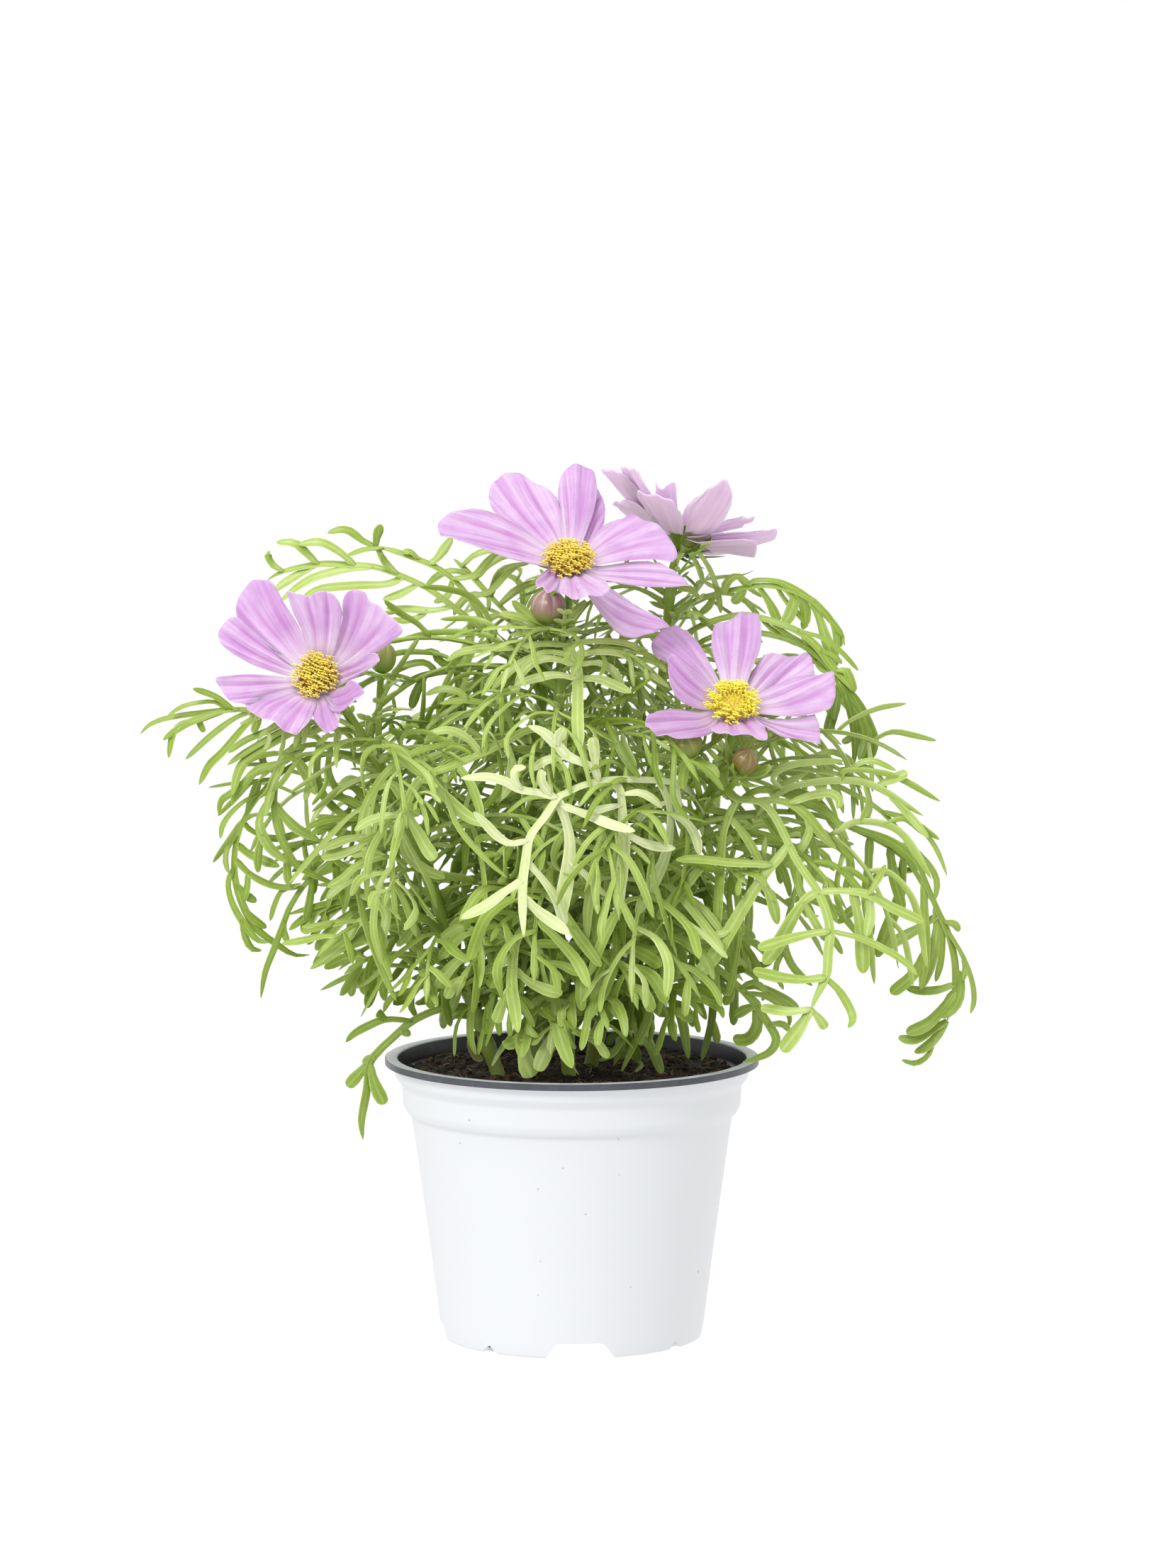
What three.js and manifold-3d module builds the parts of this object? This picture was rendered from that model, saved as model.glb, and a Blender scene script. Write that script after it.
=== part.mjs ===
// Garden cosmos growing in a small plastic nursery pot.
// Millimetres, +Z up, origin at the centre of the pot's flat underside.
// The pot is thermoformed plastic with a flange, a collar and notched foot.
// Five leafy stems stand in the soil and carry four flowers and four buds.

import * as THREE from 'three';
import { mergeVertices } from 'three/addons/utils/BufferGeometryUtils.js';
import Module from 'manifold-3d';

const wasm = await Module();
wasm.setup();
const { Manifold, Mesh } = wasm;

// Driving dimensions of the pot, in millimetres.
const RIM_RADIUS = 60;
const RIM_HEIGHT = 90.2;
const FLANGE_THICKNESS = 2;
const RIM_INNER_RADIUS = 56;
const FOOT_RADIUS = 42;
const FLOOR_THICKNESS = 1.4;
const POT_SIDES = 32;
const WIDE_NOTCH_COUNT = 4;
const WIDE_NOTCH_BOTTOM = 22;
const WIDE_NOTCH_TOP = 15;
const WIDE_NOTCH_HEIGHT = 5;
const WIDE_NOTCH_TURN = 3.7;
const NARROW_NOTCH_BOTTOM = 6.5;
const NARROW_NOTCH_TOP = 0.8;
const NARROW_NOTCH_HEIGHT = 2.5;
const NARROW_NOTCH_START = 39;
const NARROW_NOTCH_OFFSET = 48;
const CHANNEL_START = 15;
const CHANNEL_ROOF = 1.2;
const DRAIN_RADIUS = 3;
const DRAIN_TOP = 9;
const DRAIN_DISTANCE = 25;

// Driving dimensions of the soil and the fit between pieces.
const SOIL_LEVEL = 84.6;
const SOIL_RELIEF = 0.9;
const SOIL_MOUND = 0.9;
const SOIL_EDGE_TOP = 83.9;
const GAP = 0.3;

// Driving dimensions of the plant.
const LEAF_SEED = 41;
const STEM_SIDES = 6;
const STEM_BASE_RADIUS = 2.3;
const STEM_TOP_RADIUS = 1.25;
const STEM_FOOT = 76;
const LOBE_START = 0.32;
const LOBE_RANGE = 0.52;
const LOBE_SHARE = 0.34;
const LOBE_ANGLE = 62;
const LOBE_ANGLE_DROP = 22;
const LOBE_LONGEST = 27;
const LOBE_SHORTEST = 11;
const LOBE_DROOP = 0.8;
const LOBE_FOLLOW = 0.35;
const BLADE_THICKNESS = 0.9;
const BRACT_THICKNESS = 1.2;
const BLADE_CLEARANCE = 0.7;
const FLOWER_SEAT = 3.5;
const HUB_RADIUS = 5.6;
const HUB_HEIGHT = 1.3;
const BLOOM_CUP = { radius: 4.3, depth: 3.6, foot: 1.1 };
const BLOOM_BRACTS = { radius: 2.6, height: -1.7, reach: 11, width: 3.2, climb: -0.25, curl: -0.1 };
const BUD_CUP = { radius: 2.6, depth: 1.6, foot: 0.9 };
const BUD_BRACTS = { radius: 1.6, height: -0.7, width: 2.2, climb: 0.35, curl: 0.25 };
const STALK_RADIUS = 0.9;

const POT_WHITE = { color: 0xf2f3f4, roughness: 0.42, metalness: 0 };
const SOIL_BROWN = { color: 0x2b2019, roughness: 0.95, metalness: 0 };
const LEAF_GREEN = { color: 0x86a845, roughness: 0.55, metalness: 0 };
const PETAL_LILAC = { color: 0xd59be0, roughness: 0.6, metalness: 0 };
const DISC_GOLD = { color: 0xd9a824, roughness: 0.75, metalness: 0 };
const DISC_LEMON = { color: 0xecd93a, roughness: 0.75, metalness: 0 };
const BUD_ROSE = { color: 0x9a6f68, roughness: 0.55, metalness: 0 };
const BUD_GREEN = { color: 0x8f9a4e, roughness: 0.55, metalness: 0 };

const UP = new THREE.Vector3(0, 0, 1);
const vec = (x, y, z) => new THREE.Vector3(x, y, z);
const rad = THREE.MathUtils.degToRad;
const lerp = THREE.MathUtils.lerp;

// A small seeded generator, so that each build grows the same plant.
function seeded(seed) {
  let state = seed >>> 0;
  return () => {
    state = (state + 0x6d2b79f5) >>> 0;
    let t = state;
    t = Math.imul(t ^ (t >>> 15), t | 1);
    t ^= t + Math.imul(t ^ (t >>> 7), t | 61);
    return ((t ^ (t >>> 14)) >>> 0) / 4294967296;
  };
}
const spread = (random, amount) => (random() * 2 - 1) * amount;

// Closed solids from rings of points. Each ring runs anticlockwise seen from
// the far end. A single point as the last ring makes a tip. A slab's ring
// holds its lower edge and then its upper edge back again.
function skin(rings, slab = false) {
  const points = [];
  const faces = [];
  const starts = rings.map((ring) => {
    const start = points.length;
    points.push(...ring);
    return start;
  });
  const n = rings[0].length;
  const cap = (start, count, outward) => {
    const face = (p, q, r) => faces.push(outward ? [p, q, r] : [p, r, q]);
    if (slab) {
      for (let k = 0; k < count / 2 - 1; k += 1) {
        face(start + k, start + k + 1, start + count - 2 - k);
        face(start + k, start + count - 2 - k, start + count - 1 - k);
      }
    } else {
      for (let k = 1; k < count - 1; k += 1) {
        face(start, start + k, start + k + 1);
      }
    }
  };
  cap(starts[0], n, false);
  for (let r = 1; r < rings.length; r += 1) {
    const a = starts[r - 1];
    const b = starts[r];
    for (let k = 0; k < n; k += 1) {
      const next = (k + 1) % n;
      if (rings[r].length === 1) {
        faces.push([a + k, a + next, b]);
      } else if (slab && k >= n / 2) {
        faces.push([a + k, a + next, b + k]);
        faces.push([a + next, b + next, b + k]);
      } else {
        faces.push([a + k, a + next, b + next]);
        faces.push([a + k, b + next, b + k]);
      }
    }
  }
  cap(starts[rings.length - 1], rings[rings.length - 1].length, true);
  return solidOf(points, faces);
}

function solidOf(points, faces) {
  const vertProperties = new Float32Array(points.length * 3);
  points.forEach((p, i) => vertProperties.set([p.x, p.y, p.z], i * 3));
  const triVerts = new Uint32Array(faces.flat());
  return new Manifold(new Mesh({ numProp: 3, vertProperties, triVerts }));
}

// A three.js geometry, such as a lathe, as a solid.
function solidFrom(geometry) {
  const bare = geometry.index ? geometry.toNonIndexed() : geometry.clone();
  bare.deleteAttribute('normal');
  bare.deleteAttribute('uv');
  const merged = mergeVertices(bare, 1e-4);
  const p = merged.attributes.position.array;
  const points = [];
  for (let i = 0; i < p.length; i += 3) {
    points.push(vec(p[i], p[i + 1], p[i + 2]));
  }
  const faces = [];
  const index = merged.index.array;
  for (let i = 0; i < index.length; i += 3) {
    const [a, b, c] = [index[i], index[i + 1], index[i + 2]];
    if (a !== b && b !== c && c !== a) {
      faces.push([a, b, c]);
    }
  }
  return solidOf(points, faces);
}

// A lathe spun about Z from a list of [radius, height].
function spun(profile, sides, x = 0, y = 0) {
  const points = profile.map(([r, z]) => new THREE.Vector2(r, z));
  const lathe = new THREE.LatheGeometry(points, sides);
  lathe.rotateX(Math.PI / 2);
  lathe.translate(x, y, 0);
  return solidFrom(lathe);
}

const joined = (solids) => solids.reduce((all, one) => all.add(one));

// The outer surface of a solid: a small hollow that joining sealed is filled.
function outerShell(triangles, positions) {
  const parent = new Map();
  const find = (v) => {
    let root = v;
    while (parent.has(root) && parent.get(root) !== root) {
      root = parent.get(root);
    }
    return root;
  };
  for (const [a, b, c] of triangles) {
    const root = find(a);
    parent.set(root, root);
    parent.set(find(b), root);
    parent.set(find(c), root);
  }
  const shells = new Map();
  for (const triangle of triangles) {
    const root = find(triangle[0]);
    shells.set(root, [...(shells.get(root) ?? []), triangle]);
  }
  const at = (v) => vec(positions[3 * v], positions[3 * v + 1], positions[3 * v + 2]);
  const wedge = ([a, b, c]) => at(a).dot(at(b).cross(at(c)));
  const volume = (shell) => shell.reduce((sum, triangle) => sum + wedge(triangle), 0);
  return [...shells.values()].sort((p, q) => volume(q) - volume(p))[0];
}

function meshOf(name, solid, look) {
  const { vertProperties, triVerts } = solid.getMesh();
  const triangles = [];
  for (let i = 0; i < triVerts.length; i += 3) {
    triangles.push([triVerts[i], triVerts[i + 1], triVerts[i + 2]]);
  }
  const geometry = new THREE.BufferGeometry();
  geometry.setAttribute('position', new THREE.BufferAttribute(new Float32Array(vertProperties), 3));
  geometry.setIndex(outerShell(triangles, vertProperties).flat());
  geometry.computeVertexNormals();
  const mesh = new THREE.Mesh(geometry, new THREE.MeshStandardMaterial(look));
  mesh.name = name;
  return mesh;
}

// Frames across a path: the side and upper directions at a tangent.
function across(tangent, hint) {
  const side = new THREE.Vector3().crossVectors(tangent, hint).normalize();
  const upper = new THREE.Vector3().crossVectors(side, tangent).normalize();
  return [side, upper];
}

// A round tube of given sides along a curve, with a radius at each station.
function tube(curve, stations, radii, sides) {
  let side = vec(1, 0, 0);
  return skin(stations.map((t, i) => {
    const centre = curve.getPoint(t);
    const tangent = curve.getTangent(t);
    side = side.clone().addScaledVector(tangent, -side.dot(tangent)).normalize();
    const other = new THREE.Vector3().crossVectors(tangent, side);
    return Array.from({ length: sides }, (_, k) => {
      const angle = (2 * Math.PI * k) / sides;
      return centre.clone()
        .addScaledVector(side, radii[i] * Math.cos(angle))
        .addScaledVector(other, radii[i] * Math.sin(angle));
    });
  }));
}

// The pot: one thermoformed shell with drainage channels under its floor.

const POT_OUTSIDE = [
  [0, 0],
  [FOOT_RADIUS, 0],
  [45.6, 29],
  [50.6, 65.4],
  [51.5, 71.4],
  [53.1, 72.8],
  [54.2, 75],
  [54.5, 81.4],
  [56.7, 84.2],
  [57.1, RIM_HEIGHT - FLANGE_THICKNESS],
  [RIM_RADIUS, RIM_HEIGHT - FLANGE_THICKNESS],
  [RIM_RADIUS, RIM_HEIGHT],
  [0, RIM_HEIGHT],
];

const POT_INSIDE = [
  [0, FLOOR_THICKNESS],
  [41, FLOOR_THICKNESS],
  [50.2, 71],
  [53.2, 81.8],
  [55.4, 84.6],
  [RIM_INNER_RADIUS, RIM_HEIGHT],
];

// A trapezoid bar running outward at an angle, flat side down.
function notchBar(angle, bottom, top, height, from) {
  const out = vec(Math.cos(angle), Math.sin(angle), 0);
  const side = vec(-Math.sin(angle), Math.cos(angle), 0);
  const section = (distance) => [
    [-bottom / 2, -2],
    [bottom / 2, -2],
    [bottom / 2, 0],
    [top / 2, height],
    [-top / 2, height],
    [-bottom / 2, 0],
  ].map(([s, z]) => out.clone().multiplyScalar(distance).addScaledVector(side, s).setZ(z));
  return skin([section(from), section(RIM_RADIUS)]);
}

// One of the wide channels under the floor, grown on all sides by a margin.
function channelBar(angle, margin) {
  const bottom = WIDE_NOTCH_BOTTOM + 2 * margin;
  const top = WIDE_NOTCH_TOP + 2 * margin;
  return notchBar(angle, bottom, top, WIDE_NOTCH_HEIGHT + margin, CHANNEL_START - margin);
}

function narrowNotch(angle) {
  const bottom = NARROW_NOTCH_BOTTOM;
  const top = NARROW_NOTCH_TOP;
  return notchBar(angle, bottom, top, NARROW_NOTCH_HEIGHT, NARROW_NOTCH_START);
}

function drain(angle) {
  const profile = [[0, -1], [DRAIN_RADIUS, -1], [DRAIN_RADIUS, DRAIN_TOP], [0, DRAIN_TOP]];
  return spun(profile, 6, DRAIN_DISTANCE * Math.cos(angle), DRAIN_DISTANCE * Math.sin(angle));
}

// The pot, and the roofs of its channels that the soil rests clear of.
function potAndRoofs() {
  const outside = spun(POT_OUTSIDE, POT_SIDES);
  const above = RIM_HEIGHT + 5;
  const cavity = spun([...POT_INSIDE, [RIM_INNER_RADIUS, above], [0, above]], POT_SIDES);
  const grooves = [];
  const roofs = [];
  const soilRoofs = [];
  for (let k = 0; k < WIDE_NOTCH_COUNT; k += 1) {
    const angle = rad(WIDE_NOTCH_TURN - 90 + (360 * k) / WIDE_NOTCH_COUNT);
    const narrow = angle + rad(NARROW_NOTCH_OFFSET);
    grooves.push(channelBar(angle, 0), drain(angle), narrowNotch(narrow));
    roofs.push(channelBar(angle, CHANNEL_ROOF));
    soilRoofs.push(channelBar(angle, CHANNEL_ROOF + GAP));
  }
  const hollow = cavity.subtract(joined(roofs));
  const pot = outside.subtract(hollow).subtract(joined(grooves));
  return { pot, soilRoofs: joined(soilRoofs) };
}

// The soil: fills the pot to just under the rim with a crumbly top.
function soilHeight(x, y) {
  const crumbs = Math.sin(x * 0.31 + 1.3) * Math.cos(y * 0.27 - 0.6);
  const swell = Math.sin(x * 0.13 - y * 0.19);
  const mound = SOIL_MOUND * Math.exp(-(x * x + y * y) / 900);
  return SOIL_LEVEL + mound + (SOIL_RELIEF / 2) * (crumbs + swell);
}

function soilSolid(soilRoofs) {
  const ring = (radius, height) => Array.from({ length: POT_SIDES }, (_, k) => {
    const angle = Math.PI / 2 - (2 * Math.PI * k) / POT_SIDES;
    return vec(radius * Math.sin(angle), radius * Math.cos(angle), height);
  });
  const relief = (radius, highest) => ring(radius, 0)
    .map((p) => p.setZ(Math.min(highest, soilHeight(p.x, p.y))));
  const rings = [
    ring(41 - GAP, FLOOR_THICKNESS + GAP),
    ring(50.2 - GAP, 71),
    ring(53.2 - GAP, 81.9),
    relief(54.6 - GAP, SOIL_EDGE_TOP),
    relief(38, RIM_HEIGHT),
    relief(19, RIM_HEIGHT),
    [vec(0, 0, soilHeight(0, 0))],
  ];
  return skin(rings).subtract(soilRoofs);
}

// Stems: control points from below the soil to the base of what they carry.
const STEMS = {
  left: {
    points: [[-20, -10, STEM_FOOT], [-28, -9, 98], [-36, -10, 120], [-45, -14, 148],
      [-57, -20, 178], [-70, -25, 202], [-75.6, -27.6, 210.5], [-77.9, -33.1, 213.7]],
  },
  front: {
    points: [[0, -12, STEM_FOOT], [-2, -14, 100], [-4, -14, 130], [-5, -10, 165],
      [-4, -3, 205], [-2, 5, 230], [-0.7, 6.4, 238.5], [-0.8, 2.7, 244.2]],
  },
  right: {
    points: [[4, 8, STEM_FOOT], [9, 5, 98], [17, 1, 115], [27, -7, 140],
      [38, -16, 165], [46.5, -22, 183], [50.3, -25.5, 194.5], [50.4, -30.2, 201.1]],
  },
  middle: {
    points: [[-10, 6, STEM_FOOT], [-12, 10, 100], [-14, 12, 135], [-12.5, 12, 170],
      [-9.5, 8, 205], [-8, 3, 221], [-7.4, 0.6, 228.2]],
  },
  back: {
    points: [[14, 24, STEM_FOOT], [18, 28, 100], [22, 32, 140], [26, 34, 180],
      [30, 35, 215], [32, 36, 240], [34.2, 39.1, 249.2]],
  },
};

// Leaves: stem, height on it, compass angle, then how far out and up the
// bend and the tip lie from the stem, lobe pairs, lobe width and roll.
const LEAVES = [
  ['middle', 205, 172, 40, 48, 92, 44, 6, 2.8, 50],
  ['left', 196, 182, 38, 22, 66, 0, 5, 2.2, 45],
  ['left', 180, 187, 82, -18, 30, -60, 6, 2.4, 45],
  ['right', 180, 356, 106, -12, 56, -92, 6, 2.6, -45],
  ['right', 176, 322, 76, -18, 25, -80, 5, 2.8, -40],
  ['right', 169, 217, 71, 36, 69, -44, 5, 3.4, 0],
  ['left', 104, 208, 40, 14, 46, -36, 3, 3.0, 30],
  ['front', 221, 268, 56, 4, 52, -30, 4, 2.6, 0],
  ['back', 222, 345, 60, 26, 70, -34, 5, 2.4, -40],
  ['back', 234, 2, 36, 18, 56, -14, 5, 2.2, 40],
  ['front', 99, 262, 26, 20, 32, -2, 3, 4.0, 0],
  ['front', 189, 222, 80, 14, 66, -52, 5, 2.8, -20],
  ['right', 146, 258, 46, 16, 52, -30, 4, 3.0, 0],
  ['left', 104, 20, 22, 14, 34, 10, 3, 3.0, 0],
  ['left', 113, 178, 24, 14, 46, 2, 3, 2.8, 40],
  ['left', 129, 262, 36, 14, 44, -14, 4, 3.0, 10],
  ['left', 129, 105, 38, 20, 58, 4, 4, 2.8, 0],
  ['left', 147, 200, 52, 10, 52, -36, 4, 2.6, 35],
  ['left', 152, 70, 40, 24, 62, 2, 4, 2.6, 0],
  ['left', 166, 236, 50, 6, 54, -48, 5, 2.6, 40],
  ['left', 172, 140, 46, 18, 66, -20, 4, 2.4, 0],
  ['left', 192, 290, 34, 12, 40, -22, 4, 2.2, 0],
  ['front', 101, 32, 24, 16, 36, 8, 3, 3.4, 0],
  ['front', 118, 305, 32, 22, 42, -6, 4, 3.6, 0],
  ['front', 118, 225, 34, 24, 46, -2, 4, 3.4, 0],
  ['front', 141, 262, 44, 22, 50, -20, 4, 3.2, -10],
  ['front', 141, 30, 34, 20, 54, 4, 4, 2.8, 0],
  ['front', 166, 290, 52, 20, 58, -24, 5, 2.8, 10],
  ['front', 168, 118, 40, 24, 60, 6, 4, 2.4, 0],
  ['front', 192, 312, 44, 22, 66, -8, 4, 2.6, 0],
  ['front', 208, 180, 34, 20, 60, -8, 4, 2.2, 40],
  ['right', 101, 8, 22, 9, 36, 5, 3, 3.0, 30],
  ['right', 103, 302, 30, 20, 42, -2, 3, 3.4, 0],
  ['right', 131, 335, 56, 0, 38, -40, 4, 2.8, 40],
  ['right', 128, 150, 34, 22, 54, 0, 4, 2.8, 0],
  ['right', 148, 24, 36, 20, 54, 2, 4, 2.6, 0],
  ['right', 167, 345, 60, 14, 66, -44, 5, 2.6, -40],
  ['right', 186, 18, 34, 20, 62, 0, 5, 2.0, 40],
  ['middle', 100, 150, 26, 18, 40, 6, 3, 3.2, 0],
  ['middle', 123, 198, 40, 18, 64, -4, 4, 3.0, 35],
  ['middle', 127, 84, 40, 24, 62, -2, 4, 2.8, 0],
  ['middle', 153, 184, 52, 18, 66, -20, 4, 2.8, 40],
  ['middle', 156, 98, 42, 26, 66, -6, 4, 2.6, 0],
  ['middle', 181, 208, 54, 20, 70, -16, 5, 2.6, 30],
  ['middle', 183, 135, 46, 26, 76, 0, 4, 2.6, 0],
  ['middle', 211, 196, 36, 26, 74, 4, 5, 2.4, 40],
  ['middle', 211, 16, 34, 18, 58, -12, 4, 2.4, 40],
  ['middle', 217, 120, 34, 22, 60, 10, 4, 2.2, 0],
  ['back', 100, 80, 34, 20, 52, -6, 4, 3.2, 0],
  ['back', 104, 330, 34, 20, 50, 0, 4, 3.0, 0],
  ['back', 132, 130, 44, 26, 64, -16, 4, 3.0, 0],
  ['back', 136, 20, 46, 20, 66, -22, 4, 2.8, 30],
  ['back', 164, 75, 50, 20, 66, -34, 4, 2.8, 0],
  ['back', 168, 165, 40, 28, 62, 4, 4, 2.6, 0],
  ['back', 192, 40, 50, 22, 72, -26, 4, 2.6, 0],
  ['back', 196, 115, 50, 22, 70, -26, 4, 2.6, 0],
  ['back', 222, 80, 46, 22, 68, -14, 5, 2.4, 0],
  ['back', 236, 150, 36, 18, 58, -4, 4, 2.2, 0],
];

// Flowers: centre of the disc, compass angle and rise of the axis, disc
// radius, and each petal's turn, lift and length.
const FLOWERS = [
  {
    stem: 'left',
    centre: [-79.5, -40, 216.3],
    compass: -102.6,
    rise: 20.1,
    disc: 7.2,
    look: DISC_GOLD,
    petals: [[121, 8, 37], [83, 30, 28], [30, 25, 35], [359, 35, 29], [328, 45, 28],
      [289, 40, 32], [250, 38, 34], [201, 33, 36], [163, 14, 35]],
  },
  {
    stem: 'front',
    centre: [-1, -2, 250.1],
    compass: -92.2,
    rise: 51.3,
    disc: 8.4,
    look: DISC_GOLD,
    petals: [[172, 14, 43], [121, 13, 41], [87, 9, 41], [18, 8, 36], [343, 7, 41],
      [318, 1, 41], [279, 21, 38], [246, 28, 28]],
  },
  {
    stem: 'right',
    centre: [50.5, -35, 206.8],
    compass: -89.3,
    rise: 49.9,
    disc: 8.2,
    look: DISC_LEMON,
    petals: [[116, 3, 41], [149, 22, 29], [214, 18, 35], [84, 4, 41], [45, 0, 37],
      [2, 4, 33], [324, 4, 34], [272, 22, 31]],
  },
  {
    stem: 'back',
    centre: [36.2, 42, 255.8],
    compass: 55.4,
    rise: 62,
    disc: 7.6,
    look: DISC_GOLD,
    petals: [[20, 22, 36], [66, 18, 38], [110, 14, 38], [152, 20, 37], [198, 24, 36],
      [244, 28, 36], [290, 30, 37], [335, 26, 36]],
  },
];

// Buds: the bud's middle, its axis, its radius and half height, its colour
// and bracts, and the height on its stem where its stalk leaves it, if any.
const BUDS = [
  {
    name: 'bud_front',
    stem: 'middle',
    centre: [-7.4, -0.6, 234.6],
    axis: [0, -0.12, 1],
    size: [5, 4.9],
    look: BUD_ROSE,
    bracts: 8,
  },
  {
    name: 'bud_left',
    stem: 'left',
    from: 186,
    centre: [-59.7, -13, 219.3],
    axis: [0.1, 0.2, 1],
    size: [4.2, 5],
    look: BUD_GREEN,
    bracts: 5,
  },
  {
    name: 'bud_under_flower',
    stem: 'right',
    from: 172,
    centre: [35.8, -41, 194.4],
    axis: [-0.3, -0.5, 1],
    size: [5.2, 3.8],
    look: BUD_GREEN,
    bracts: 5,
  },
  {
    name: 'bud_right',
    stem: 'right',
    from: 176,
    centre: [54, -45, 189.5],
    axis: [0.4, -0.6, 1],
    size: [4.2, 4.2],
    look: BUD_ROSE,
    bracts: 5,
  },
];

const points3 = (list) => list.map(([x, y, z]) => vec(x, y, z));
const curveOf = (points) => new THREE.CatmullRomCurve3(points, false, 'catmullrom', 0.5);
const compassDirection = (degrees) => vec(Math.cos(rad(degrees)), Math.sin(rad(degrees)), 0);

for (const stem of Object.values(STEMS)) {
  stem.curve = curveOf(points3(stem.points));
}

// The share along a stem at which it reaches a height.
function shareAt(stem, height) {
  let low = 0;
  let high = 1;
  for (let k = 0; k < 30; k += 1) {
    const middle = (low + high) / 2;
    if (stem.curve.getPoint(middle).z < height) {
      low = middle;
    } else {
      high = middle;
    }
  }
  return low;
}

// A three-sided tapering blade: width at each station, thin below.
function blade(centres, tangents, normal, widths, thickness) {
  const rings = centres.map((centre, i) => {
    if (widths[i] === 0) {
      return [centre];
    }
    const [side, upper] = across(tangents[i], normal);
    return [
      centre.clone().addScaledVector(side, widths[i] / 2).addScaledVector(upper, thickness[i] * 0.4),
      centre.clone().addScaledVector(upper, -thickness[i] * 0.6),
      centre.clone().addScaledVector(side, -widths[i] / 2).addScaledVector(upper, thickness[i] * 0.4),
    ];
  });
  return skin(rings);
}

// One leaf: an arching midrib and pairs of narrow lobes that hang a little.
function leafPlan(row, random) {
  const [stemName, height, compass, bendOut, bendUp, tipOut, tipUp, pairs, width, roll] = row;
  const stem = STEMS[stemName];
  const base = stem.curve.getPoint(shareAt(stem, height));
  const outward = compassDirection(compass);
  const bend = base.clone().addScaledVector(outward, bendOut).addScaledVector(UP, bendUp);
  const tip = base.clone().addScaledVector(outward, tipOut).addScaledVector(UP, tipUp);
  const rib = new THREE.QuadraticBezierCurve3(base, bend, tip);
  const length = rib.getLength();
  const level = compassDirection(compass + 90);
  const lobes = [];
  for (let k = 0; k < pairs; k += 1) {
    const f = k / (pairs - 1);
    const share = LOBE_START + LOBE_RANGE * f + spread(random, 0.02);
    for (const hand of [-1, 1]) {
      const tangent = rib.getTangent(share);
      const upper = new THREE.Vector3().crossVectors(tangent, level).normalize();
      const turn = rad(roll + spread(random, 12));
      const side = level.clone().multiplyScalar(Math.cos(turn)).addScaledVector(upper, Math.sin(turn));
      const normal = new THREE.Vector3().crossVectors(tangent, side).normalize();
      if (normal.z < 0) {
        normal.negate();
      }
      const shape = LOBE_SHARE * length * Math.sin(Math.PI * (0.34 + 0.5 * f));
      const outer = Math.max(0, side.dot(outward) * hand);
      const drawn = lerp(0.85, 1.1, random()) * (1 - 0.45 * outer);
      const reach = THREE.MathUtils.clamp(shape, LOBE_SHORTEST, LOBE_LONGEST) * drawn;
      const angle = rad((LOBE_ANGLE - LOBE_ANGLE_DROP * f + spread(random, 7)) * (1 - 0.4 * outer));
      const start = tangent.clone().multiplyScalar(Math.cos(angle))
        .addScaledVector(side, Math.sin(angle) * hand).addScaledVector(normal, 0.1).normalize();
      const curl = vec(0, 0, -LOBE_DROOP).addScaledVector(tangent, LOBE_FOLLOW);
      lobes.push({ root: rib.getPoint(share), share, start, curl, normal, reach, width });
    }
  }
  return { rib, length, level, roll, lobes, width };
}

// A lobe's centre line: it sets out straight and curls as it goes.
function lobePoint(lobe, q) {
  return lobe.root.clone()
    .addScaledVector(lobe.start, lobe.reach * q)
    .addScaledVector(lobe.curl, lobe.reach * 0.5 * q * q);
}

function lobeTangent(lobe, q) {
  return lobe.start.clone().addScaledVector(lobe.curl, q).normalize();
}

// Where a lobe is widest, and where it has left the rib for sure.
const LOBE_BEND = 0.52;
const FREE_SHARE = 0.2;

// A lobe as a blade of its own, for the room it takes, with extra all round.
function lobeSolid(lobe, extra = 0) {
  const widths = [lobe.width * 0.6 + extra, lobe.width + extra, 0];
  const thickness = [BLADE_THICKNESS + extra, BLADE_THICKNESS + extra, 0];
  const stations = [extra > 0 ? FREE_SHARE : 0, LOBE_BEND, 1];
  const centres = stations.map((q) => lobePoint(lobe, q));
  const tangents = stations.map((q) => lobeTangent(lobe, q));
  centres[2].addScaledVector(tangents[2], extra);
  return blade(centres, tangents, lobe.normal, widths, thickness);
}

const RIB_WIDTH = 2.1;
const RIB_THICKNESS = 1.5;
const RIB_END = 0.93;
const PORT_HALF_WIDTH = 0.9;

function ribNormal(plan, share) {
  const normal = new THREE.Vector3().crossVectors(plan.rib.getTangent(share), plan.level).normalize();
  return normal.z < 0 ? normal.negate() : normal;
}

function ribRing(plan, share, extra = 0) {
  const tangent = plan.rib.getTangent(share);
  const centre = plan.rib.getPoint(share);
  const roll = rad(plan.roll) * Math.min(1, share * 3);
  const turned = ribNormal(plan, Math.min(share, 0.6)).applyAxisAngle(tangent, roll);
  const [side, upper] = across(tangent, turned);
  const slim = 1 - 0.45 * share;
  const width = (share < RIB_END ? RIB_WIDTH * slim : plan.width) + extra;
  const thickness = RIB_THICKNESS * slim + extra;
  return [
    centre.clone().addScaledVector(side, width / 2).addScaledVector(upper, thickness * 0.4),
    centre.clone().addScaledVector(upper, -thickness * 0.6),
    centre.clone().addScaledVector(side, -width / 2).addScaledVector(upper, thickness * 0.4),
  ];
}

function ribSolid(plan, extra) {
  const rings = [0.09, 0.28, 0.5, 0.72, RIB_END].map((share) => ribRing(plan, share, extra));
  return skin([...rings, [plan.rib.getPoint(1)]]);
}

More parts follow.
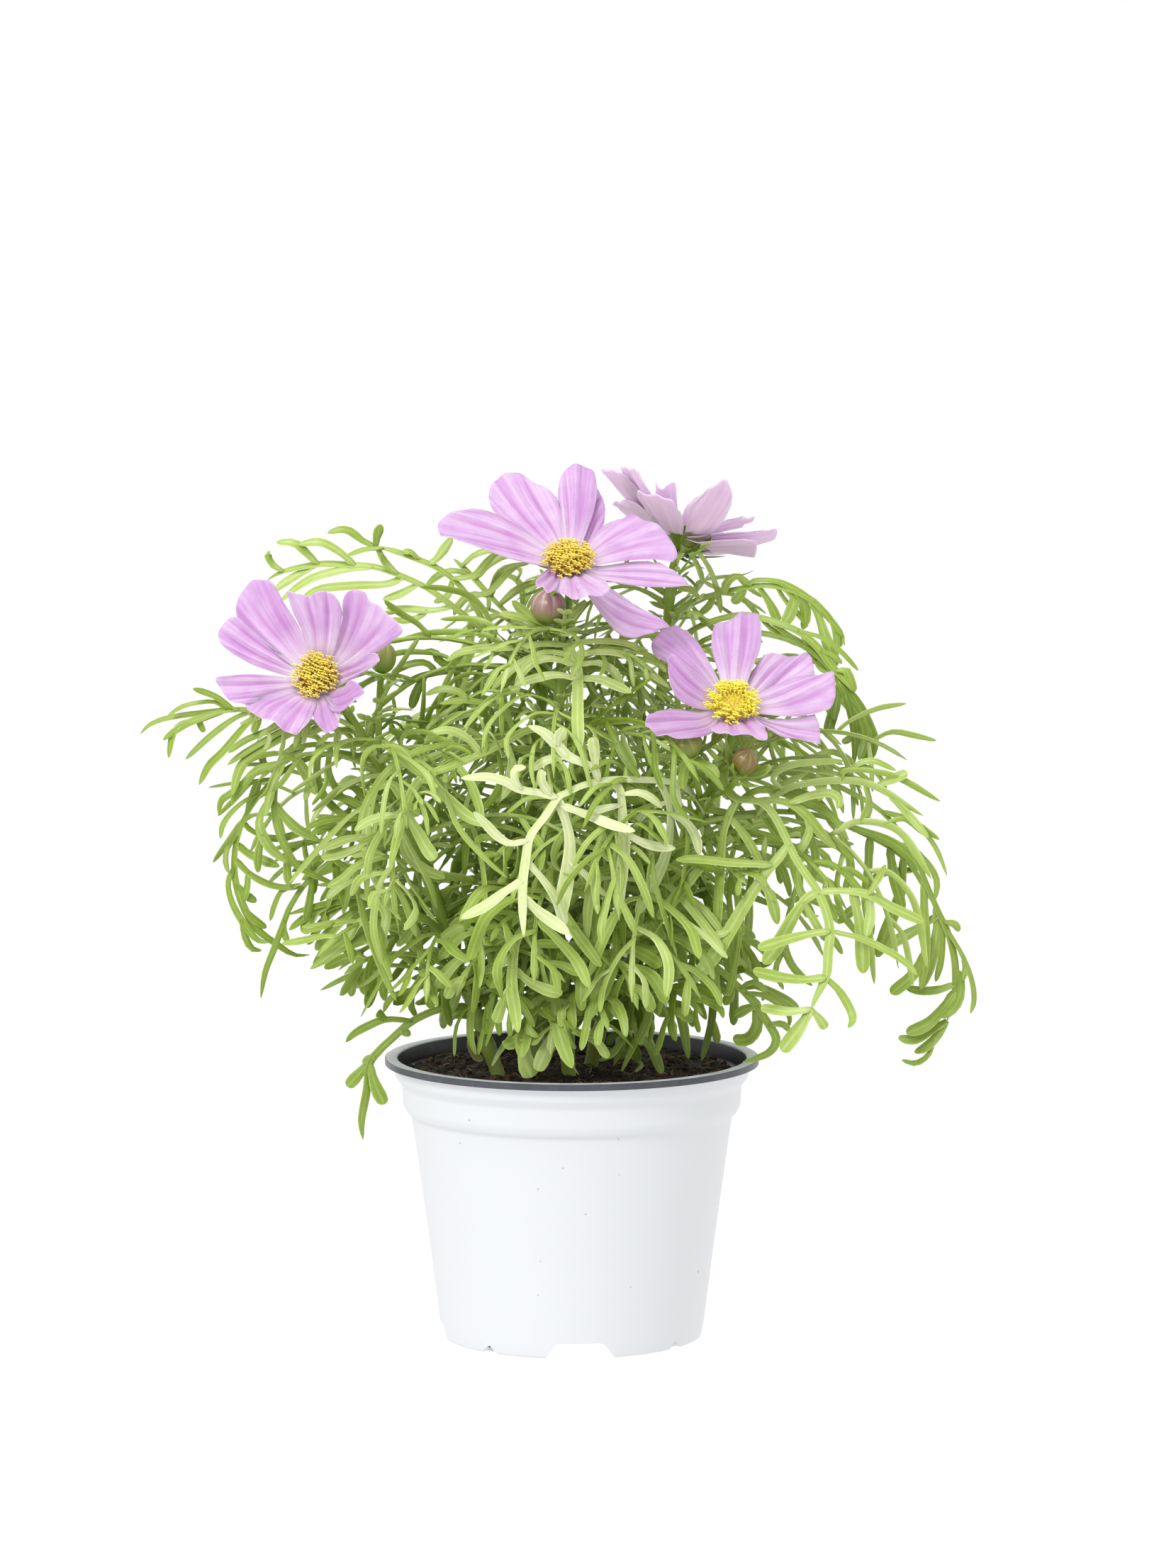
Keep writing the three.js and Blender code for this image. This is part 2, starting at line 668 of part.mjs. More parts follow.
// A whole leaf as one surface: the rib, with each lobe growing out of the
// triangle that it leaves open in the rib's flank.
function leafSolid(plan, lobes) {
  const shares = [0];
  const half = PORT_HALF_WIDTH / plan.length;
  const places = [...new Set(plan.lobes.map((lobe) => lobe.share))];
  places.forEach((share) => shares.push(share - half, share + half));
  shares.push(RIB_END);
  const points = [];
  const faces = [];
  shares.forEach((share) => points.push(...ribRing(plan, share)));
  const apex = points.push(plan.rib.getPoint(1)) - 1;
  faces.push([0, 2, 1]);
  for (let i = 1; i < shares.length; i += 1) {
    const [l0, k0, r0, l1, k1, r1] = [0, 1, 2, 3, 4, 5].map((k) => 3 * (i - 1) + k);
    const grown = { left: null, right: null };
    if (i % 2 === 0 && i / 2 <= places.length) {
      const here = lobes.filter((lobe) => lobe.share === places[i / 2 - 1]);
      const flank = points[l0].clone().sub(points[r0]);
      here.forEach((lobe) => {
        grown[lobe.start.dot(flank) > 0 ? 'left' : 'right'] = lobe;
      });
    }
    faces.push([r0, l0, l1], [r0, l1, r1], [k0, k1, l1], [k0, r1, k1]);
    grow(points, faces, [l0, k0, l1], grown.left);
    grow(points, faces, [k0, r0, r1], grown.right);
  }
  const last = 3 * (shares.length - 1);
  faces.push([last, last + 1, apex], [last + 1, last + 2, apex], [last + 2, last, apex]);
  return solidOf(points, faces);
}

// Grows a lobe out of one triangle, or closes the triangle where none grows.
function grow(points, faces, port, lobe) {
  if (!lobe) {
    faces.push(port);
    return;
  }
  const tangent = lobeTangent(lobe, LOBE_BEND);
  const centre = lobePoint(lobe, LOBE_BEND);
  const [side, upper] = across(tangent, lobe.normal);
  const corners = port.map((v) => points[v]);
  const middle = corners[0].clone().add(corners[1]).add(corners[2]).divideScalar(3);
  const choices = [
    centre.clone().addScaledVector(side, lobe.width / 2).addScaledVector(upper, BLADE_THICKNESS * 0.4),
    centre.clone().addScaledVector(upper, -BLADE_THICKNESS * 0.6),
    centre.clone().addScaledVector(side, -lobe.width / 2).addScaledVector(upper, BLADE_THICKNESS * 0.4),
  ];
  // The turn of the three far corners that twists the lobe least.
  const away = (corner) => corner.clone().sub(middle);
  const twist = (shift) => corners.reduce((sum, corner, i) => {
    const far = choices[(i + shift) % 3].clone().sub(centre);
    return sum + far.dot(away(corner));
  }, 0);
  const shift = [0, 1, 2].sort((p, q) => twist(q) - twist(p))[0];
  const start = points.length;
  [0, 1, 2].forEach((i) => points.push(choices[(i + shift) % 3]));
  const tip = points.push(lobePoint(lobe, 1)) - 1;
  for (let k = 0; k < 3; k += 1) {
    const next = (k + 1) % 3;
    faces.push([port[k], port[next], start + next], [port[k], start + next, start + k]);
    faces.push([start + k, start + next, tip]);
  }
}

// Flowers, in a frame whose Z is the flower's axis, at the receptacle's top.
function flowerFrame(flower) {
  const [cx, cy, cz] = flower.centre;
  const rise = rad(flower.rise);
  const axis = compassDirection(flower.compass)
    .multiplyScalar(Math.cos(rise)).addScaledVector(UP, Math.sin(rise));
  const right = new THREE.Vector3().crossVectors(UP, axis).normalize();
  const upper = new THREE.Vector3().crossVectors(axis, right);
  const origin = vec(cx, cy, cz).addScaledVector(axis, -FLOWER_SEAT);
  return { origin, axis, right, upper };
}

const place = (frame, x, y, z) => frame.origin.clone()
  .addScaledVector(frame.right, x).addScaledVector(frame.upper, y).addScaledVector(frame.axis, z);

// A ring about a frame's axis.
function ringAt(frame, radius, height, sides, wobble = () => 1) {
  return Array.from({ length: sides }, (_, k) => {
    const angle = (2 * Math.PI * k) / sides;
    const r = radius * wobble(k);
    return place(frame, r * Math.cos(angle), r * Math.sin(angle), height);
  });
}

const PETAL_ROOT = 0.05;
const PETAL_ROWS = [0.7, 0.36];
const PETAL_COLUMNS = [-1, -0.34, 0.34, 1];
const PETAL_TEETH = [0.93, 1, 0.95, 0.9];
const PETAL_THICKNESS = 0.8;
const PETAL_LAYER = 1.3;
const PETAL_PLEAT = 0.5;
const PETAL_LENGTH = 38;
const STEEP_LIFT = 24;

// Half width of a petal at a share of its length.
function petalHalfWidth(s) {
  return 1.2 + 7.9 * Math.pow(Math.sin(Math.PI * 0.66 * s), 2);
}

// One petal: a pleated blade that leaves the hub level and then climbs.
function petalSolid(frame, [turn, lift, length], flat, layer) {
  const a = rad(turn);
  const climb = rad(lift);
  const path = new THREE.QuadraticBezierCurve(
    new THREE.Vector2(0, 0),
    new THREE.Vector2(flat, 0.6),
    new THREE.Vector2(length * Math.cos(climb), length * Math.sin(climb)),
  );
  const at = (s, c, under) => {
    const { x: r, y: z } = path.getPoint(s);
    const narrowed = s > 0.88 ? 0.82 : 1;
    const w = c * petalHalfWidth(s) * narrowed * (length / PETAL_LENGTH);
    const pleat = PETAL_PLEAT * Math.cos(c * Math.PI * 3) * Math.min(1, s * 3);
    const drop = layer * THREE.MathUtils.smoothstep(r, HUB_RADIUS - 1, HUB_RADIUS + 6);
    const height = HUB_HEIGHT - 0.4 + z + pleat + 0.8 * c * c - drop - under;
    return place(frame, r * Math.cos(a) - w * Math.sin(a), r * Math.sin(a) + w * Math.cos(a), height);
  };
  const row = (shares) => [
    ...PETAL_COLUMNS.map((c, i) => at(shares[i], c, 0)),
    ...PETAL_COLUMNS.map((c, i) => at(shares[i], c, PETAL_THICKNESS)).reverse(),
  ];
  const rows = PETAL_ROWS.map((s) => row(PETAL_COLUMNS.map(() => s)));
  return skin([row(PETAL_TEETH), ...rows, [at(PETAL_ROOT, 0, PETAL_THICKNESS / 2)]], true);
}

function petalsSolid(frame, flower) {
  const hub = skin([
    ringAt(frame, HUB_RADIUS - 0.8, GAP, 8),
    ringAt(frame, HUB_RADIUS, HUB_HEIGHT, 8),
  ]);
  const petals = flower.petals.map((petal, i) => {
    const flat = flower.disc + (petal[1] > STEEP_LIFT ? 9 : 6);
    return petalSolid(frame, petal, flat, (i % 2) * PETAL_LAYER);
  });
  return joined([hub, ...petals]);
}

// The disc of a flower: a dome of stubby florets raised in its surface.
const DISC_SIDES = 14;
const DISC_RINGS = [[0.45, 0], [0.56, 1.4], [1, 3.3], [0.94, 4.2], [0.7, 5.2], [0.34, 5.8]];

function discSolid(frame, flower) {
  const rings = DISC_RINGS.map(([share, height], row) => {
    const floret = (k) => (row > 1 && (k + row) % 2 ? 0.86 : 1);
    return ringAt(frame, flower.disc * share, HUB_HEIGHT + GAP + height, DISC_SIDES, floret);
  });
  return skin([...rings, [place(frame, 0, 0, HUB_HEIGHT + GAP + 6.1)]]);
}

// Green cup and spreading bracts under a bloom or a bud.
function cupSolid(frame, { radius, depth, foot }) {
  return skin([
    ringAt(frame, foot, -depth - 0.8, 8),
    ringAt(frame, radius * 0.72, -depth * 0.72, 8),
    ringAt(frame, radius, -depth * 0.25, 8),
    ringAt(frame, radius * 0.94, 0, 8),
  ]);
}

function bractSolids(frame, count, { radius, height, reach, width, climb, curl }) {
  return Array.from({ length: count }, (_, k) => {
    const a = (2 * Math.PI * (k + 0.3)) / count;
    const outward = place(frame, Math.cos(a), Math.sin(a), 0).sub(frame.origin);
    const bract = {
      root: frame.origin.clone().addScaledVector(outward, radius).addScaledVector(frame.axis, height),
      start: outward.clone().addScaledVector(frame.axis, climb).normalize(),
      curl: frame.axis.clone().multiplyScalar(curl),
      reach,
    };
    const centres = [0, 1].map((q) => lobePoint(bract, q));
    const tangents = [0, 1].map((q) => lobeTangent(bract, q));
    return blade(centres, tangents, frame.axis, [width, 0], [BRACT_THICKNESS, 0]);
  });
}

// Buds: an egg with shallow ridges, standing on a green cup.
const BUD_RINGS = [[0.45, -1], [0.84, -0.62], [1, -0.05], [0.8, 0.55]];

function budFrame(bud) {
  const axis = vec(...bud.axis).normalize();
  const right = new THREE.Vector3().crossVectors(vec(0, 1, 0), axis).normalize();
  const upper = new THREE.Vector3().crossVectors(axis, right);
  return { origin: vec(...bud.centre), axis, right, upper };
}

function budSolid(frame, bud) {
  const [radius, half] = bud.size;
  const ridge = (k) => (k % 2 ? 0.93 : 1);
  const ring = ([share, height]) => ringAt(frame, radius * share, half * height, 10, ridge);
  return skin([...BUD_RINGS.map(ring), [place(frame, 0, 0, half)]]);
}

// Stem solids, and the holes in the soil that they stand in.
const STEM_STATIONS = [0, 0.06, 0.1, 0.16, 0.28, 0.42, 0.56, 0.7, 0.82, 0.91, 1];

function stemRadius(t) {
  const swelling = 0.4 * Math.exp(-Math.pow((t - 0.09) / 0.05, 2));
  return lerp(STEM_BASE_RADIUS, STEM_TOP_RADIUS, Math.pow(t, 0.8)) + swelling;
}

function stemSolid(stem, extra = 0) {
  const last = extra > 0 ? 4 : STEM_STATIONS.length;
  const stations = STEM_STATIONS.slice(0, last);
  return tube(stem.curve, stations, stations.map((t) => stemRadius(t) + extra), STEM_SIDES);
}

const { pot, soilRoofs } = potAndRoofs();
const holes = Object.values(STEMS).map((stem) => stemSolid(stem, GAP + 0.1));
const soil = soilSolid(soilRoofs).subtract(joined(holes));

// Everything that leaves have to bend clear of, with its owner's name.
const standing = [];
const stand = (owner, kind, solid) => standing.push({ owner, kind, solid, box: solid.boundingBox() });

function clashes(solid, ignored = () => false) {
  const { min, max } = solid.boundingBox();
  const near = ({ box }) => [0, 1, 2].every((i) => min[i] < box.max[i] && max[i] > box.min[i]);
  return standing.some((other) => !ignored(other) && near(other)
    && !solid.intersect(other.solid).isEmpty());
}

const group = new THREE.Group();
const stemParts = Object.fromEntries(Object.keys(STEMS).map((name) => [name, []]));

stand('pot', 'pot', pot);
stand('soil', 'soil', soil);
group.add(meshOf('pot', pot, POT_WHITE));
group.add(meshOf('soil', soil, SOIL_BROWN));

FLOWERS.forEach((flower, i) => {
  const name = `flower_${i + 1}`;
  const frame = flowerFrame(flower);
  const petals = petalsSolid(frame, flower);
  const disc = discSolid(frame, flower);
  stand(name, 'petals', petals);
  stand(name, 'disc', disc);
  group.add(meshOf(`${name}_petals`, petals, PETAL_LILAC));
  group.add(meshOf(`${name}_disc`, disc, flower.look));
  stemParts[flower.stem].push(cupSolid(frame, BLOOM_CUP));
  stemParts[flower.stem].push(...bractSolids(frame, 8, BLOOM_BRACTS));
});

BUDS.forEach((bud) => {
  const frame = budFrame(bud);
  const solid = budSolid(frame, bud);
  stand(bud.name, 'bud', solid);
  group.add(meshOf(bud.name, solid, bud.look));
  const [radius, half] = bud.size;
  const cupFrame = { ...frame, origin: place(frame, 0, 0, -half - GAP) };
  const parts = stemParts[bud.stem];
  parts.push(cupSolid(cupFrame, BUD_CUP));
  parts.push(...bractSolids(cupFrame, bud.bracts, { ...BUD_BRACTS, reach: radius * 1.7 }));
  if (bud.from) {
    const stem = STEMS[bud.stem];
    const start = stem.curve.getPoint(shareAt(stem, bud.from));
    const stalk = new THREE.QuadraticBezierCurve3(
      start,
      place(cupFrame, 0, 0, -8),
      place(cupFrame, 0, 0, -BUD_CUP.depth),
    );
    parts.push(tube(stalk, [0, 0.35, 0.7, 1], Array(4).fill(STALK_RADIUS), 5));
  }
});

for (const [name, stem] of Object.entries(STEMS)) {
  stemParts[name].unshift(stemSolid(stem));
  stemParts[name].forEach((solid) => stand(name, 'stem', solid));
}

// Leaves settle one by one, each rib bent and each lobe turned a little
// where it would touch another plant, a flower, a bud or the pot.
const RIB_SHIFTS = [[0, 0], [4, 0], [-4, 0], [0, 4], [8, 0], [-8, 0], [4, 5], [-4, 5]];
const LOBE_TURNS = [[0, 1], [14, 1], [-14, 1], [26, 0.9], [-26, 0.9], [0, 0.7], [0, 0.45]];
const LOBE_LEAST = 7;

// The lobes of a leaf that find room, each turned or shortened if need be.
function settledLobes(plan) {
  const own = [];
  const placed = [];
  for (const lobe of plan.lobes) {
    const roomy = (one) => {
      const solid = lobeSolid(one, BLADE_CLEARANCE);
      return !clashes(solid) && own.every((other) => solid.intersect(other).isEmpty());
    };
    const fits = LOBE_TURNS.map(([turn, share]) => ({
      ...lobe,
      start: lobe.start.clone().applyAxisAngle(lobe.normal, rad(turn)),
      reach: lobe.reach * share,
    })).find((one) => one.reach > LOBE_LEAST && roomy(one));
    if (fits) {
      placed.push(fits);
      own.push(lobeSolid(fits));
    }
  }
  return placed;
}

// A leaf at its first shift that has room, or nothing.
function settledLeaf(row, index) {
  const [owner] = row;
  for (const [turn, rise] of RIB_SHIFTS) {
    const shifted = [...row];
    shifted[2] += turn;
    shifted[4] += rise;
    shifted[6] += rise;
    const plan = leafPlan(shifted, seeded(LEAF_SEED + index));
    const ownStem = (other) => other.owner === owner && other.kind === 'stem';
    if (!clashes(ribSolid(plan, BLADE_CLEARANCE), ownStem)) {
      const leaf = leafSolid(plan, settledLobes(plan));
      if (!clashes(leaf, (other) => other.owner === owner)) {
        return leaf;
      }
    }
  }
  return null;
}

LEAVES.forEach((row, index) => {
  const leaf = settledLeaf(row, index);
  if (!leaf) {
    throw new Error(`leaf ${index} of the ${row[0]} stem finds no room`);
  }
  stand(row[0], 'leaf', leaf);
  stemParts[row[0]].push(leaf);
});

for (const [name, parts] of Object.entries(stemParts)) {
  group.add(meshOf(`leafy_stem_${name}`, joined(parts), LEAF_GREEN));
}

export default group;
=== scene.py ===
import math
import random

import bmesh
import bpy
import numpy as np
from mathutils import Matrix, Vector, noise
from mathutils.bvhtree import BVHTree


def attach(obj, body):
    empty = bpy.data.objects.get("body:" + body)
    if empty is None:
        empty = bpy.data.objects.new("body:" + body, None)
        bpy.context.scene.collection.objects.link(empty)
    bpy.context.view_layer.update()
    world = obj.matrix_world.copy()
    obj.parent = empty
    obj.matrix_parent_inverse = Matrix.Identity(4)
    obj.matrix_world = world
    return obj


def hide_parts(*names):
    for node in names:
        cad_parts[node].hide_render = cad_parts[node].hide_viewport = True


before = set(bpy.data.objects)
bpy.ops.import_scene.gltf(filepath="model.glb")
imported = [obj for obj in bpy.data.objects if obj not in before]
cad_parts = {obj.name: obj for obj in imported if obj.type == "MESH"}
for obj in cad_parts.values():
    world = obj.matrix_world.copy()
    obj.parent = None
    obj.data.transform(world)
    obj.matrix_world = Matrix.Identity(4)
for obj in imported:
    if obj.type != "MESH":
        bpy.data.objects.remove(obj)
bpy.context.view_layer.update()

# Lengths below are millimetres in the frame of the solids, unless said
# otherwise. A mesh is scaled to metres when it is made.
MM = 0.001
UP = np.array([0.0, 0.0, 1.0])

# The picture's camera: where it stands (mm), how far it looks down (radians),
# and its focal length and middle in pixels of the 1659 by 2212 frame.
VIEW_FROM = (5.16, -1718.7, 351.7)
VIEW_PITCH = 0.10078
VIEW_FOCUS = 7627.9
VIEW_MIDDLE = (829.5, 1106.0)

# The pot, as in the solids.
RIM_RADIUS = 60.0
RIM_INNER_RADIUS = 56.0
RIM_HEIGHT = 90.2
FLANGE_UNDERSIDE = 88.2
FLOOR_THICKNESS = 1.4
CHANNEL_START = 15.0
CHANNEL_ROOF = 1.2
ROOF_RADIUS = 41.8

# Notches: the width at the bottom and at the top, and the height.
WIDE_NOTCH = (22.0, 15.0, 5.0)
NARROW_NOTCH = (6.5, 0.8, 2.5)
NOTCH_TURN = 3.7
NARROW_OFFSET = 48.0
DRAIN_RADIUS = 3.0
DRAIN_DISTANCE = 25.0

# The wall from the middle of its underside outward, and back in: radius and height.
POT_OUTSIDE = [
    (0, 0), (42, 0), (45.6, 29), (50.6, 65.4), (51.5, 71.4), (53.1, 72.8), (54.2, 75),
    (54.5, 81.4), (56.7, 84.2), (57.1, FLANGE_UNDERSIDE), (RIM_RADIUS, FLANGE_UNDERSIDE),
    (RIM_RADIUS, RIM_HEIGHT),
]
POT_INSIDE = [
    (RIM_INNER_RADIUS, RIM_HEIGHT), (55.4, 84.6), (53.2, 81.8), (50.2, 71), (41, FLOOR_THICKNESS),
    (0, FLOOR_THICKNESS),
]

# The soil's mound and its ripples, as in the solids.
SOIL_LEVEL = 84.6
SOIL_MOUND = 0.9
SOIL_MOUND_RADIUS = 30.0
SOIL_RIPPLE = 0.45

# The plant, as in the solids.
LEAF_SEED = 41
LOBE_START = 0.32
LOBE_RANGE = 0.52
LOBE_SHARE = 0.34
LOBE_LONGEST = 27.0
LOBE_SHORTEST = 11.0
LOBE_ANGLE = 62.0
LOBE_ANGLE_DROP = 22.0
LOBE_DROOP = 0.8
LOBE_FOLLOW = 0.35
FLOWER_SEAT = 3.5
HUB_RADIUS = 5.6
HUB_HEIGHT = 1.3
GAP = 0.3

STEMS = {
    "left": [(-20, -10, 76), (-28, -9, 98), (-36, -10, 120), (-45, -14, 148), (-57, -20, 178),
             (-70, -25, 202), (-75.6, -27.6, 210.5), (-77.9, -33.1, 213.7)],
    "front": [(0, -12, 76), (-2, -14, 100), (-4, -14, 130), (-5, -10, 165), (-4, -3, 205),
              (-2, 5, 230), (-0.7, 6.4, 238.5), (-0.8, 2.7, 244.2)],
    "right": [(4, 8, 76), (9, 5, 98), (17, 1, 115), (27, -7, 140), (38, -16, 165),
              (46.5, -22, 183), (50.3, -25.5, 194.5), (50.4, -30.2, 201.1)],
    "middle": [(-10, 6, 76), (-12, 10, 100), (-14, 12, 135), (-12.5, 12, 170), (-9.5, 8, 205),
               (-8, 3, 221), (-7.4, 0.6, 228.2)],
    "back": [(14, 24, 76), (18, 28, 100), (22, 32, 140), (26, 34, 180), (30, 35, 215),
             (32, 36, 240), (34.2, 39.1, 249.2)],
}

# Leaves: stem, height on it, compass angle, then how far out and up the bend
# and the tip lie from the stem, lobe pairs, lobe width and roll.
LEAVES = [
    ("middle", 205, 172, 40, 48, 92, 44, 6, 2.8, 50),
    ("left", 196, 182, 38, 22, 66, 0, 5, 2.2, 45),
    ("left", 180, 187, 82, -18, 30, -60, 6, 2.4, 45),
    ("right", 180, 356, 106, -12, 56, -92, 6, 2.6, -45),
    ("right", 176, 322, 76, -18, 25, -80, 5, 2.8, -40),
    ("right", 169, 217, 71, 36, 69, -44, 5, 3.4, 0),
    ("left", 104, 208, 40, 14, 46, -36, 3, 3.0, 30),
    ("front", 221, 268, 56, 4, 52, -30, 4, 2.6, 0),
    ("back", 222, 345, 60, 26, 70, -34, 5, 2.4, -40),
    ("back", 234, 2, 36, 18, 56, -14, 5, 2.2, 40),
    ("front", 99, 262, 26, 20, 32, -2, 3, 4.0, 0),
    ("front", 189, 222, 80, 14, 66, -52, 5, 2.8, -20),
    ("right", 146, 258, 46, 16, 52, -30, 4, 3.0, 0),
    ("left", 104, 20, 22, 14, 34, 10, 3, 3.0, 0),
    ("left", 113, 178, 24, 14, 46, 2, 3, 2.8, 40),
    ("left", 129, 262, 36, 14, 44, -14, 4, 3.0, 10),
    ("left", 129, 105, 38, 20, 58, 4, 4, 2.8, 0),
    ("left", 147, 200, 52, 10, 52, -36, 4, 2.6, 35),
    ("left", 152, 70, 40, 24, 62, 2, 4, 2.6, 0),
    ("left", 166, 236, 50, 6, 54, -48, 5, 2.6, 40),
    ("left", 172, 140, 46, 18, 66, -20, 4, 2.4, 0),
    ("left", 192, 290, 34, 12, 40, -22, 4, 2.2, 0),
    ("front", 101, 32, 24, 16, 36, 8, 3, 3.4, 0),
    ("front", 118, 305, 32, 22, 42, -6, 4, 3.6, 0),
    ("front", 118, 225, 34, 24, 46, -2, 4, 3.4, 0),
    ("front", 141, 262, 44, 22, 50, -20, 4, 3.2, -10),
    ("front", 141, 30, 34, 20, 54, 4, 4, 2.8, 0),
    ("front", 166, 290, 52, 20, 58, -24, 5, 2.8, 10),
    ("front", 168, 118, 40, 24, 60, 6, 4, 2.4, 0),
    ("front", 192, 312, 44, 22, 66, -8, 4, 2.6, 0),
    ("front", 208, 180, 34, 20, 60, -8, 4, 2.2, 40),
    ("right", 101, 8, 22, 9, 36, 5, 3, 3.0, 30),
    ("right", 103, 302, 30, 20, 42, -2, 3, 3.4, 0),
    ("right", 131, 335, 56, 0, 38, -40, 4, 2.8, 40),
    ("right", 128, 150, 34, 22, 54, 0, 4, 2.8, 0),
    ("right", 148, 24, 36, 20, 54, 2, 4, 2.6, 0),
    ("right", 167, 345, 60, 14, 66, -44, 5, 2.6, -40),
    ("right", 186, 18, 34, 20, 62, 0, 5, 2.0, 40),
    ("middle", 100, 150, 26, 18, 40, 6, 3, 3.2, 0),
    ("middle", 123, 198, 40, 18, 64, -4, 4, 3.0, 35),
    ("middle", 127, 84, 40, 24, 62, -2, 4, 2.8, 0),
    ("middle", 153, 184, 52, 18, 66, -20, 4, 2.8, 40),
    ("middle", 156, 98, 42, 26, 66, -6, 4, 2.6, 0),
    ("middle", 181, 208, 54, 20, 70, -16, 5, 2.6, 30),
    ("middle", 183, 135, 46, 26, 76, 0, 4, 2.6, 0),
    ("middle", 211, 196, 36, 26, 74, 4, 5, 2.4, 40),
    ("middle", 211, 16, 34, 18, 58, -12, 4, 2.4, 40),
    ("middle", 217, 120, 34, 22, 60, 10, 4, 2.2, 0),
    ("back", 100, 80, 34, 20, 52, -6, 4, 3.2, 0),
    ("back", 104, 330, 34, 20, 50, 0, 4, 3.0, 0),
    ("back", 132, 130, 44, 26, 64, -16, 4, 3.0, 0),
    ("back", 136, 20, 46, 20, 66, -22, 4, 2.8, 30),
    ("back", 164, 75, 50, 20, 66, -34, 4, 2.8, 0),
    ("back", 168, 165, 40, 28, 62, 4, 4, 2.6, 0),
    ("back", 192, 40, 50, 22, 72, -26, 4, 2.6, 0),
    ("back", 196, 115, 50, 22, 70, -26, 4, 2.6, 0),
    ("back", 222, 80, 46, 22, 68, -14, 5, 2.4, 0),
    ("back", 236, 150, 36, 18, 58, -4, 4, 2.2, 0),
]

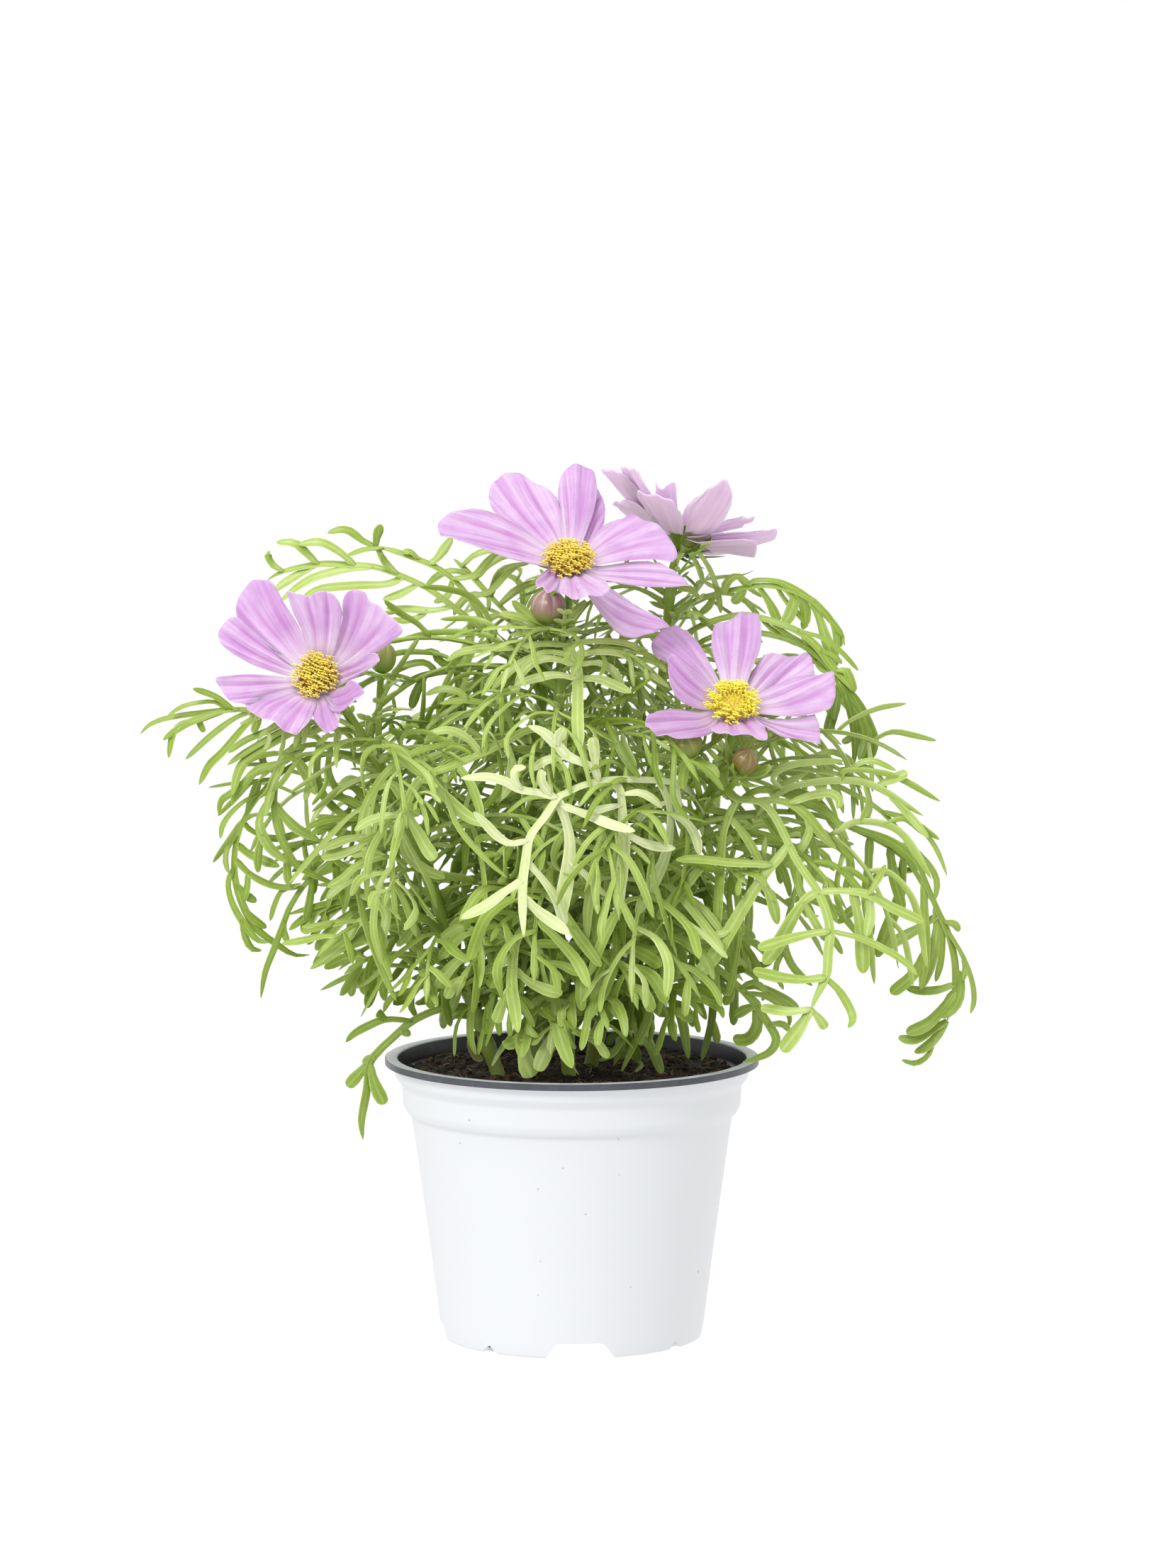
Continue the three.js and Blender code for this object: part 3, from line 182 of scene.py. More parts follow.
# Flowers: disc centre, compass angle and rise of the axis, disc radius, and the
# slot that colours the disc.
# A petal's turn, lift and length lay its plane. For most its order (layers
# down from the top one) and its outline in the picture follow: the side of the
# larger turn from the disc outward, the tip, and the other side back. For those
# that the picture hides, its width and how far its two edges curl up follow.
# A flower may give, by a petal's turn, painted shade: how dark its two halves are made, for shade that
# falls on them. A petal with an outline has OUTLINED_PETAL entries.
OUTLINED_PETAL = 7
FLOWERS = [
    {"centre": (-79.5, -40, 216.3), "compass": -102.6, "rise": 20.1, "disc": 7.2, "stem": "left",
     "slot": "disc_gold",
     "shaded_halves": {328: (0.5, 0.5), 289: (0.3, 0), 121: (0.25, 0.1), 30: (0.0, 0.25)},
     "petals": [
         (121, 8, 37, 1, [(424, 948), (385, 918), (350, 889), (333, 872)],
          [(331, 858), (336, 840), (346, 825), (356, 817), (368, 816), (379, 817), (388, 828)],
          [(398, 848), (412, 868), (424, 890), (440, 930)]),
         (83, 30, 28, 0, [(437, 935), (427, 893), (415, 865), (409, 845)],
          [(406, 833), (420, 838), (434, 842), (447, 835), (460, 834), (471, 837)],
          [(480, 850), (483, 866), (477, 900), (466, 935)]),
         (30, 25, 35, 1, [(464, 940), (474, 900), (482, 872), (484, 852)],
          [(487, 838), (495, 831), (510, 832), (518, 846), (532, 852), (546, 867), (558, 874),
           (569, 888)],
          [(560, 898), (540, 912), (515, 926), (474, 946)]),
         (359, 35, 29, 0, [(462, 948), (478, 941), (500, 934), (518, 923)],
          [(528, 921), (535, 928), (533, 937)], [(512, 948), (500, 957), (484, 965), (458, 976)]),
         (328, 45, 28, 1, [(452, 980), (466, 973), (484, 967), (493, 961)],
          [(501, 961), (508, 968), (508, 977)], [(499, 989), (484, 1001), (470, 1003), (448, 990)]),
         (289, 40, 32, 1, [(462, 978), (474, 990), (480, 1002)],
          [(478, 1013), (471, 1023), (461, 1029), (450, 1026)], [(442, 1015), (439, 1002), (440, 980)]),
         (250, 38, 34, 0, [(450, 975), (445, 1000), (437, 1018), (425, 1030)],
          [(415, 1036), (402, 1031), (385, 1020), (368, 1010), (354, 1004)],
          [(346, 995), (358, 984), (390, 976), (430, 966)]),
         (201, 33, 36, 1, [(432, 972), (400, 984), (368, 992), (346, 993)],
          [(330, 990), (317, 982), (311, 968), (302, 955)],
          [(318, 953), (345, 950), (378, 951), (425, 956)]),
         (163, 14, 35, 2, [(428, 955), (395, 948), (355, 935), (326, 920)],
          [(308, 904), (304, 889), (309, 880), (318, 870), (332, 868)],
          [(352, 885), (382, 908), (428, 940)])]},
    {"centre": (-1, -2, 250.1), "compass": -92.2, "rise": 51.3, "disc": 8.4, "stem": "front",
     "slot": "disc_gold",
     "shaded_halves": {60: (0.5, 0.5), 87: (0.35, 0), 246: (0.5, 0.5), 318: (0.1, 0.1)},
     "petals": [
         (172, 14, 43, 0, [(785, 800), (755, 797), (712, 787), (665, 770)],
          [(640, 760), (622, 750), (618, 739), (629, 728), (646, 723)],
          [(665, 718), (695, 724), (735, 745), (790, 784)]),
         (121, 13, 41, 1, [(788, 785), (752, 762), (716, 736), (695, 716)],
          [(689, 700), (692, 682), (702, 671), (713, 662), (727, 660), (740, 664), (752, 675),
           (768, 684)],
          [(785, 699), (793, 718), (800, 742), (806, 780)]),
         (87, 9, 41, 0, [(796, 780), (792, 745), (788, 715), (787, 694)],
          [(790, 677), (798, 663), (811, 657), (826, 658), (838, 667)],
          [(843, 690), (838, 722), (828, 750), (816, 780)]),
         (60, 7, 38, 1, [(808, 780), (815, 745), (825, 706), (838, 688)],
          [(845, 688), (851, 700), (854, 718)], [(852, 736), (842, 753), (826, 780)]),
         (18, 8, 36, 0, [(818, 788), (835, 760), (852, 742), (872, 732)],
          [(890, 728), (906, 733), (924, 740), (940, 752), (950, 766), (955, 781)],
          [(949, 795), (915, 790), (870, 793), (818, 802)]),
         (343, 7, 41, 1, [(818, 798), (860, 792), (900, 788), (932, 793)],
          [(948, 800), (962, 806), (969, 815), (975, 823)],
          [(948, 825), (905, 823), (865, 816), (820, 806)]),
         (318, 1, 41, 2, [(818, 800), (855, 817), (880, 833), (900, 847)],
          [(923, 856), (938, 866), (944, 876), (930, 878), (914, 884)],
          [(893, 889), (874, 885), (853, 864), (812, 806)]),
         (279, 31, 38, 0, [(818, 804), (836, 813), (855, 820)],
          [(861, 830), (852, 839), (832, 843), (812, 843), (796, 838)],
          [(779, 829), (788, 820), (796, 803)]),
         (246, 36, 28, 1, [(800, 804), (795, 812), (789, 822)],
          [(778, 831), (764, 825), (756, 814)], [(762, 806), (774, 802), (786, 798)])]},
    {"centre": (50.5, -35, 206.8), "compass": -89.3, "rise": 49.9, "disc": 8.2, "stem": "right",
     "slot": "disc_lemon",
     "shaded_halves": {149: (0.35, 0.35), 116: (0.1, 0.3), 214: (0.3, 0.2), 84: (0.3, 0), 272: (0.2, 0.2)},
     "petals": [
         (116, 3, 41, 1, [(1022, 990), (985, 957), (952, 936), (926, 922)],
          [(919, 908), (923, 897), (933, 887), (943, 879), (954, 877)],
          [(969, 885), (987, 905), (1004, 935), (1030, 985)]),
         (149, 22, 29, 0, [(1018, 1003), (984, 1000), (957, 988), (945, 972)],
          [(943, 956), (944, 940), (941, 928), (948, 925)],
          [(966, 937), (988, 957), (1024, 992)]),
         (214, 18, 35, 1, [(1026, 1008), (1003, 1030), (978, 1037), (957, 1040)],
          [(940, 1032), (924, 1026), (912, 1018), (912, 1008)],
          [(926, 1000), (950, 996), (980, 998), (1020, 1000)]),
         (84, 4, 41, 0, [(1022, 985), (1012, 945), (1004, 918), (1004, 896)],
          [(1009, 882), (1021, 875), (1036, 870), (1047, 863), (1057, 868), (1069, 868)],
          [(1074, 884), (1073, 912), (1062, 942), (1046, 985)]),
         (45, 0, 37, 1, [(1040, 990), (1056, 955), (1068, 933), (1078, 921)],
          [(1093, 919), (1111, 921), (1126, 918), (1140, 914), (1146, 928)],
          [(1149, 948), (1120, 962), (1092, 978), (1050, 995)]),
         (2, 4, 33, 0, [(1046, 992), (1080, 974), (1115, 958), (1146, 951)],
          [(1160, 951), (1174, 948), (1178, 962), (1178, 984)],
          [(1170, 1000), (1145, 1008), (1108, 1011), (1046, 1004)]),
         (324, 4, 34, 1, [(1046, 1000), (1080, 1009), (1115, 1010), (1150, 1006)],
          [(1156, 1018), (1157, 1032), (1155, 1045)],
          [(1132, 1039), (1104, 1035), (1078, 1020), (1042, 1005)]),
         (272, 31, 31, 0, [(1046, 1006), (1064, 1014), (1077, 1024)],
          [(1083, 1042), (1066, 1036), (1048, 1036), (1030, 1037), (1014, 1036)],
          [(1001, 1029), (1010, 1020), (1022, 1006)])]},
    {"centre": (36.2, 42, 255.8), "compass": 55.4, "rise": 62, "disc": 7.6, "stem": "back",
     "slot": "disc_gold",
     "petals": [
         (60, 14, 38, 0, [(950, 744), (925, 718), (907, 699), (890, 680)],
          [(873, 668), (859, 662), (849, 661)], [(855, 676), (884, 706), (944, 750)]),
         (78, 20, 38, 1, [(954, 744), (930, 705), (912, 680), (901, 664)],
          [(893, 655), (885, 651), (877, 654)], [(880, 669), (894, 693), (944, 748)]),
         (25, 20, 36, 1, [(948, 748), (920, 722), (903, 708), (887, 701)],
          [(876, 700), (867, 704)], [(878, 716), (894, 728), (942, 752)]),
         (95, 22, 38, 0, [(960, 744), (955, 712), (953, 692)],
          [(949, 682), (942, 683), (934, 689), (925, 681)], [(923, 700), (930, 722), (946, 748)]),
         (110, 14, 38, 2, [(966, 748), (968, 727), (964, 709)],
          [(952, 696), (940, 690), (926, 687), (913, 681), (903, 680)],
          [(909, 700), (922, 722), (944, 752)]),
         (152, 20, 37, 1, [(975, 758), (1005, 748), (1023, 728), (1034, 705)],
          [(1034, 690), (1027, 673), (1012, 675), (1000, 683)], [(983, 699), (968, 712), (958, 748)]),
         (185, 24, 36, 0, [(975, 758), (1020, 750), (1042, 744)],
          [(1055, 738), (1065, 732), (1050, 728)], [(1035, 733), (1008, 738), (965, 750)]),
         (198, 24, 36, 1, [(975, 762), (1035, 762), (1062, 764), (1078, 762)],
          [(1093, 752), (1098, 743), (1088, 742)], [(1065, 744), (1030, 746), (970, 752)]),
         (205, 14, 36, 2, [(972, 765), (1010, 766), (1040, 771), (1058, 774)],
          [(1068, 770), (1071, 757), (1062, 750)], [(1040, 749), (1010, 751), (968, 755)]),
         (244, 28, 36, 1.0, 0.1, 0.2), (290, 30, 37, 1.0, 0.2, 0.1), (335, 26, 36, 1.0, 0.1, 0.3)]},
]

# Buds: the height "from" which a stalk leaves the stem, the middle and the axis,
# half the width and half the length, and how ripe the colour is, from 0 to 1.
BUDS = [
    {"name": "bud_front", "stem": "middle", "centre": (-7.4, -0.6, 234.6), "axis": (0, -0.12, 1),
     "size": (5.7, 5.5), "bracts": 8, "slot": "bud_rose", "rose": 1.0},
    {"name": "bud_left", "stem": "left", "from": 186, "centre": (-59.7, -13, 219.3),
     "axis": (0.1, 0.2, 1), "size": (4.2, 5), "bracts": 5, "slot": "bud_green", "rose": 0.9},
    {"name": "bud_under_flower", "stem": "right", "from": 172, "centre": (35.8, -41, 194.4),
     "axis": (-0.3, -0.5, 1), "size": (5.2, 3.8), "bracts": 5, "slot": "bud_green", "rose": 0.9},
    {"name": "bud_right", "stem": "right", "from": 176, "centre": (54, -45, 189.5),
     "axis": (0.4, -0.6, 1), "size": (4.2, 4.2), "bracts": 5, "slot": "bud_rose",
     "look": "bud_dark", "rose": 0.9, "reach": 7.5, "curl": 1.6},
]

# Leaves placed as the picture shows them. Each starts on its stem at the
# height "from" and reaches the depth (mm along Y) at the rib's end. Points are
# across and down the frame of 1659 by 2212; a lobe starts with its width in mm,
# and leaves whichever earlier line of the leaf is nearest.
PICTURED = [
    {"stem": "middle", "from": 226, "depth": -9, "width": 3.6, "tone": 0.62,
     "rib": [(768, 885), (750, 877), (728, 869), (705, 866)],
     "lobes": [(3.8, (771, 885), (756, 891), (737, 896)), (3.8, (774, 886), (792, 891), (813, 889)),
               (3.6, (776, 885), (800, 873), (816, 859), (827, 849)),
               (3.2, (771, 885), (750, 872), (733, 858), (722, 848)),
               (3.2, (774, 887), (778, 894), (781, 900))]},
    {"stem": "middle", "from": 208, "depth": 34, "width": 2.6, "tone": 0.5,
     "rib": [(758, 915), (738, 888), (700, 850), (665, 812), (640, 788)],
     "lobes": [(3.0, (690, 840), (700, 815), (720, 800), (747, 795)),
               (3.0, (670, 818), (690, 795), (715, 782), (742, 780)),
               (2.8, (652, 800), (668, 784), (690, 776), (713, 776)),
               (2.8, (705, 855), (725, 835), (748, 823), (762, 823)),
               (2.8, (665, 812), (640, 805), (618, 812), (600, 828)),
               (2.6, (690, 840), (668, 838), (650, 850), (640, 868)),
               (2.6, (720, 872), (700, 868), (684, 880), (676, 900))]},
    {"stem": "middle", "from": 212, "depth": 12, "width": 2.8, "tone": 0.56,
     "rib": [(735, 940), (706, 908), (660, 872), (608, 833), (565, 812), (530, 800), (493, 797),
             (450, 796), (400, 806), (376, 819)],
     "lobes": [(2.8, (402, 806), (386, 798), (378, 785), (381, 778)),
               (3.0, (450, 796), (432, 780), (415, 766), (390, 765)),
               (3.0, (496, 797), (478, 778), (452, 765), (421, 768)),
               (3.4, (530, 801), (497, 802), (450, 812), (420, 828), (396, 848)),
               (3.4, (566, 813), (545, 824), (500, 826), (452, 831), (425, 845)),
               (3.0, (585, 822), (565, 838), (540, 846)),
               (2.8, (448, 797), (420, 811), (400, 823), (386, 835)),
               (4.0, (661, 873), (664, 895), (657, 922), (652, 945)),
               (2.6, (640, 858), (610, 861), (575, 859), (545, 858)),
               (2.4, (600, 861), (590, 871), (570, 876), (552, 873)),
               (2.8, (690, 894), (660, 893), (629, 898)),
               (2.6, (560, 811), (545, 795), (537, 782)),
               (2.4, (700, 903), (676, 912), (654, 925))]},
    {"stem": "middle", "from": 206, "depth": 22, "width": 2.6, "tone": 0.5,
     "rib": [(730, 935), (694, 895), (669, 855), (649, 827), (620, 803), (584, 787), (555, 777),
             (530, 771)],
     "lobes": [(2.8, (531, 771), (512, 763), (495, 750), (480, 747), (462, 752)),
               (3.0, (529, 771), (532, 755), (538, 740)),
               (2.2, (545, 776), (515, 775), (490, 784)),
               (2.6, (533, 772), (541, 790), (556, 808)),
               (2.4, (588, 789), (580, 779), (568, 778)),
               (3.0, (602, 795), (618, 786), (638, 758)),
               (2.8, (640, 818), (668, 812), (690, 790), (708, 775)),
               (2.4, (660, 842), (690, 835), (715, 810), (730, 800)),
               (2.6, (640, 818), (632, 840), (612, 850))]},
    {"stem": "left", "from": 197, "depth": -22, "width": 2.4, "tone": 0.42,
     "rib": [(470, 1028), (440, 1018), (400, 1010), (360, 1003), (330, 1001), (290, 1005), (240, 1012),
             (212, 1022), (198, 1035)],
     "lobes": [(2.6, (330, 1000), (308, 985), (290, 977), (272, 972)),
               (1.8, (322, 1000), (300, 990), (262, 995), (237, 1009)),
               (2.4, (340, 1002), (310, 1004), (270, 1018), (248, 1030), (230, 1044)),
               (2.4, (318, 1003), (285, 1015), (255, 1022), (243, 1040), (238, 1069)),
               (2.2, (360, 1004), (330, 1014), (295, 1040), (262, 1071)),
               (3.2, (375, 1006), (350, 1020), (315, 1060), (295, 1080), (281, 1107)),
               (2.2, (285, 1006), (281, 1018), (288, 1033)),
               (2.6, (368, 1005), (363, 1018), (357, 1034)),
               (2.4, (420, 1014), (380, 1030), (345, 1045), (322, 1062)),
               (2.2, (428, 1016), (385, 1038), (345, 1062), (321, 1079)),
               (3.0, (440, 1018), (390, 1045), (352, 1068), (336, 1090), (328, 1122)),
               (2.4, (450, 1021), (420, 1048), (400, 1070), (382, 1100))]},
    {"stem": "left", "from": 188, "depth": -20, "width": 2.6, "tone": 0.38,
     "rib": [(500, 1066), (470, 1062), (430, 1072), (400, 1088), (372, 1115), (350, 1145), (337, 1175),
             (331, 1205), (332, 1240), (342, 1275), (362, 1310), (392, 1333), (415, 1347), (437, 1347)],
     "lobes": [(3.2, (333, 1192), (350, 1204), (372, 1214), (394, 1223)),
               (2.8, (334, 1208), (352, 1233), (380, 1248), (405, 1252), (425, 1247)),
               (2.4, (350, 1230), (349, 1250), (344, 1272)),
               (2.6, (334, 1248), (346, 1262), (362, 1272)),
               (2.6, (344, 1282), (358, 1297), (376, 1309)),
               (2.2, (331, 1226), (322, 1245), (327, 1272), (342, 1300), (362, 1325), (380, 1330)),
               (2.2, (341, 1298), (345, 1320), (355, 1338), (369, 1341)),
               (1.8, (336, 1180), (322, 1195), (318, 1213), (322, 1231)),
               (2.2, (385, 1102), (350, 1105), (325, 1120), (312, 1130), (308, 1148)),
               (2.0, (372, 1116), (345, 1130), (325, 1148), (314, 1165), (311, 1183)),
               (2.8, (342, 1160), (355, 1172), (385, 1183), (415, 1178), (437, 1168)),
               (2.8, (351, 1145), (358, 1120), (366, 1100)),
               (2.4, (400, 1088), (378, 1084), (370, 1072), (375, 1060))]},
    {"stem": "left", "from": 194, "depth": -28, "width": 2.6, "tone": 0.44,
     "rib": [(490, 1052), (460, 1050), (430, 1052), (402, 1062), (392, 1085), (388, 1110), (387, 1140),
             (392, 1170), (405, 1200), (420, 1222), (450, 1238), (481, 1250)],
     "lobes": [(3.0, (388, 1128), (400, 1150), (420, 1170), (450, 1185)),
               (3.0, (387, 1120), (372, 1140), (366, 1165), (380, 1195), (405, 1217)),
               (2.6, (369, 1178), (364, 1205), (364, 1231)),
               (2.6, (407, 1205), (405, 1230), (408, 1250)),
               (2.6, (430, 1054), (400, 1075), (365, 1085), (345, 1105), (331, 1122), (328, 1136)),
               (2.4, (470, 1052), (463, 1085), (475, 1115), (497, 1137), (515, 1141)),
               (2.8, (448, 1052), (447, 1090), (455, 1120), (475, 1143), (498, 1155)),
               (3.4, (410, 1059), (430, 1088), (446, 1121)),
               (2.4, (463, 1082), (440, 1100), (430, 1130)),
               (2.8, (404, 1060), (396, 1085), (384, 1110), (374, 1152))]},
    {"stem": "left", "from": 170, "depth": -34, "width": 2.8, "tone": 0.4,
     "rib": [(535, 1155), (500, 1154), (465, 1156), (443, 1163), (432, 1172)],
     "lobes": [(2.6, (510, 1155), (480, 1166), (455, 1168), (438, 1178)),
               (2.6, (530, 1155), (505, 1135), (480, 1125), (452, 1124)),
               (2.8, (545, 1150), (520, 1130), (500, 1112), (485, 1110))]},
    {"stem": "middle", "from": 190, "depth": -52, "width": 3.2, "tone": 0.64,
     "rib": [(720, 1040), (680, 1045), (640, 1055), (600, 1070), (570, 1080), (545, 1092), (528, 1115),
             (520, 1150), (516, 1185), (520, 1215), (535, 1250), (552, 1280), (566, 1299)],
     "lobes": [(2.2, (545, 1092), (510, 1098), (480, 1112), (455, 1135), (438, 1162)),
               (2.2, (524, 1130), (495, 1150), (465, 1180), (440, 1208), (408, 1246)),
               (3.8, (530, 1110), (550, 1105), (565, 1120), (575, 1138), (592, 1150)),
               (3.6, (519, 1155), (548, 1163), (566, 1182), (576, 1208), (600, 1227), (628, 1238)),
               (3.2, (516, 1180), (490, 1184), (455, 1198)),
               (3.8, (516, 1192), (495, 1200), (470, 1206), (453, 1209)),
               (2.8, (520, 1215), (500, 1224), (483, 1240), (462, 1252)),
               (2.8, (600, 1070), (575, 1062), (548, 1068), (520, 1085)),
               (3.0, (640, 1055), (625, 1075), (618, 1105), (622, 1135)),
               (2.8, (680, 1045), (655, 1028), (625, 1030), (598, 1045))]},
    {"stem": "front", "from": 196, "depth": -64, "width": 3.2, "tone": 0.6,
     "rib": [(745, 1030), (710, 1048), (675, 1065), (640, 1080), (605, 1092), (588, 1105), (576, 1128),
             (567, 1158), (558, 1190), (549, 1228)],
     "lobes": [(3.4, (600, 1095), (578, 1078), (560, 1060), (540, 1052)),
               (4.0, (573, 1145), (590, 1175), (603, 1198), (614, 1213)),
               (3.4, (602, 1096), (630, 1125), (660, 1152), (690, 1165)),
               (2.8, (570, 1150), (548, 1150), (520, 1158), (500, 1172)),
               (3.0, (640, 1080), (662, 1102), (675, 1135), (680, 1165)),
               (2.8, (675, 1065), (660, 1042), (632, 1030), (600, 1036)),
               (3.0, (710, 1048), (722, 1075), (716, 1110), (700, 1132))]},
    {"stem": "left", "from": 150, "depth": -50, "width": 3.6, "tone": 0.62,
     "rib": [(575, 1195), (540, 1188), (512, 1205), (502, 1235), (508, 1270), (516, 1305), (530, 1345),
             (546, 1385), (559, 1412)],
     "lobes": [(2.8, (503, 1240), (485, 1247), (470, 1258), (461, 1268)),
               (3.0, (506, 1262), (530, 1270), (545, 1290), (540, 1320), (540, 1340)),
               (3.0, (545, 1188), (525, 1172), (500, 1175)),
               (3.2, (513, 1295), (500, 1310), (487, 1330))]},
    {"stem": "left", "from": 160, "depth": -30, "width": 2.2, "tone": 0.32,
     "rib": [(560, 1190), (525, 1196), (490, 1205), (460, 1220), (430, 1248), (410, 1278), (402, 1297),
             (388, 1335), (374, 1372), (368, 1408)],
     "lobes": [(2.0, (402, 1297), (401, 1315), (407, 1333)),
               (2.2, (425, 1253), (400, 1255), (388, 1275), (381, 1299)),
               (2.4, (440, 1240), (437, 1270), (430, 1300)),
               (2.2, (470, 1216), (450, 1210), (430, 1218), (412, 1230)),
               (2.4, (470, 1216), (492, 1228), (490, 1262), (484, 1290))]},
    {"stem": "left", "from": 133, "depth": -26, "width": 2.6, "tone": 0.46,
     "rib": [(590, 1290), (550, 1278), (510, 1272), (460, 1275), (407, 1290)],
     "lobes": [(2.6, (490, 1273), (455, 1285), (430, 1295), (408, 1312)),
               (2.4, (505, 1273), (480, 1280), (455, 1300), (440, 1325), (434, 1333)),
               (4.2, (470, 1276), (448, 1284), (435, 1300), (431, 1318)),
               (4.0, (520, 1276), (500, 1285), (470, 1310), (445, 1340)),
               (2.4, (535, 1276), (520, 1262), (500, 1255), (480, 1258)),
               (2.4, (545, 1278), (540, 1300), (545, 1322)),
               (2.2, (460, 1276), (456, 1290), (461, 1303))]},
    {"stem": "left", "from": 129, "depth": -46, "width": 4.0, "tone": 0.54,
     "rib": [(600, 1298), (560, 1300), (520, 1308), (490, 1330), (460, 1352), (438, 1367)],
     "lobes": [(4.4, (500, 1322), (490, 1337), (500, 1351)),
               (3.2, (520, 1308), (490, 1318), (465, 1335), (447, 1349)),
               (3.8, (548, 1302), (538, 1320), (539, 1341)),
               (3.0, (570, 1300), (552, 1285), (530, 1280)),
               (3.0, (585, 1299), (575, 1320), (560, 1335))]},
    {"stem": "left", "from": 117, "depth": 0, "width": 2.2, "tone": 0.44,
     "rib": [(620, 1375), (590, 1367), (560, 1362), (530, 1365), (490, 1378), (452, 1397)],
     "lobes": [(1.8, (530, 1366), (505, 1375), (488, 1390), (479, 1405)),
               (3.0, (520, 1368), (500, 1382), (495, 1406)),
               (3.0, (535, 1366), (510, 1378), (515, 1404)),
               (2.0, (555, 1362), (535, 1357), (518, 1364)),
               (2.0, (590, 1367), (570, 1350), (552, 1346)),
               (2.0, (600, 1370), (590, 1350), (576, 1335))]},
    {"stem": "left", "from": 106, "depth": -20, "width": 3.2, "tone": 0.46,
     "rib": [(652, 1422), (620, 1424), (592, 1435), (573, 1447), (553, 1465), (535, 1482), (521, 1502),
             (517, 1540), (510, 1580), (512, 1607)],
     "lobes": [(2.6, (580, 1440), (545, 1438), (520, 1447), (500, 1458), (488, 1470)),
               (3.6, (548, 1438), (540, 1434), (532, 1428)),
               (3.2, (568, 1450), (572, 1456), (571, 1462)),
               (3.6, (526, 1497), (507, 1514), (490, 1533)),
               (4.2, (522, 1503), (529, 1530), (542, 1558)),
               (3.0, (528, 1492), (518, 1497), (512, 1501))]},
    {"stem": "left", "from": 113, "depth": -8, "width": 2.4, "tone": 0.5,
     "rib": [(640, 1383), (615, 1385), (590, 1394), (562, 1402), (548, 1412), (541, 1428)],
     "lobes": [(2.2, (592, 1394), (581, 1405), (580, 1420), (587, 1434)),
               (3.0, (620, 1385), (612, 1400), (608, 1423))]},
    {"stem": "left", "from": 118, "depth": -34, "width": 4.2, "tone": 0.48,
     "rib": [(642, 1371), (627, 1376), (615, 1386), (608, 1402), (607, 1423)],
     "lobes": [(3.4, (634, 1373), (628, 1392), (629, 1420), (636, 1448)),
               (3.0, (645, 1371), (645, 1400), (634, 1432)),
               (3.8, (650, 1373), (672, 1390), (690, 1421)),
               (3.0, (650, 1372), (676, 1378), (700, 1398)),
               (2.6, (640, 1371), (615, 1350), (590, 1340))]},
    {"stem": "front", "from": 140, "depth": -62, "width": 4.4, "tone": 0.62,
     "rib": [(765, 1290), (740, 1308), (727, 1332), (723, 1362), (722, 1395), (727, 1428), (731, 1457)],
     "lobes": [(3.8, (722, 1388), (710, 1412), (699, 1443)),
               (3.6, (723, 1366), (745, 1384), (770, 1396), (793, 1403)),
               (3.2, (725, 1348), (705, 1360), (680, 1372)),
               (3.0, (728, 1332), (705, 1318), (690, 1300)),
               (3.0, (735, 1314), (755, 1335), (765, 1360))]},
    {"stem": "front", "from": 122, "depth": -54, "width": 5.2, "tone": 0.6,
     "rib": [(774, 1372), (777, 1398), (783, 1425), (787, 1450), (796, 1480), (807, 1507)],
     "lobes": [(4.6, (786, 1447), (776, 1470), (765, 1494), (758, 1511)),
               (4.0, (787, 1445), (812, 1455), (842, 1470), (857, 1493)),
               (3.0, (822, 1460), (838, 1459), (849, 1462)),
               (3.2, (778, 1405), (760, 1412), (748, 1425)),
               (3.2, (780, 1412), (802, 1418), (822, 1432))]},
    {"stem": "front", "from": 112, "depth": -46, "width": 5.4, "tone": 0.56,
     "rib": [(775, 1395), (758, 1408), (748, 1435), (739, 1465), (735, 1493)],
     "lobes": [(5.4, (738, 1468), (741, 1494), (750, 1520)),
               (3.2, (748, 1432), (760, 1426), (766, 1442)),
               (4.0, (742, 1455), (725, 1470), (710, 1476))]},
    {"stem": "front", "from": 130, "depth": -38, "width": 5.0, "tone": 0.5,
     "rib": [(778, 1340), (795, 1355), (815, 1380), (833, 1405), (850, 1426), (864, 1440)],
     "lobes": [(4.0, (836, 1408), (855, 1417), (871, 1416)),
               (3.2, (815, 1380), (838, 1372), (860, 1362)),
               (3.6, (822, 1390), (842, 1388), (861, 1404)),
               (3.2, (800, 1362), (795, 1385), (790, 1402))]},
    {"stem": "right", "from": 101, "depth": -18, "width": 2.6, "tone": 0.26,
     "rib": [(875, 1427), (895, 1414), (915, 1409), (935, 1405), (949, 1411), (957, 1425)],
     "lobes": [(2.2, (900, 1412), (897, 1404), (888, 1401)),
               (3.4, (912, 1411), (928, 1420), (940, 1434)),
               (2.2, (905, 1412), (910, 1424), (914, 1434)),
               (2.8, (885, 1420), (895, 1429), (904, 1438)),
               (2.2, (930, 1406), (942, 1398), (950, 1401))]},
    {"stem": "right", "from": 98, "depth": -8, "width": 4.2, "tone": 0.26,
     "rib": [(868, 1443), (880, 1460), (892, 1478), (902, 1497)],
     "lobes": [(3.4, (872, 1447), (888, 1446), (902, 1449)),
               (2.6, (876, 1453), (864, 1462), (858, 1474))]},
    {"stem": "right", "from": 128, "depth": -22, "width": 3.0, "tone": 0.44,
     "rib": [(935, 1330), (975, 1340), (1015, 1368), (1045, 1395), (1066, 1418), (1083, 1443),
             (1095, 1466), (1086, 1484), (1064, 1494), (1048, 1498)],
     "lobes": [(3.4, (1064, 1416), (1050, 1425), (1035, 1434)),
               (4.6, (1069, 1420), (1068, 1448), (1055, 1466), (1034, 1467)),
               (2.6, (1084, 1444), (1104, 1445), (1115, 1456)),
               (2.2, (1050, 1400), (1080, 1405), (1105, 1420), (1114, 1436), (1112, 1450)),
               (3.4, (1015, 1368), (1008, 1390), (1012, 1415), (1006, 1425)),
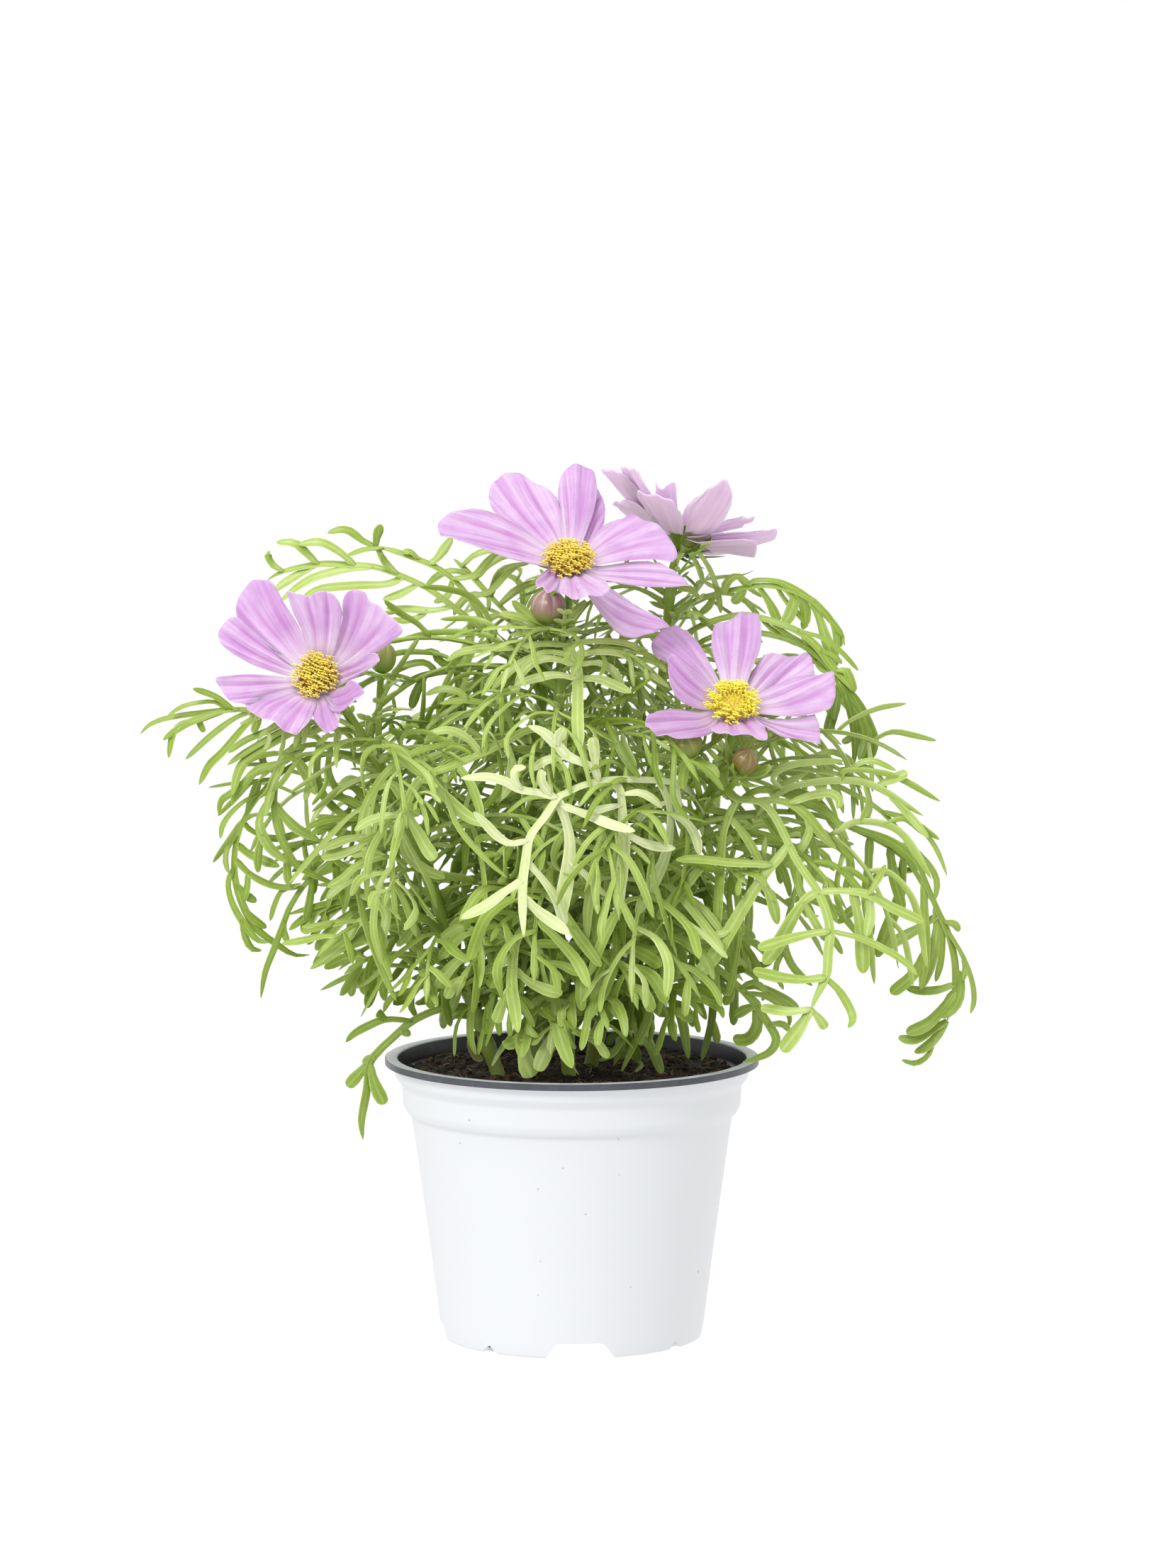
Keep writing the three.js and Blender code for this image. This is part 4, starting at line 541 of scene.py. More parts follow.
               (3.4, (1030, 1382), (1030, 1402), (1022, 1418)),
               (2.8, (985, 1345), (975, 1370), (982, 1392)),
               (2.8, (975, 1340), (1000, 1335), (1030, 1345), (1055, 1365)),
               (2.4, (1040, 1392), (1062, 1385), (1078, 1395), (1076, 1412))]},
    {"stem": "right", "from": 131, "depth": -32, "width": 2.8, "tone": 0.46,
     "rib": [(926, 1315), (945, 1320), (960, 1338), (966, 1365)],
     "lobes": [(3.2, (930, 1316), (924, 1338), (928, 1366)),
               (3.8, (943, 1319), (948, 1346), (950, 1386)),
               (2.6, (955, 1330), (962, 1352), (958, 1376)),
               (2.4, (935, 1316), (955, 1308), (975, 1316))]},
    {"stem": "right", "from": 172, "depth": -77, "width": 3.4, "tone": 0.88,
     "rib": [(975, 1118), (950, 1104), (905, 1100), (861, 1100), (825, 1107), (800, 1118), (786, 1126),
             (770, 1150), (748, 1180), (742, 1210), (738, 1240), (737, 1275), (739, 1322)],
     "lobes": [(3.2, (786, 1126), (760, 1118), (735, 1114), (712, 1102), (685, 1096), (650, 1098)),
               (2.6, (735, 1114), (726, 1100), (728, 1085), (742, 1082)),
               (2.8, (778, 1122), (765, 1105), (763, 1085)),
               (4.4, (790, 1130), (800, 1165), (804, 1195), (800, 1235), (794, 1270), (791, 1299)),
               (3.0, (804, 1210), (822, 1230), (842, 1252), (856, 1264)),
               (3.4, (792, 1133), (830, 1150), (862, 1163), (896, 1173)),
               (2.8, (748, 1182), (720, 1190), (700, 1178), (683, 1160), (668, 1145)),
               (3.8, (742, 1210), (765, 1240), (785, 1270), (798, 1305)),
               (3.4, (738, 1240), (712, 1258), (685, 1278), (650, 1296)),
               (3.4, (738, 1262), (760, 1286), (785, 1304), (803, 1318)),
               (4.0, (861, 1100), (873, 1112), (877, 1130), (879, 1160), (881, 1190), (878, 1225),
                (874, 1255), (872, 1284)),
               (2.8, (877, 1133), (850, 1141), (822, 1149)),
               (2.6, (877, 1120), (902, 1118), (922, 1128), (934, 1140)),
               (3.4, (880, 1176), (905, 1188), (930, 1195), (953, 1197)),
               (4.2, (925, 1101), (938, 1118), (945, 1145), (944, 1180), (936, 1215), (918, 1252),
                (898, 1290)),
               (2.6, (942, 1130), (915, 1141), (894, 1167)),
               (2.8, (945, 1146), (968, 1160), (982, 1182), (987, 1206)),
               (3.0, (950, 1104), (955, 1125), (956, 1148)),
               (3.2, (850, 1101), (838, 1084), (820, 1075), (800, 1066), (783, 1048), (765, 1032),
                (745, 1024)),
               (3.0, (800, 1066), (772, 1072), (750, 1086)),
               (3.4, (788, 1054), (788, 1042), (796, 1027)),
               (3.6, (840, 1086), (839, 1066), (836, 1040))]},
    {"stem": "right", "from": 185, "depth": -64, "width": 3.2, "tone": 0.58,
     "rib": [(1022, 1106), (1038, 1126), (1060, 1129), (1078, 1134), (1095, 1155), (1110, 1185),
             (1122, 1210), (1138, 1235), (1152, 1255), (1165, 1285), (1171, 1315), (1168, 1345),
             (1166, 1375), (1152, 1405), (1144, 1424)],
     "lobes": [(5.2, (1144, 1423), (1128, 1450), (1103, 1483)),
               (3.4, (1043, 1127), (1030, 1146), (1020, 1180), (1017, 1215), (1014, 1260), (1011, 1310),
                (1006, 1346)),
               (4.2, (1018, 1204), (992, 1222), (962, 1255), (928, 1297)),
               (2.8, (1030, 1150), (1055, 1185), (1075, 1222)),
               (4.6, (1111, 1188), (1100, 1208), (1076, 1238), (1050, 1278), (1028, 1315), (1005, 1352),
                (971, 1388)),
               (3.2, (1088, 1222), (1030, 1217), (985, 1212), (953, 1213)),
               (3.2, (1030, 1312), (1010, 1320), (992, 1319), (974, 1315)),
               (3.2, (1076, 1238), (1088, 1268), (1097, 1304)),
               (4.4, (1152, 1255), (1135, 1270), (1115, 1300), (1096, 1335), (1077, 1360)),
               (2.4, (1134, 1272), (1148, 1298), (1165, 1328)),
               (3.6, (1152, 1254), (1190, 1257), (1225, 1262), (1262, 1282), (1304, 1301)),
               (2.6, (1222, 1261), (1238, 1242), (1250, 1220)),
               (4.2, (1205, 1259), (1212, 1300), (1216, 1335), (1218, 1373)),
               (3.2, (1224, 1262), (1228, 1290), (1222, 1322)),
               (3.6, (1170, 1316), (1140, 1318), (1108, 1326), (1069, 1338)),
               (2.2, (1171, 1314), (1215, 1324), (1255, 1343), (1280, 1360), (1294, 1376)),
               (4.2, (1165, 1375), (1132, 1382), (1098, 1378), (1062, 1370)),
               (2.6, (1167, 1376), (1184, 1398), (1200, 1425), (1203, 1440), (1197, 1450)),
               (3.8, (1144, 1423), (1110, 1427), (1073, 1421)),
               (3.8, (1145, 1424), (1156, 1438), (1165, 1451)),
               (3.0, (1065, 1130), (1090, 1129), (1115, 1134), (1138, 1150), (1160, 1178),
                (1180, 1198)),
               (3.2, (1115, 1134), (1145, 1122), (1172, 1119), (1184, 1130), (1181, 1141)),
               (2.6, (1137, 1149), (1142, 1172), (1128, 1200), (1115, 1212))]},
    {"stem": "right", "from": 189, "depth": -30, "width": 2.6, "tone": 0.58,
     "rib": [(1060, 1083), (1100, 1083), (1150, 1087), (1195, 1095), (1235, 1108), (1270, 1135),
             (1300, 1168), (1322, 1200), (1336, 1235)],
     "lobes": [(2.2, (1180, 1092), (1200, 1085), (1217, 1075), (1235, 1074), (1264, 1087)),
               (2.0, (1195, 1094), (1215, 1081), (1235, 1089), (1251, 1112)),
               (3.6, (1240, 1111), (1262, 1098), (1280, 1090)),
               (2.0, (1120, 1084), (1138, 1069), (1160, 1068), (1190, 1079)),
               (3.4, (1222, 1103), (1226, 1135), (1215, 1163)),
               (2.4, (1255, 1122), (1282, 1150), (1310, 1182)),
               (3.0, (1150, 1087), (1160, 1105), (1155, 1130)),
               (2.2, (1140, 1086), (1118, 1100), (1090, 1112))]},
    {"stem": "right", "from": 184, "depth": -18, "width": 2.8, "tone": 0.46,
     "rib": [(1050, 1092), (1095, 1088), (1150, 1096), (1200, 1118), (1240, 1142), (1268, 1172),
             (1290, 1207), (1306, 1245), (1322, 1283), (1337, 1315), (1346, 1350), (1348, 1380),
             (1346, 1410), (1336, 1440)],
     "lobes": [(2.4, (1244, 1145), (1280, 1156), (1312, 1182)),
               (2.0, (1282, 1195), (1305, 1213), (1321, 1240), (1320, 1268)),
               (2.4, (1330, 1302), (1347, 1304), (1353, 1314)),
               (2.0, (1337, 1315), (1356, 1345), (1370, 1380), (1374, 1410), (1369, 1430)),
               (2.0, (1356, 1346), (1362, 1365), (1358, 1383)),
               (3.2, (1347, 1365), (1356, 1385), (1352, 1412), (1338, 1430), (1325, 1436)),
               (3.2, (1347, 1388), (1325, 1396), (1300, 1398), (1277, 1393)),
               (4.4, (1347, 1398), (1328, 1425), (1308, 1445), (1279, 1458)),
               (4.0, (1337, 1438), (1312, 1455), (1290, 1466), (1268, 1466)),
               (3.2, (1336, 1440), (1322, 1462), (1305, 1478), (1290, 1485)),
               (2.2, (1318, 1465), (1310, 1488), (1292, 1500), (1272, 1496)),
               (3.4, (1318, 1275), (1322, 1310), (1314, 1355), (1298, 1397)),
               (3.0, (1305, 1245), (1304, 1290), (1306, 1340), (1299, 1395)),
               (4.4, (1304, 1345), (1288, 1375), (1257, 1402)),
               (4.0, (1325, 1292), (1295, 1310), (1268, 1325), (1252, 1338)),
               (2.2, (1330, 1302), (1328, 1350), (1320, 1385))]},
    {"stem": "right", "from": 172, "depth": 4, "width": 2.8, "tone": 0.42,
     "rib": [(1040, 1148), (1080, 1145), (1120, 1146), (1160, 1152), (1205, 1170), (1250, 1192),
             (1280, 1215), (1300, 1245), (1316, 1275)],
     "lobes": [(3.0, (1200, 1168), (1240, 1180), (1275, 1200), (1300, 1230)),
               (3.4, (1230, 1182), (1225, 1220), (1222, 1270), (1228, 1310), (1222, 1330)),
               (3.4, (1258, 1197), (1262, 1240), (1275, 1285)),
               (4.2, (1275, 1212), (1270, 1260), (1252, 1310), (1237, 1350)),
               (3.0, (1170, 1155), (1190, 1185), (1200, 1225), (1190, 1260)),
               (3.0, (1198, 1232), (1208, 1275), (1195, 1290), (1182, 1303)),
               (3.0, (1120, 1146), (1140, 1175), (1150, 1205), (1148, 1240)),
               (2.8, (1110, 1146), (1125, 1130), (1150, 1135), (1175, 1150)),
               (2.8, (1290, 1230), (1270, 1228), (1245, 1232), (1225, 1245)),
               (2.8, (1250, 1192), (1280, 1195), (1300, 1212), (1306, 1232))]},
    {"stem": "back", "from": 229, "depth": 30, "width": 2.6, "tone": 0.46,
     "rib": [(980, 850), (1010, 838), (1045, 830), (1080, 826), (1115, 832), (1145, 846), (1165, 866),
             (1182, 888), (1192, 910)],
     "lobes": [(3.2, (1050, 829), (1042, 842), (1033, 851)),
               (2.8, (1062, 828), (1042, 813), (1026, 821), (1021, 840)),
               (2.4, (1048, 829), (1065, 819), (1095, 820), (1122, 832), (1150, 852), (1172, 875),
                (1188, 898)),
               (4.0, (1073, 827), (1085, 850), (1098, 877)),
               (4.0, (1105, 829), (1120, 843), (1115, 865), (1106, 880)),
               (3.4, (1120, 833), (1132, 846), (1137, 870), (1132, 888)),
               (2.2, (1095, 828), (1110, 850), (1125, 865), (1140, 884)),
               (3.6, (1145, 846), (1155, 870), (1165, 900), (1180, 940)),
               (2.4, (1150, 850), (1170, 870), (1180, 900), (1178, 935)),
               (2.2, (1165, 866), (1183, 890), (1188, 905), (1185, 913)),
               (2.6, (1010, 838), (1000, 855), (985, 868)),
               (2.6, (990, 846), (975, 832), (955, 830))]},
    {"stem": "back", "from": 219, "depth": 10, "width": 3.0, "tone": 0.44,
     "rib": [(990, 882), (1040, 868), (1070, 871), (1100, 880), (1130, 893), (1155, 915), (1172, 938),
             (1190, 958), (1203, 975)],
     "lobes": [(2.2, (1125, 890), (1160, 900), (1185, 918), (1211, 946)),
               (2.8, (1130, 893), (1145, 915), (1158, 940), (1168, 950)),
               (2.8, (1085, 876), (1110, 895), (1135, 910), (1150, 930)),
               (2.4, (1070, 872), (1095, 893), (1130, 912)),
               (3.0, (1180, 946), (1194, 946), (1200, 962), (1206, 976)),
               (2.8, (1000, 879), (985, 868), (965, 866)),
               (2.4, (1160, 920), (1175, 924), (1188, 936))]},
    {"stem": "back", "from": 212, "depth": 4, "width": 3.0, "tone": 0.2,
     "rib": [(1000, 900), (1060, 892), (1120, 905), (1160, 930), (1183, 960), (1196, 990), (1204, 1025),
             (1206, 1060), (1202, 1085)],
     "lobes": [(4.8, (1184, 962), (1205, 985), (1222, 1018), (1229, 1045), (1222, 1073)),
               (3.2, (1192, 980), (1212, 1012), (1219, 1045), (1212, 1072)),
               (3.0, (1182, 958), (1181, 988), (1176, 1016)),
               (3.4, (1181, 985), (1174, 1010), (1165, 1040)),
               (3.0, (1204, 1025), (1213, 1050), (1222, 1073)),
               (2.4, (1204, 1030), (1198, 1042), (1188, 1048)),
               (2.8, (1120, 905), (1140, 912), (1165, 935), (1180, 950))]},
    {"stem": "back", "from": 246, "depth": 34, "width": 2.4, "tone": 0.6,
     "rib": [(962, 780), (978, 775), (992, 788), (1005, 812), (1013, 838), (1017, 865)],
     "lobes": [(2.2, (985, 781), (1000, 800), (1012, 828)),
               (2.6, (970, 777), (985, 800), (992, 822))]},
    {"stem": "front", "from": 222, "depth": -42, "width": 4.6, "tone": 0.66,
     "rib": [(800, 908), (806, 925), (812, 940), (815, 960), (815, 990), (815, 1020), (818, 1058)],
     "lobes": [(3.0, (800, 910), (770, 908), (740, 911), (690, 914), (650, 920), (630, 933)),
               (2.8, (801, 910), (830, 905), (865, 905), (895, 912), (920, 930), (937, 948)),
               (2.8, (806, 923), (840, 920), (875, 922), (905, 938), (925, 955), (944, 970)),
               (2.6, (806, 922), (770, 920), (735, 935), (710, 955), (692, 975)),
               (2.8, (812, 938), (785, 930), (760, 931), (740, 945), (727, 967)),
               (2.6, (813, 938), (845, 935), (868, 950), (878, 975), (878, 998)),
               (3.0, (815, 957), (785, 952), (755, 957), (725, 967)),
               (3.0, (815, 957), (845, 958), (870, 968), (891, 977))]},
    {"stem": "middle", "from": 208, "depth": -2, "width": 3.0, "tone": 0.3,
     "rib": [(730, 945), (690, 940), (650, 945), (610, 950), (580, 960), (558, 978)],
     "lobes": [(3.4, (645, 945), (648, 970), (645, 995), (640, 1018)),
               (2.6, (655, 944), (622, 934), (613, 920), (597, 919)),
               (3.0, (600, 953), (588, 975), (580, 1000)),
               (2.8, (680, 941), (672, 962), (675, 988)),
               (2.8, (620, 949), (600, 935), (575, 938), (552, 950)),
               (2.8, (700, 941), (705, 962), (698, 990))]},
    {"stem": "middle", "from": 197, "depth": -20, "width": 2.8, "tone": 0.55,
     "rib": [(742, 1006), (712, 998), (680, 991), (650, 988), (620, 993)],
     "lobes": [(3.0, (735, 1004), (712, 1012), (692, 1018), (675, 1028)),
               (2.8, (700, 995), (712, 978), (735, 970)),
               (2.8, (680, 991), (665, 1005), (640, 1012), (612, 1030)),
               (2.6, (662, 989), (645, 975), (622, 972), (600, 980))]},
]

# Withered strands low on the stems, placed the same way.
SCRAPS = [
    {"stem": "left", "from": 100, "depth": -16, "tone": 0.6, "brown": 0.75,
     "widths": (0.5, 0.8, 1.7, 0.3),
     "line": [(684, 1462), (668, 1458), (664, 1474), (672, 1490), (681, 1497)]},
    {"stem": "right", "from": 92, "depth": -14, "tone": 0.5, "brown": 0.4,
     "widths": (0.9, 0.9, 0.8, 0.3),
     "line": [(868, 1483), (885, 1489), (898, 1495), (905, 1503), (896, 1512)]},
]

# Ways that a leaf divides, drawn flat: across the page is the way along the rib,
# up and down the way to its sides, both as shares of the rib's length. A lobe
# starts with its share of the width; forks start on a lobe's line.
LEAF_SHAPES = [
    [(1.0, (0.2, 0), (0.25, 0.09), (0.33, 0.19), (0.46, 0.28), (0.6, 0.32)),
     (0.9, (0.29, 0.15), (0.27, 0.24), (0.32, 0.34), (0.41, 0.41)),
     (0.8, (0.42, 0.26), (0.42, 0.33), (0.49, 0.41), (0.58, 0.45)),
     (1.0, (0.25, 0), (0.29, -0.1), (0.39, -0.2), (0.54, -0.27), (0.68, -0.28)),
     (0.9, (0.36, -0.18), (0.36, -0.27), (0.42, -0.36), (0.5, -0.4)),
     (1.0, (0.45, 0), (0.5, 0.1), (0.61, 0.19), (0.77, 0.25)),
     (0.8, (0.57, 0.16), (0.59, 0.25), (0.67, 0.33)),
     (1.0, (0.51, 0), (0.56, -0.09), (0.68, -0.18), (0.83, -0.22)),
     (1.0, (0.67, 0), (0.73, 0.08), (0.84, 0.15), (0.98, 0.18)),
     (0.9, (0.73, 0), (0.79, -0.08), (0.91, -0.13), (1.05, -0.13)),
     (0.8, (0.83, -0.1), (0.86, -0.17), (0.95, -0.22)),
     (0.9, (0.86, 0), (0.93, 0.06), (1.04, 0.08))],
    [(1.0, (0.24, 0), (0.26, 0.11), (0.33, 0.22), (0.44, 0.31), (0.57, 0.38)),
     (0.8, (0.35, 0.24), (0.43, 0.24), (0.53, 0.28)),
     (1.0, (0.3, 0), (0.36, -0.09), (0.43, -0.21), (0.44, -0.34), (0.41, -0.44)),
     (0.9, (0.43, -0.21), (0.51, -0.27), (0.6, -0.37)),
     (0.8, (0.44, -0.33), (0.5, -0.4), (0.53, -0.48)),
     (1.0, (0.5, 0), (0.58, 0.08), (0.68, 0.18), (0.74, 0.3)),
     (0.8, (0.68, 0.18), (0.78, 0.2), (0.88, 0.25)),
     (1.0, (0.57, 0), (0.65, -0.07), (0.76, -0.16), (0.84, -0.27)),
     (0.8, (0.72, -0.13), (0.82, -0.14), (0.92, -0.19)),
     (1.0, (0.74, 0), (0.82, 0.08), (0.91, 0.16)),
     (1.0, (0.8, 0), (0.88, -0.07), (0.99, -0.12), (1.06, -0.17))],
    [(1.0, (0.18, 0), (0.2, -0.12), (0.27, -0.23), (0.38, -0.3)),
     (1.0, (0.28, 0), (0.36, 0.08), (0.48, 0.17), (0.62, 0.21), (0.75, 0.2)),
     (0.9, (0.4, 0.12), (0.4, 0.22), (0.45, 0.31), (0.54, 0.37)),
     (0.8, (0.53, 0.19), (0.58, 0.27), (0.67, 0.31)),
     (1.0, (0.38, 0), (0.46, -0.1), (0.55, -0.21), (0.59, -0.33), (0.58, -0.42)),
     (0.9, (0.51, -0.16), (0.61, -0.2), (0.72, -0.26)),
     (0.8, (0.59, -0.31), (0.66, -0.36), (0.72, -0.43)),
     (1.0, (0.6, 0), (0.69, 0.07), (0.81, 0.12), (0.94, 0.12)),
     (1.0, (0.66, 0), (0.75, -0.07), (0.86, -0.15), (0.96, -0.2)),
     (0.9, (0.8, 0), (0.89, 0.06), (1.0, 0.1), (1.1, 0.09)),
     (0.9, (0.88, 0), (0.96, -0.05), (1.05, -0.09))],
]

# Rows of LEAVES that leaves of PICTURED stand in for.
PICTURED_ROWS = (*range(10), 14, 17, 19, 31, 33)


def vec(*xyz):
    return np.array(xyz, float)


def unit(v):
    return v / max(1e-9, float(np.linalg.norm(v)))


def lerp(a, b, t):
    return a + (b - a) * t


def smooth(x, low, high):
    t = np.clip((x - low) / (high - low), 0, 1)
    return t * t * (3 - 2 * t)


def compass(degrees):
    """The level direction at an angle that is counted from +X towards +Y."""
    a = math.radians(degrees)
    return vec(math.cos(a), math.sin(a), 0)


def turned(v, axis, degrees):
    """v turned about a unit axis."""
    a = math.radians(degrees)
    c, s = math.cos(a), math.sin(a)
    return v * c + np.cross(axis, v) * s + axis * float(axis @ v) * (1 - c)


def seeded(seed):
    """The same small generator as in the solids' source."""
    mask = 0xFFFFFFFF
    state = [seed & mask]

    def draw():
        state[0] = (state[0] + 0x6D2B79F5) & mask
        t = state[0]
        t = ((t ^ (t >> 15)) * (t | 1)) & mask
        t ^= (t + (((t ^ (t >> 7)) * (t | 61)) & mask)) & mask
        return ((t ^ (t >> 14)) & mask) / 4294967296

    return draw


def either_way(draw, amount):
    return (draw() * 2 - 1) * amount


def seen(across, down, depth):
    """The point at a depth along Y that shows at a place of the picture."""
    right = (across - VIEW_MIDDLE[0]) / VIEW_FOCUS
    raised = (VIEW_MIDDLE[1] - down) / VIEW_FOCUS
    c, s = math.cos(VIEW_PITCH), math.sin(VIEW_PITCH)
    ray = vec(right, c + raised * s, raised * c - s)
    return vec(*VIEW_FROM) + ray * (depth - VIEW_FROM[1]) / ray[1]


def shown(point):
    """Where a point shows in the picture."""
    x, y, z = point - vec(*VIEW_FROM)
    c, s = math.cos(VIEW_PITCH), math.sin(VIEW_PITCH)
    ahead = y * c - z * s
    return (VIEW_MIDDLE[0] + VIEW_FOCUS * x / ahead,
            VIEW_MIDDLE[1] - VIEW_FOCUS * (y * s + z * c) / ahead)


def linked(name, data):
    """A new object of the scene."""
    obj = bpy.data.objects.new(name, data)
    bpy.context.scene.collection.objects.link(obj)
    return obj


class Soup:
    """Vertices, faces and per-vertex values of a piece while it is built."""

    def __init__(self, *values):
        self.points = []
        self.faces = []
        self.values = {name: [] for name in values}
        self.count = 0

    def add(self, points, faces, **values):
        points = np.asarray(points, float)
        start = self.count
        self.points.append(points)
        self.count += len(points)
        self.faces.extend([tuple(start + i for i in face) for face in faces])
        for name, store in self.values.items():
            given = np.asarray(values.get(name, 0.0), float)
            store.append(np.broadcast_to(given, (len(points),)).copy())

    def all_points(self):
        return np.concatenate(self.points)

    def piece(self, name, material, slot, replaced=(), crisp=None):
        """A visible piece; edges sharper than crisp degrees stay sharp."""
        mesh = bpy.data.meshes.new(name)
        mesh.from_pydata((self.all_points() * MM).tolist(), [], self.faces)
        mesh.validate()
        for value, store in self.values.items():
            layer = mesh.attributes.new(value, "FLOAT", "POINT")
            layer.data.foreach_set("value", np.concatenate(store).astype(np.float32))
        mesh.shade_smooth()
        if crisp:
            mesh.set_sharp_from_angle(angle=math.radians(crisp))
        obj = linked(name, mesh)
        mesh.materials.append(material)
        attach(obj, "root")
        if replaced:
            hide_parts(*replaced)
        return obj


def ring_faces(rings, sides):
    """Quads between rings of points, and a cap at each end."""
    faces = []
    for r in range(rings - 1):
        for k in range(sides):
            a = r * sides + k
            b = r * sides + (k + 1) % sides
            faces.append((a, b, b + sides, a + sides))
    faces.append(tuple(range(sides))[::-1])
    faces.append(tuple(range((rings - 1) * sides, rings * sides)))
    return faces


# Curves.

def catmull(points):
    """A uniform Catmull-Rom curve of tension one half through the points."""
    p = np.array(points, float)
    ends = np.vstack([2 * p[0] - p[1], p, 2 * p[-1] - p[-2]])

    def at(t):
        place = min(max(t, 0.0), 1.0) * (len(p) - 1)
        i = min(int(place), len(p) - 2)
        w = place - i
        a, b, c, d = ends[i:i + 4]
        leave, arrive = 0.5 * (c - a), 0.5 * (d - b)
        return (b + leave * w + (3 * (c - b) - 2 * leave - arrive) * w * w
                + (2 * (b - c) + leave + arrive) * w ** 3)

    return at


def along_curve(points, shares):
    curve = catmull(points)
    return np.array([curve(t) for t in shares])


CURVES = {name: catmull(points) for name, points in STEMS.items()}


def share_at(curve, height):
    """Where on a rising curve a height is reached, by halving."""
    low, high = 0.0, 1.0
    for _ in range(30):
        middle = (low + high) / 2
        if curve(middle)[2] < height:
            low = middle
        else:
            high = middle
    return low


def quadratic(a, b, c):
    """A curve from a to c that is drawn towards b, and its direction."""
    def at(t):
        return a * (1 - t) ** 2 + b * 2 * t * (1 - t) + c * t * t

    def slope(t):
        return unit((b - a) * 2 * (1 - t) + (c - b) * 2 * t)

    return at, slope


# Green blades: a lobe or a rib is a grooved strip with a keel below. Each corner
# of the section is a share of the half width and of the thickness.

SECTION = np.array([(1, 0.05), (0.52, 0.5), (0, 0.08), (-0.52, 0.5), (-1, 0.05), (0, -0.6)])
SECTION_EDGE = np.array([1, 0.5, 0, 0.5, 1, 0.25])
BLADE_RIM = 90.0


def strip(soup, centres, upper, half_widths, thickness, **values):
    """A grooved strip along centres, whose upper face looks along upper."""
    centres = np.asarray(centres, float)
    n = len(centres)
    tangents = np.gradient(centres, axis=0)
    tangents /= np.maximum(1e-9, np.linalg.norm(tangents, axis=1))[:, None]
    side = np.cross(tangents, upper)
    side /= np.maximum(1e-9, np.linalg.norm(side, axis=1))[:, None]
    lift = np.cross(side, tangents)
    half = np.asarray(half_widths, float)[:, None, None]
    thick = np.asarray(thickness, float)[:, None, None]
    points = (centres[:, None, :]
              + side[:, None, :] * half * SECTION[None, :, 0, None]
              + lift[:, None, :] * thick * SECTION[None, :, 1, None])
    sides = len(SECTION)
    values["edge"] = np.tile(SECTION_EDGE, n)
    values["along"] = np.repeat(np.linspace(0, 1, n), sides)
    soup.add(points.reshape(-1, 3), ring_faces(n, sides), **values)


def tube(soup, centres, radii, sides, ribs=0.0, **values):
    """A round tube, with slight lengthwise ribs if asked."""
    centres = np.asarray(centres, float)
    n = len(centres)
    tangents = np.gradient(centres, axis=0)
    side = vec(1, 0, 0)
    rings = []
    angles = np.arange(sides) * 2 * math.pi / sides
    wave = 1 + ribs * np.cos(angles * (sides // 2))
    for i in range(n):
        tangent = unit(tangents[i])
        side = unit(side - tangent * float(side @ tangent))
        other = np.cross(tangent, side)
        ring = np.cos(angles)[:, None] * side + np.sin(angles)[:, None] * other
        rings.append(centres[i] + ring * (radii[i] * wave)[:, None])
    values.setdefault("along", np.repeat(np.linspace(0, 1, n), sides))
    soup.add(np.concatenate(rings), ring_faces(n, sides), **values)


# What leaves keep clear of. A flower's face is kept free up to FACE_HEIGHT
# before it and FACE_RADIUS from its middle.

FACE_START = 1.5
FACE_HEIGHT = 40.0
FACE_RADIUS = 24.0


def soil_height(x, y):
    """The soil's surface, as in the solids."""
    crumbs = math.sin(x * 0.31 + 1.3) * math.cos(y * 0.27 - 0.6)
    swell = math.sin(x * 0.13 - y * 0.19)
    mound = SOIL_MOUND * math.exp(-(x * x + y * y) / SOIL_MOUND_RADIUS ** 2)
    return SOIL_LEVEL + mound + SOIL_RIPPLE * (crumbs + swell)


class Room:
    """What leaves have to stay clear of."""

    def __init__(self):
        self.points = []
        self.faces = []
        self.tree = None
        self.blooms = []

    def add(self, points, faces):
        start = len(self.points)
        self.points.extend([tuple(p) for p in points])
        self.faces.extend([tuple(start + i for i in face) for face in faces])

    def near(self, point, distance):
        if self.tree is None:
            self.tree = BVHTree.FromPolygons(self.points, self.faces)
        return self.tree.find_nearest(Vector(point), distance)[0] is not None

    def before_bloom(self, point):
        """Whether a point lies over the face of a flower."""
        for origin, _, _, axis in self.blooms:
            away = point - origin
            height = float(away @ axis)
            beside = np.linalg.norm(away - axis * height)
            if FACE_START < height < FACE_HEIGHT and beside < FACE_RADIUS:
                return True
        return False

    def in_soil(self, point, distance):
        x, y, z = point
        return math.hypot(x, y) < RIM_INNER_RADIUS and z < soil_height(x, y) + distance

    def free(self, points, distance):
        return not any(self.in_soil(p, distance) or self.near(p, distance) or self.before_bloom(p)
                       for p in points)


room = Room()


# Leaves. The widths along a lobe, a branch and a rib are shares of its width at
# places from its root to its tip.

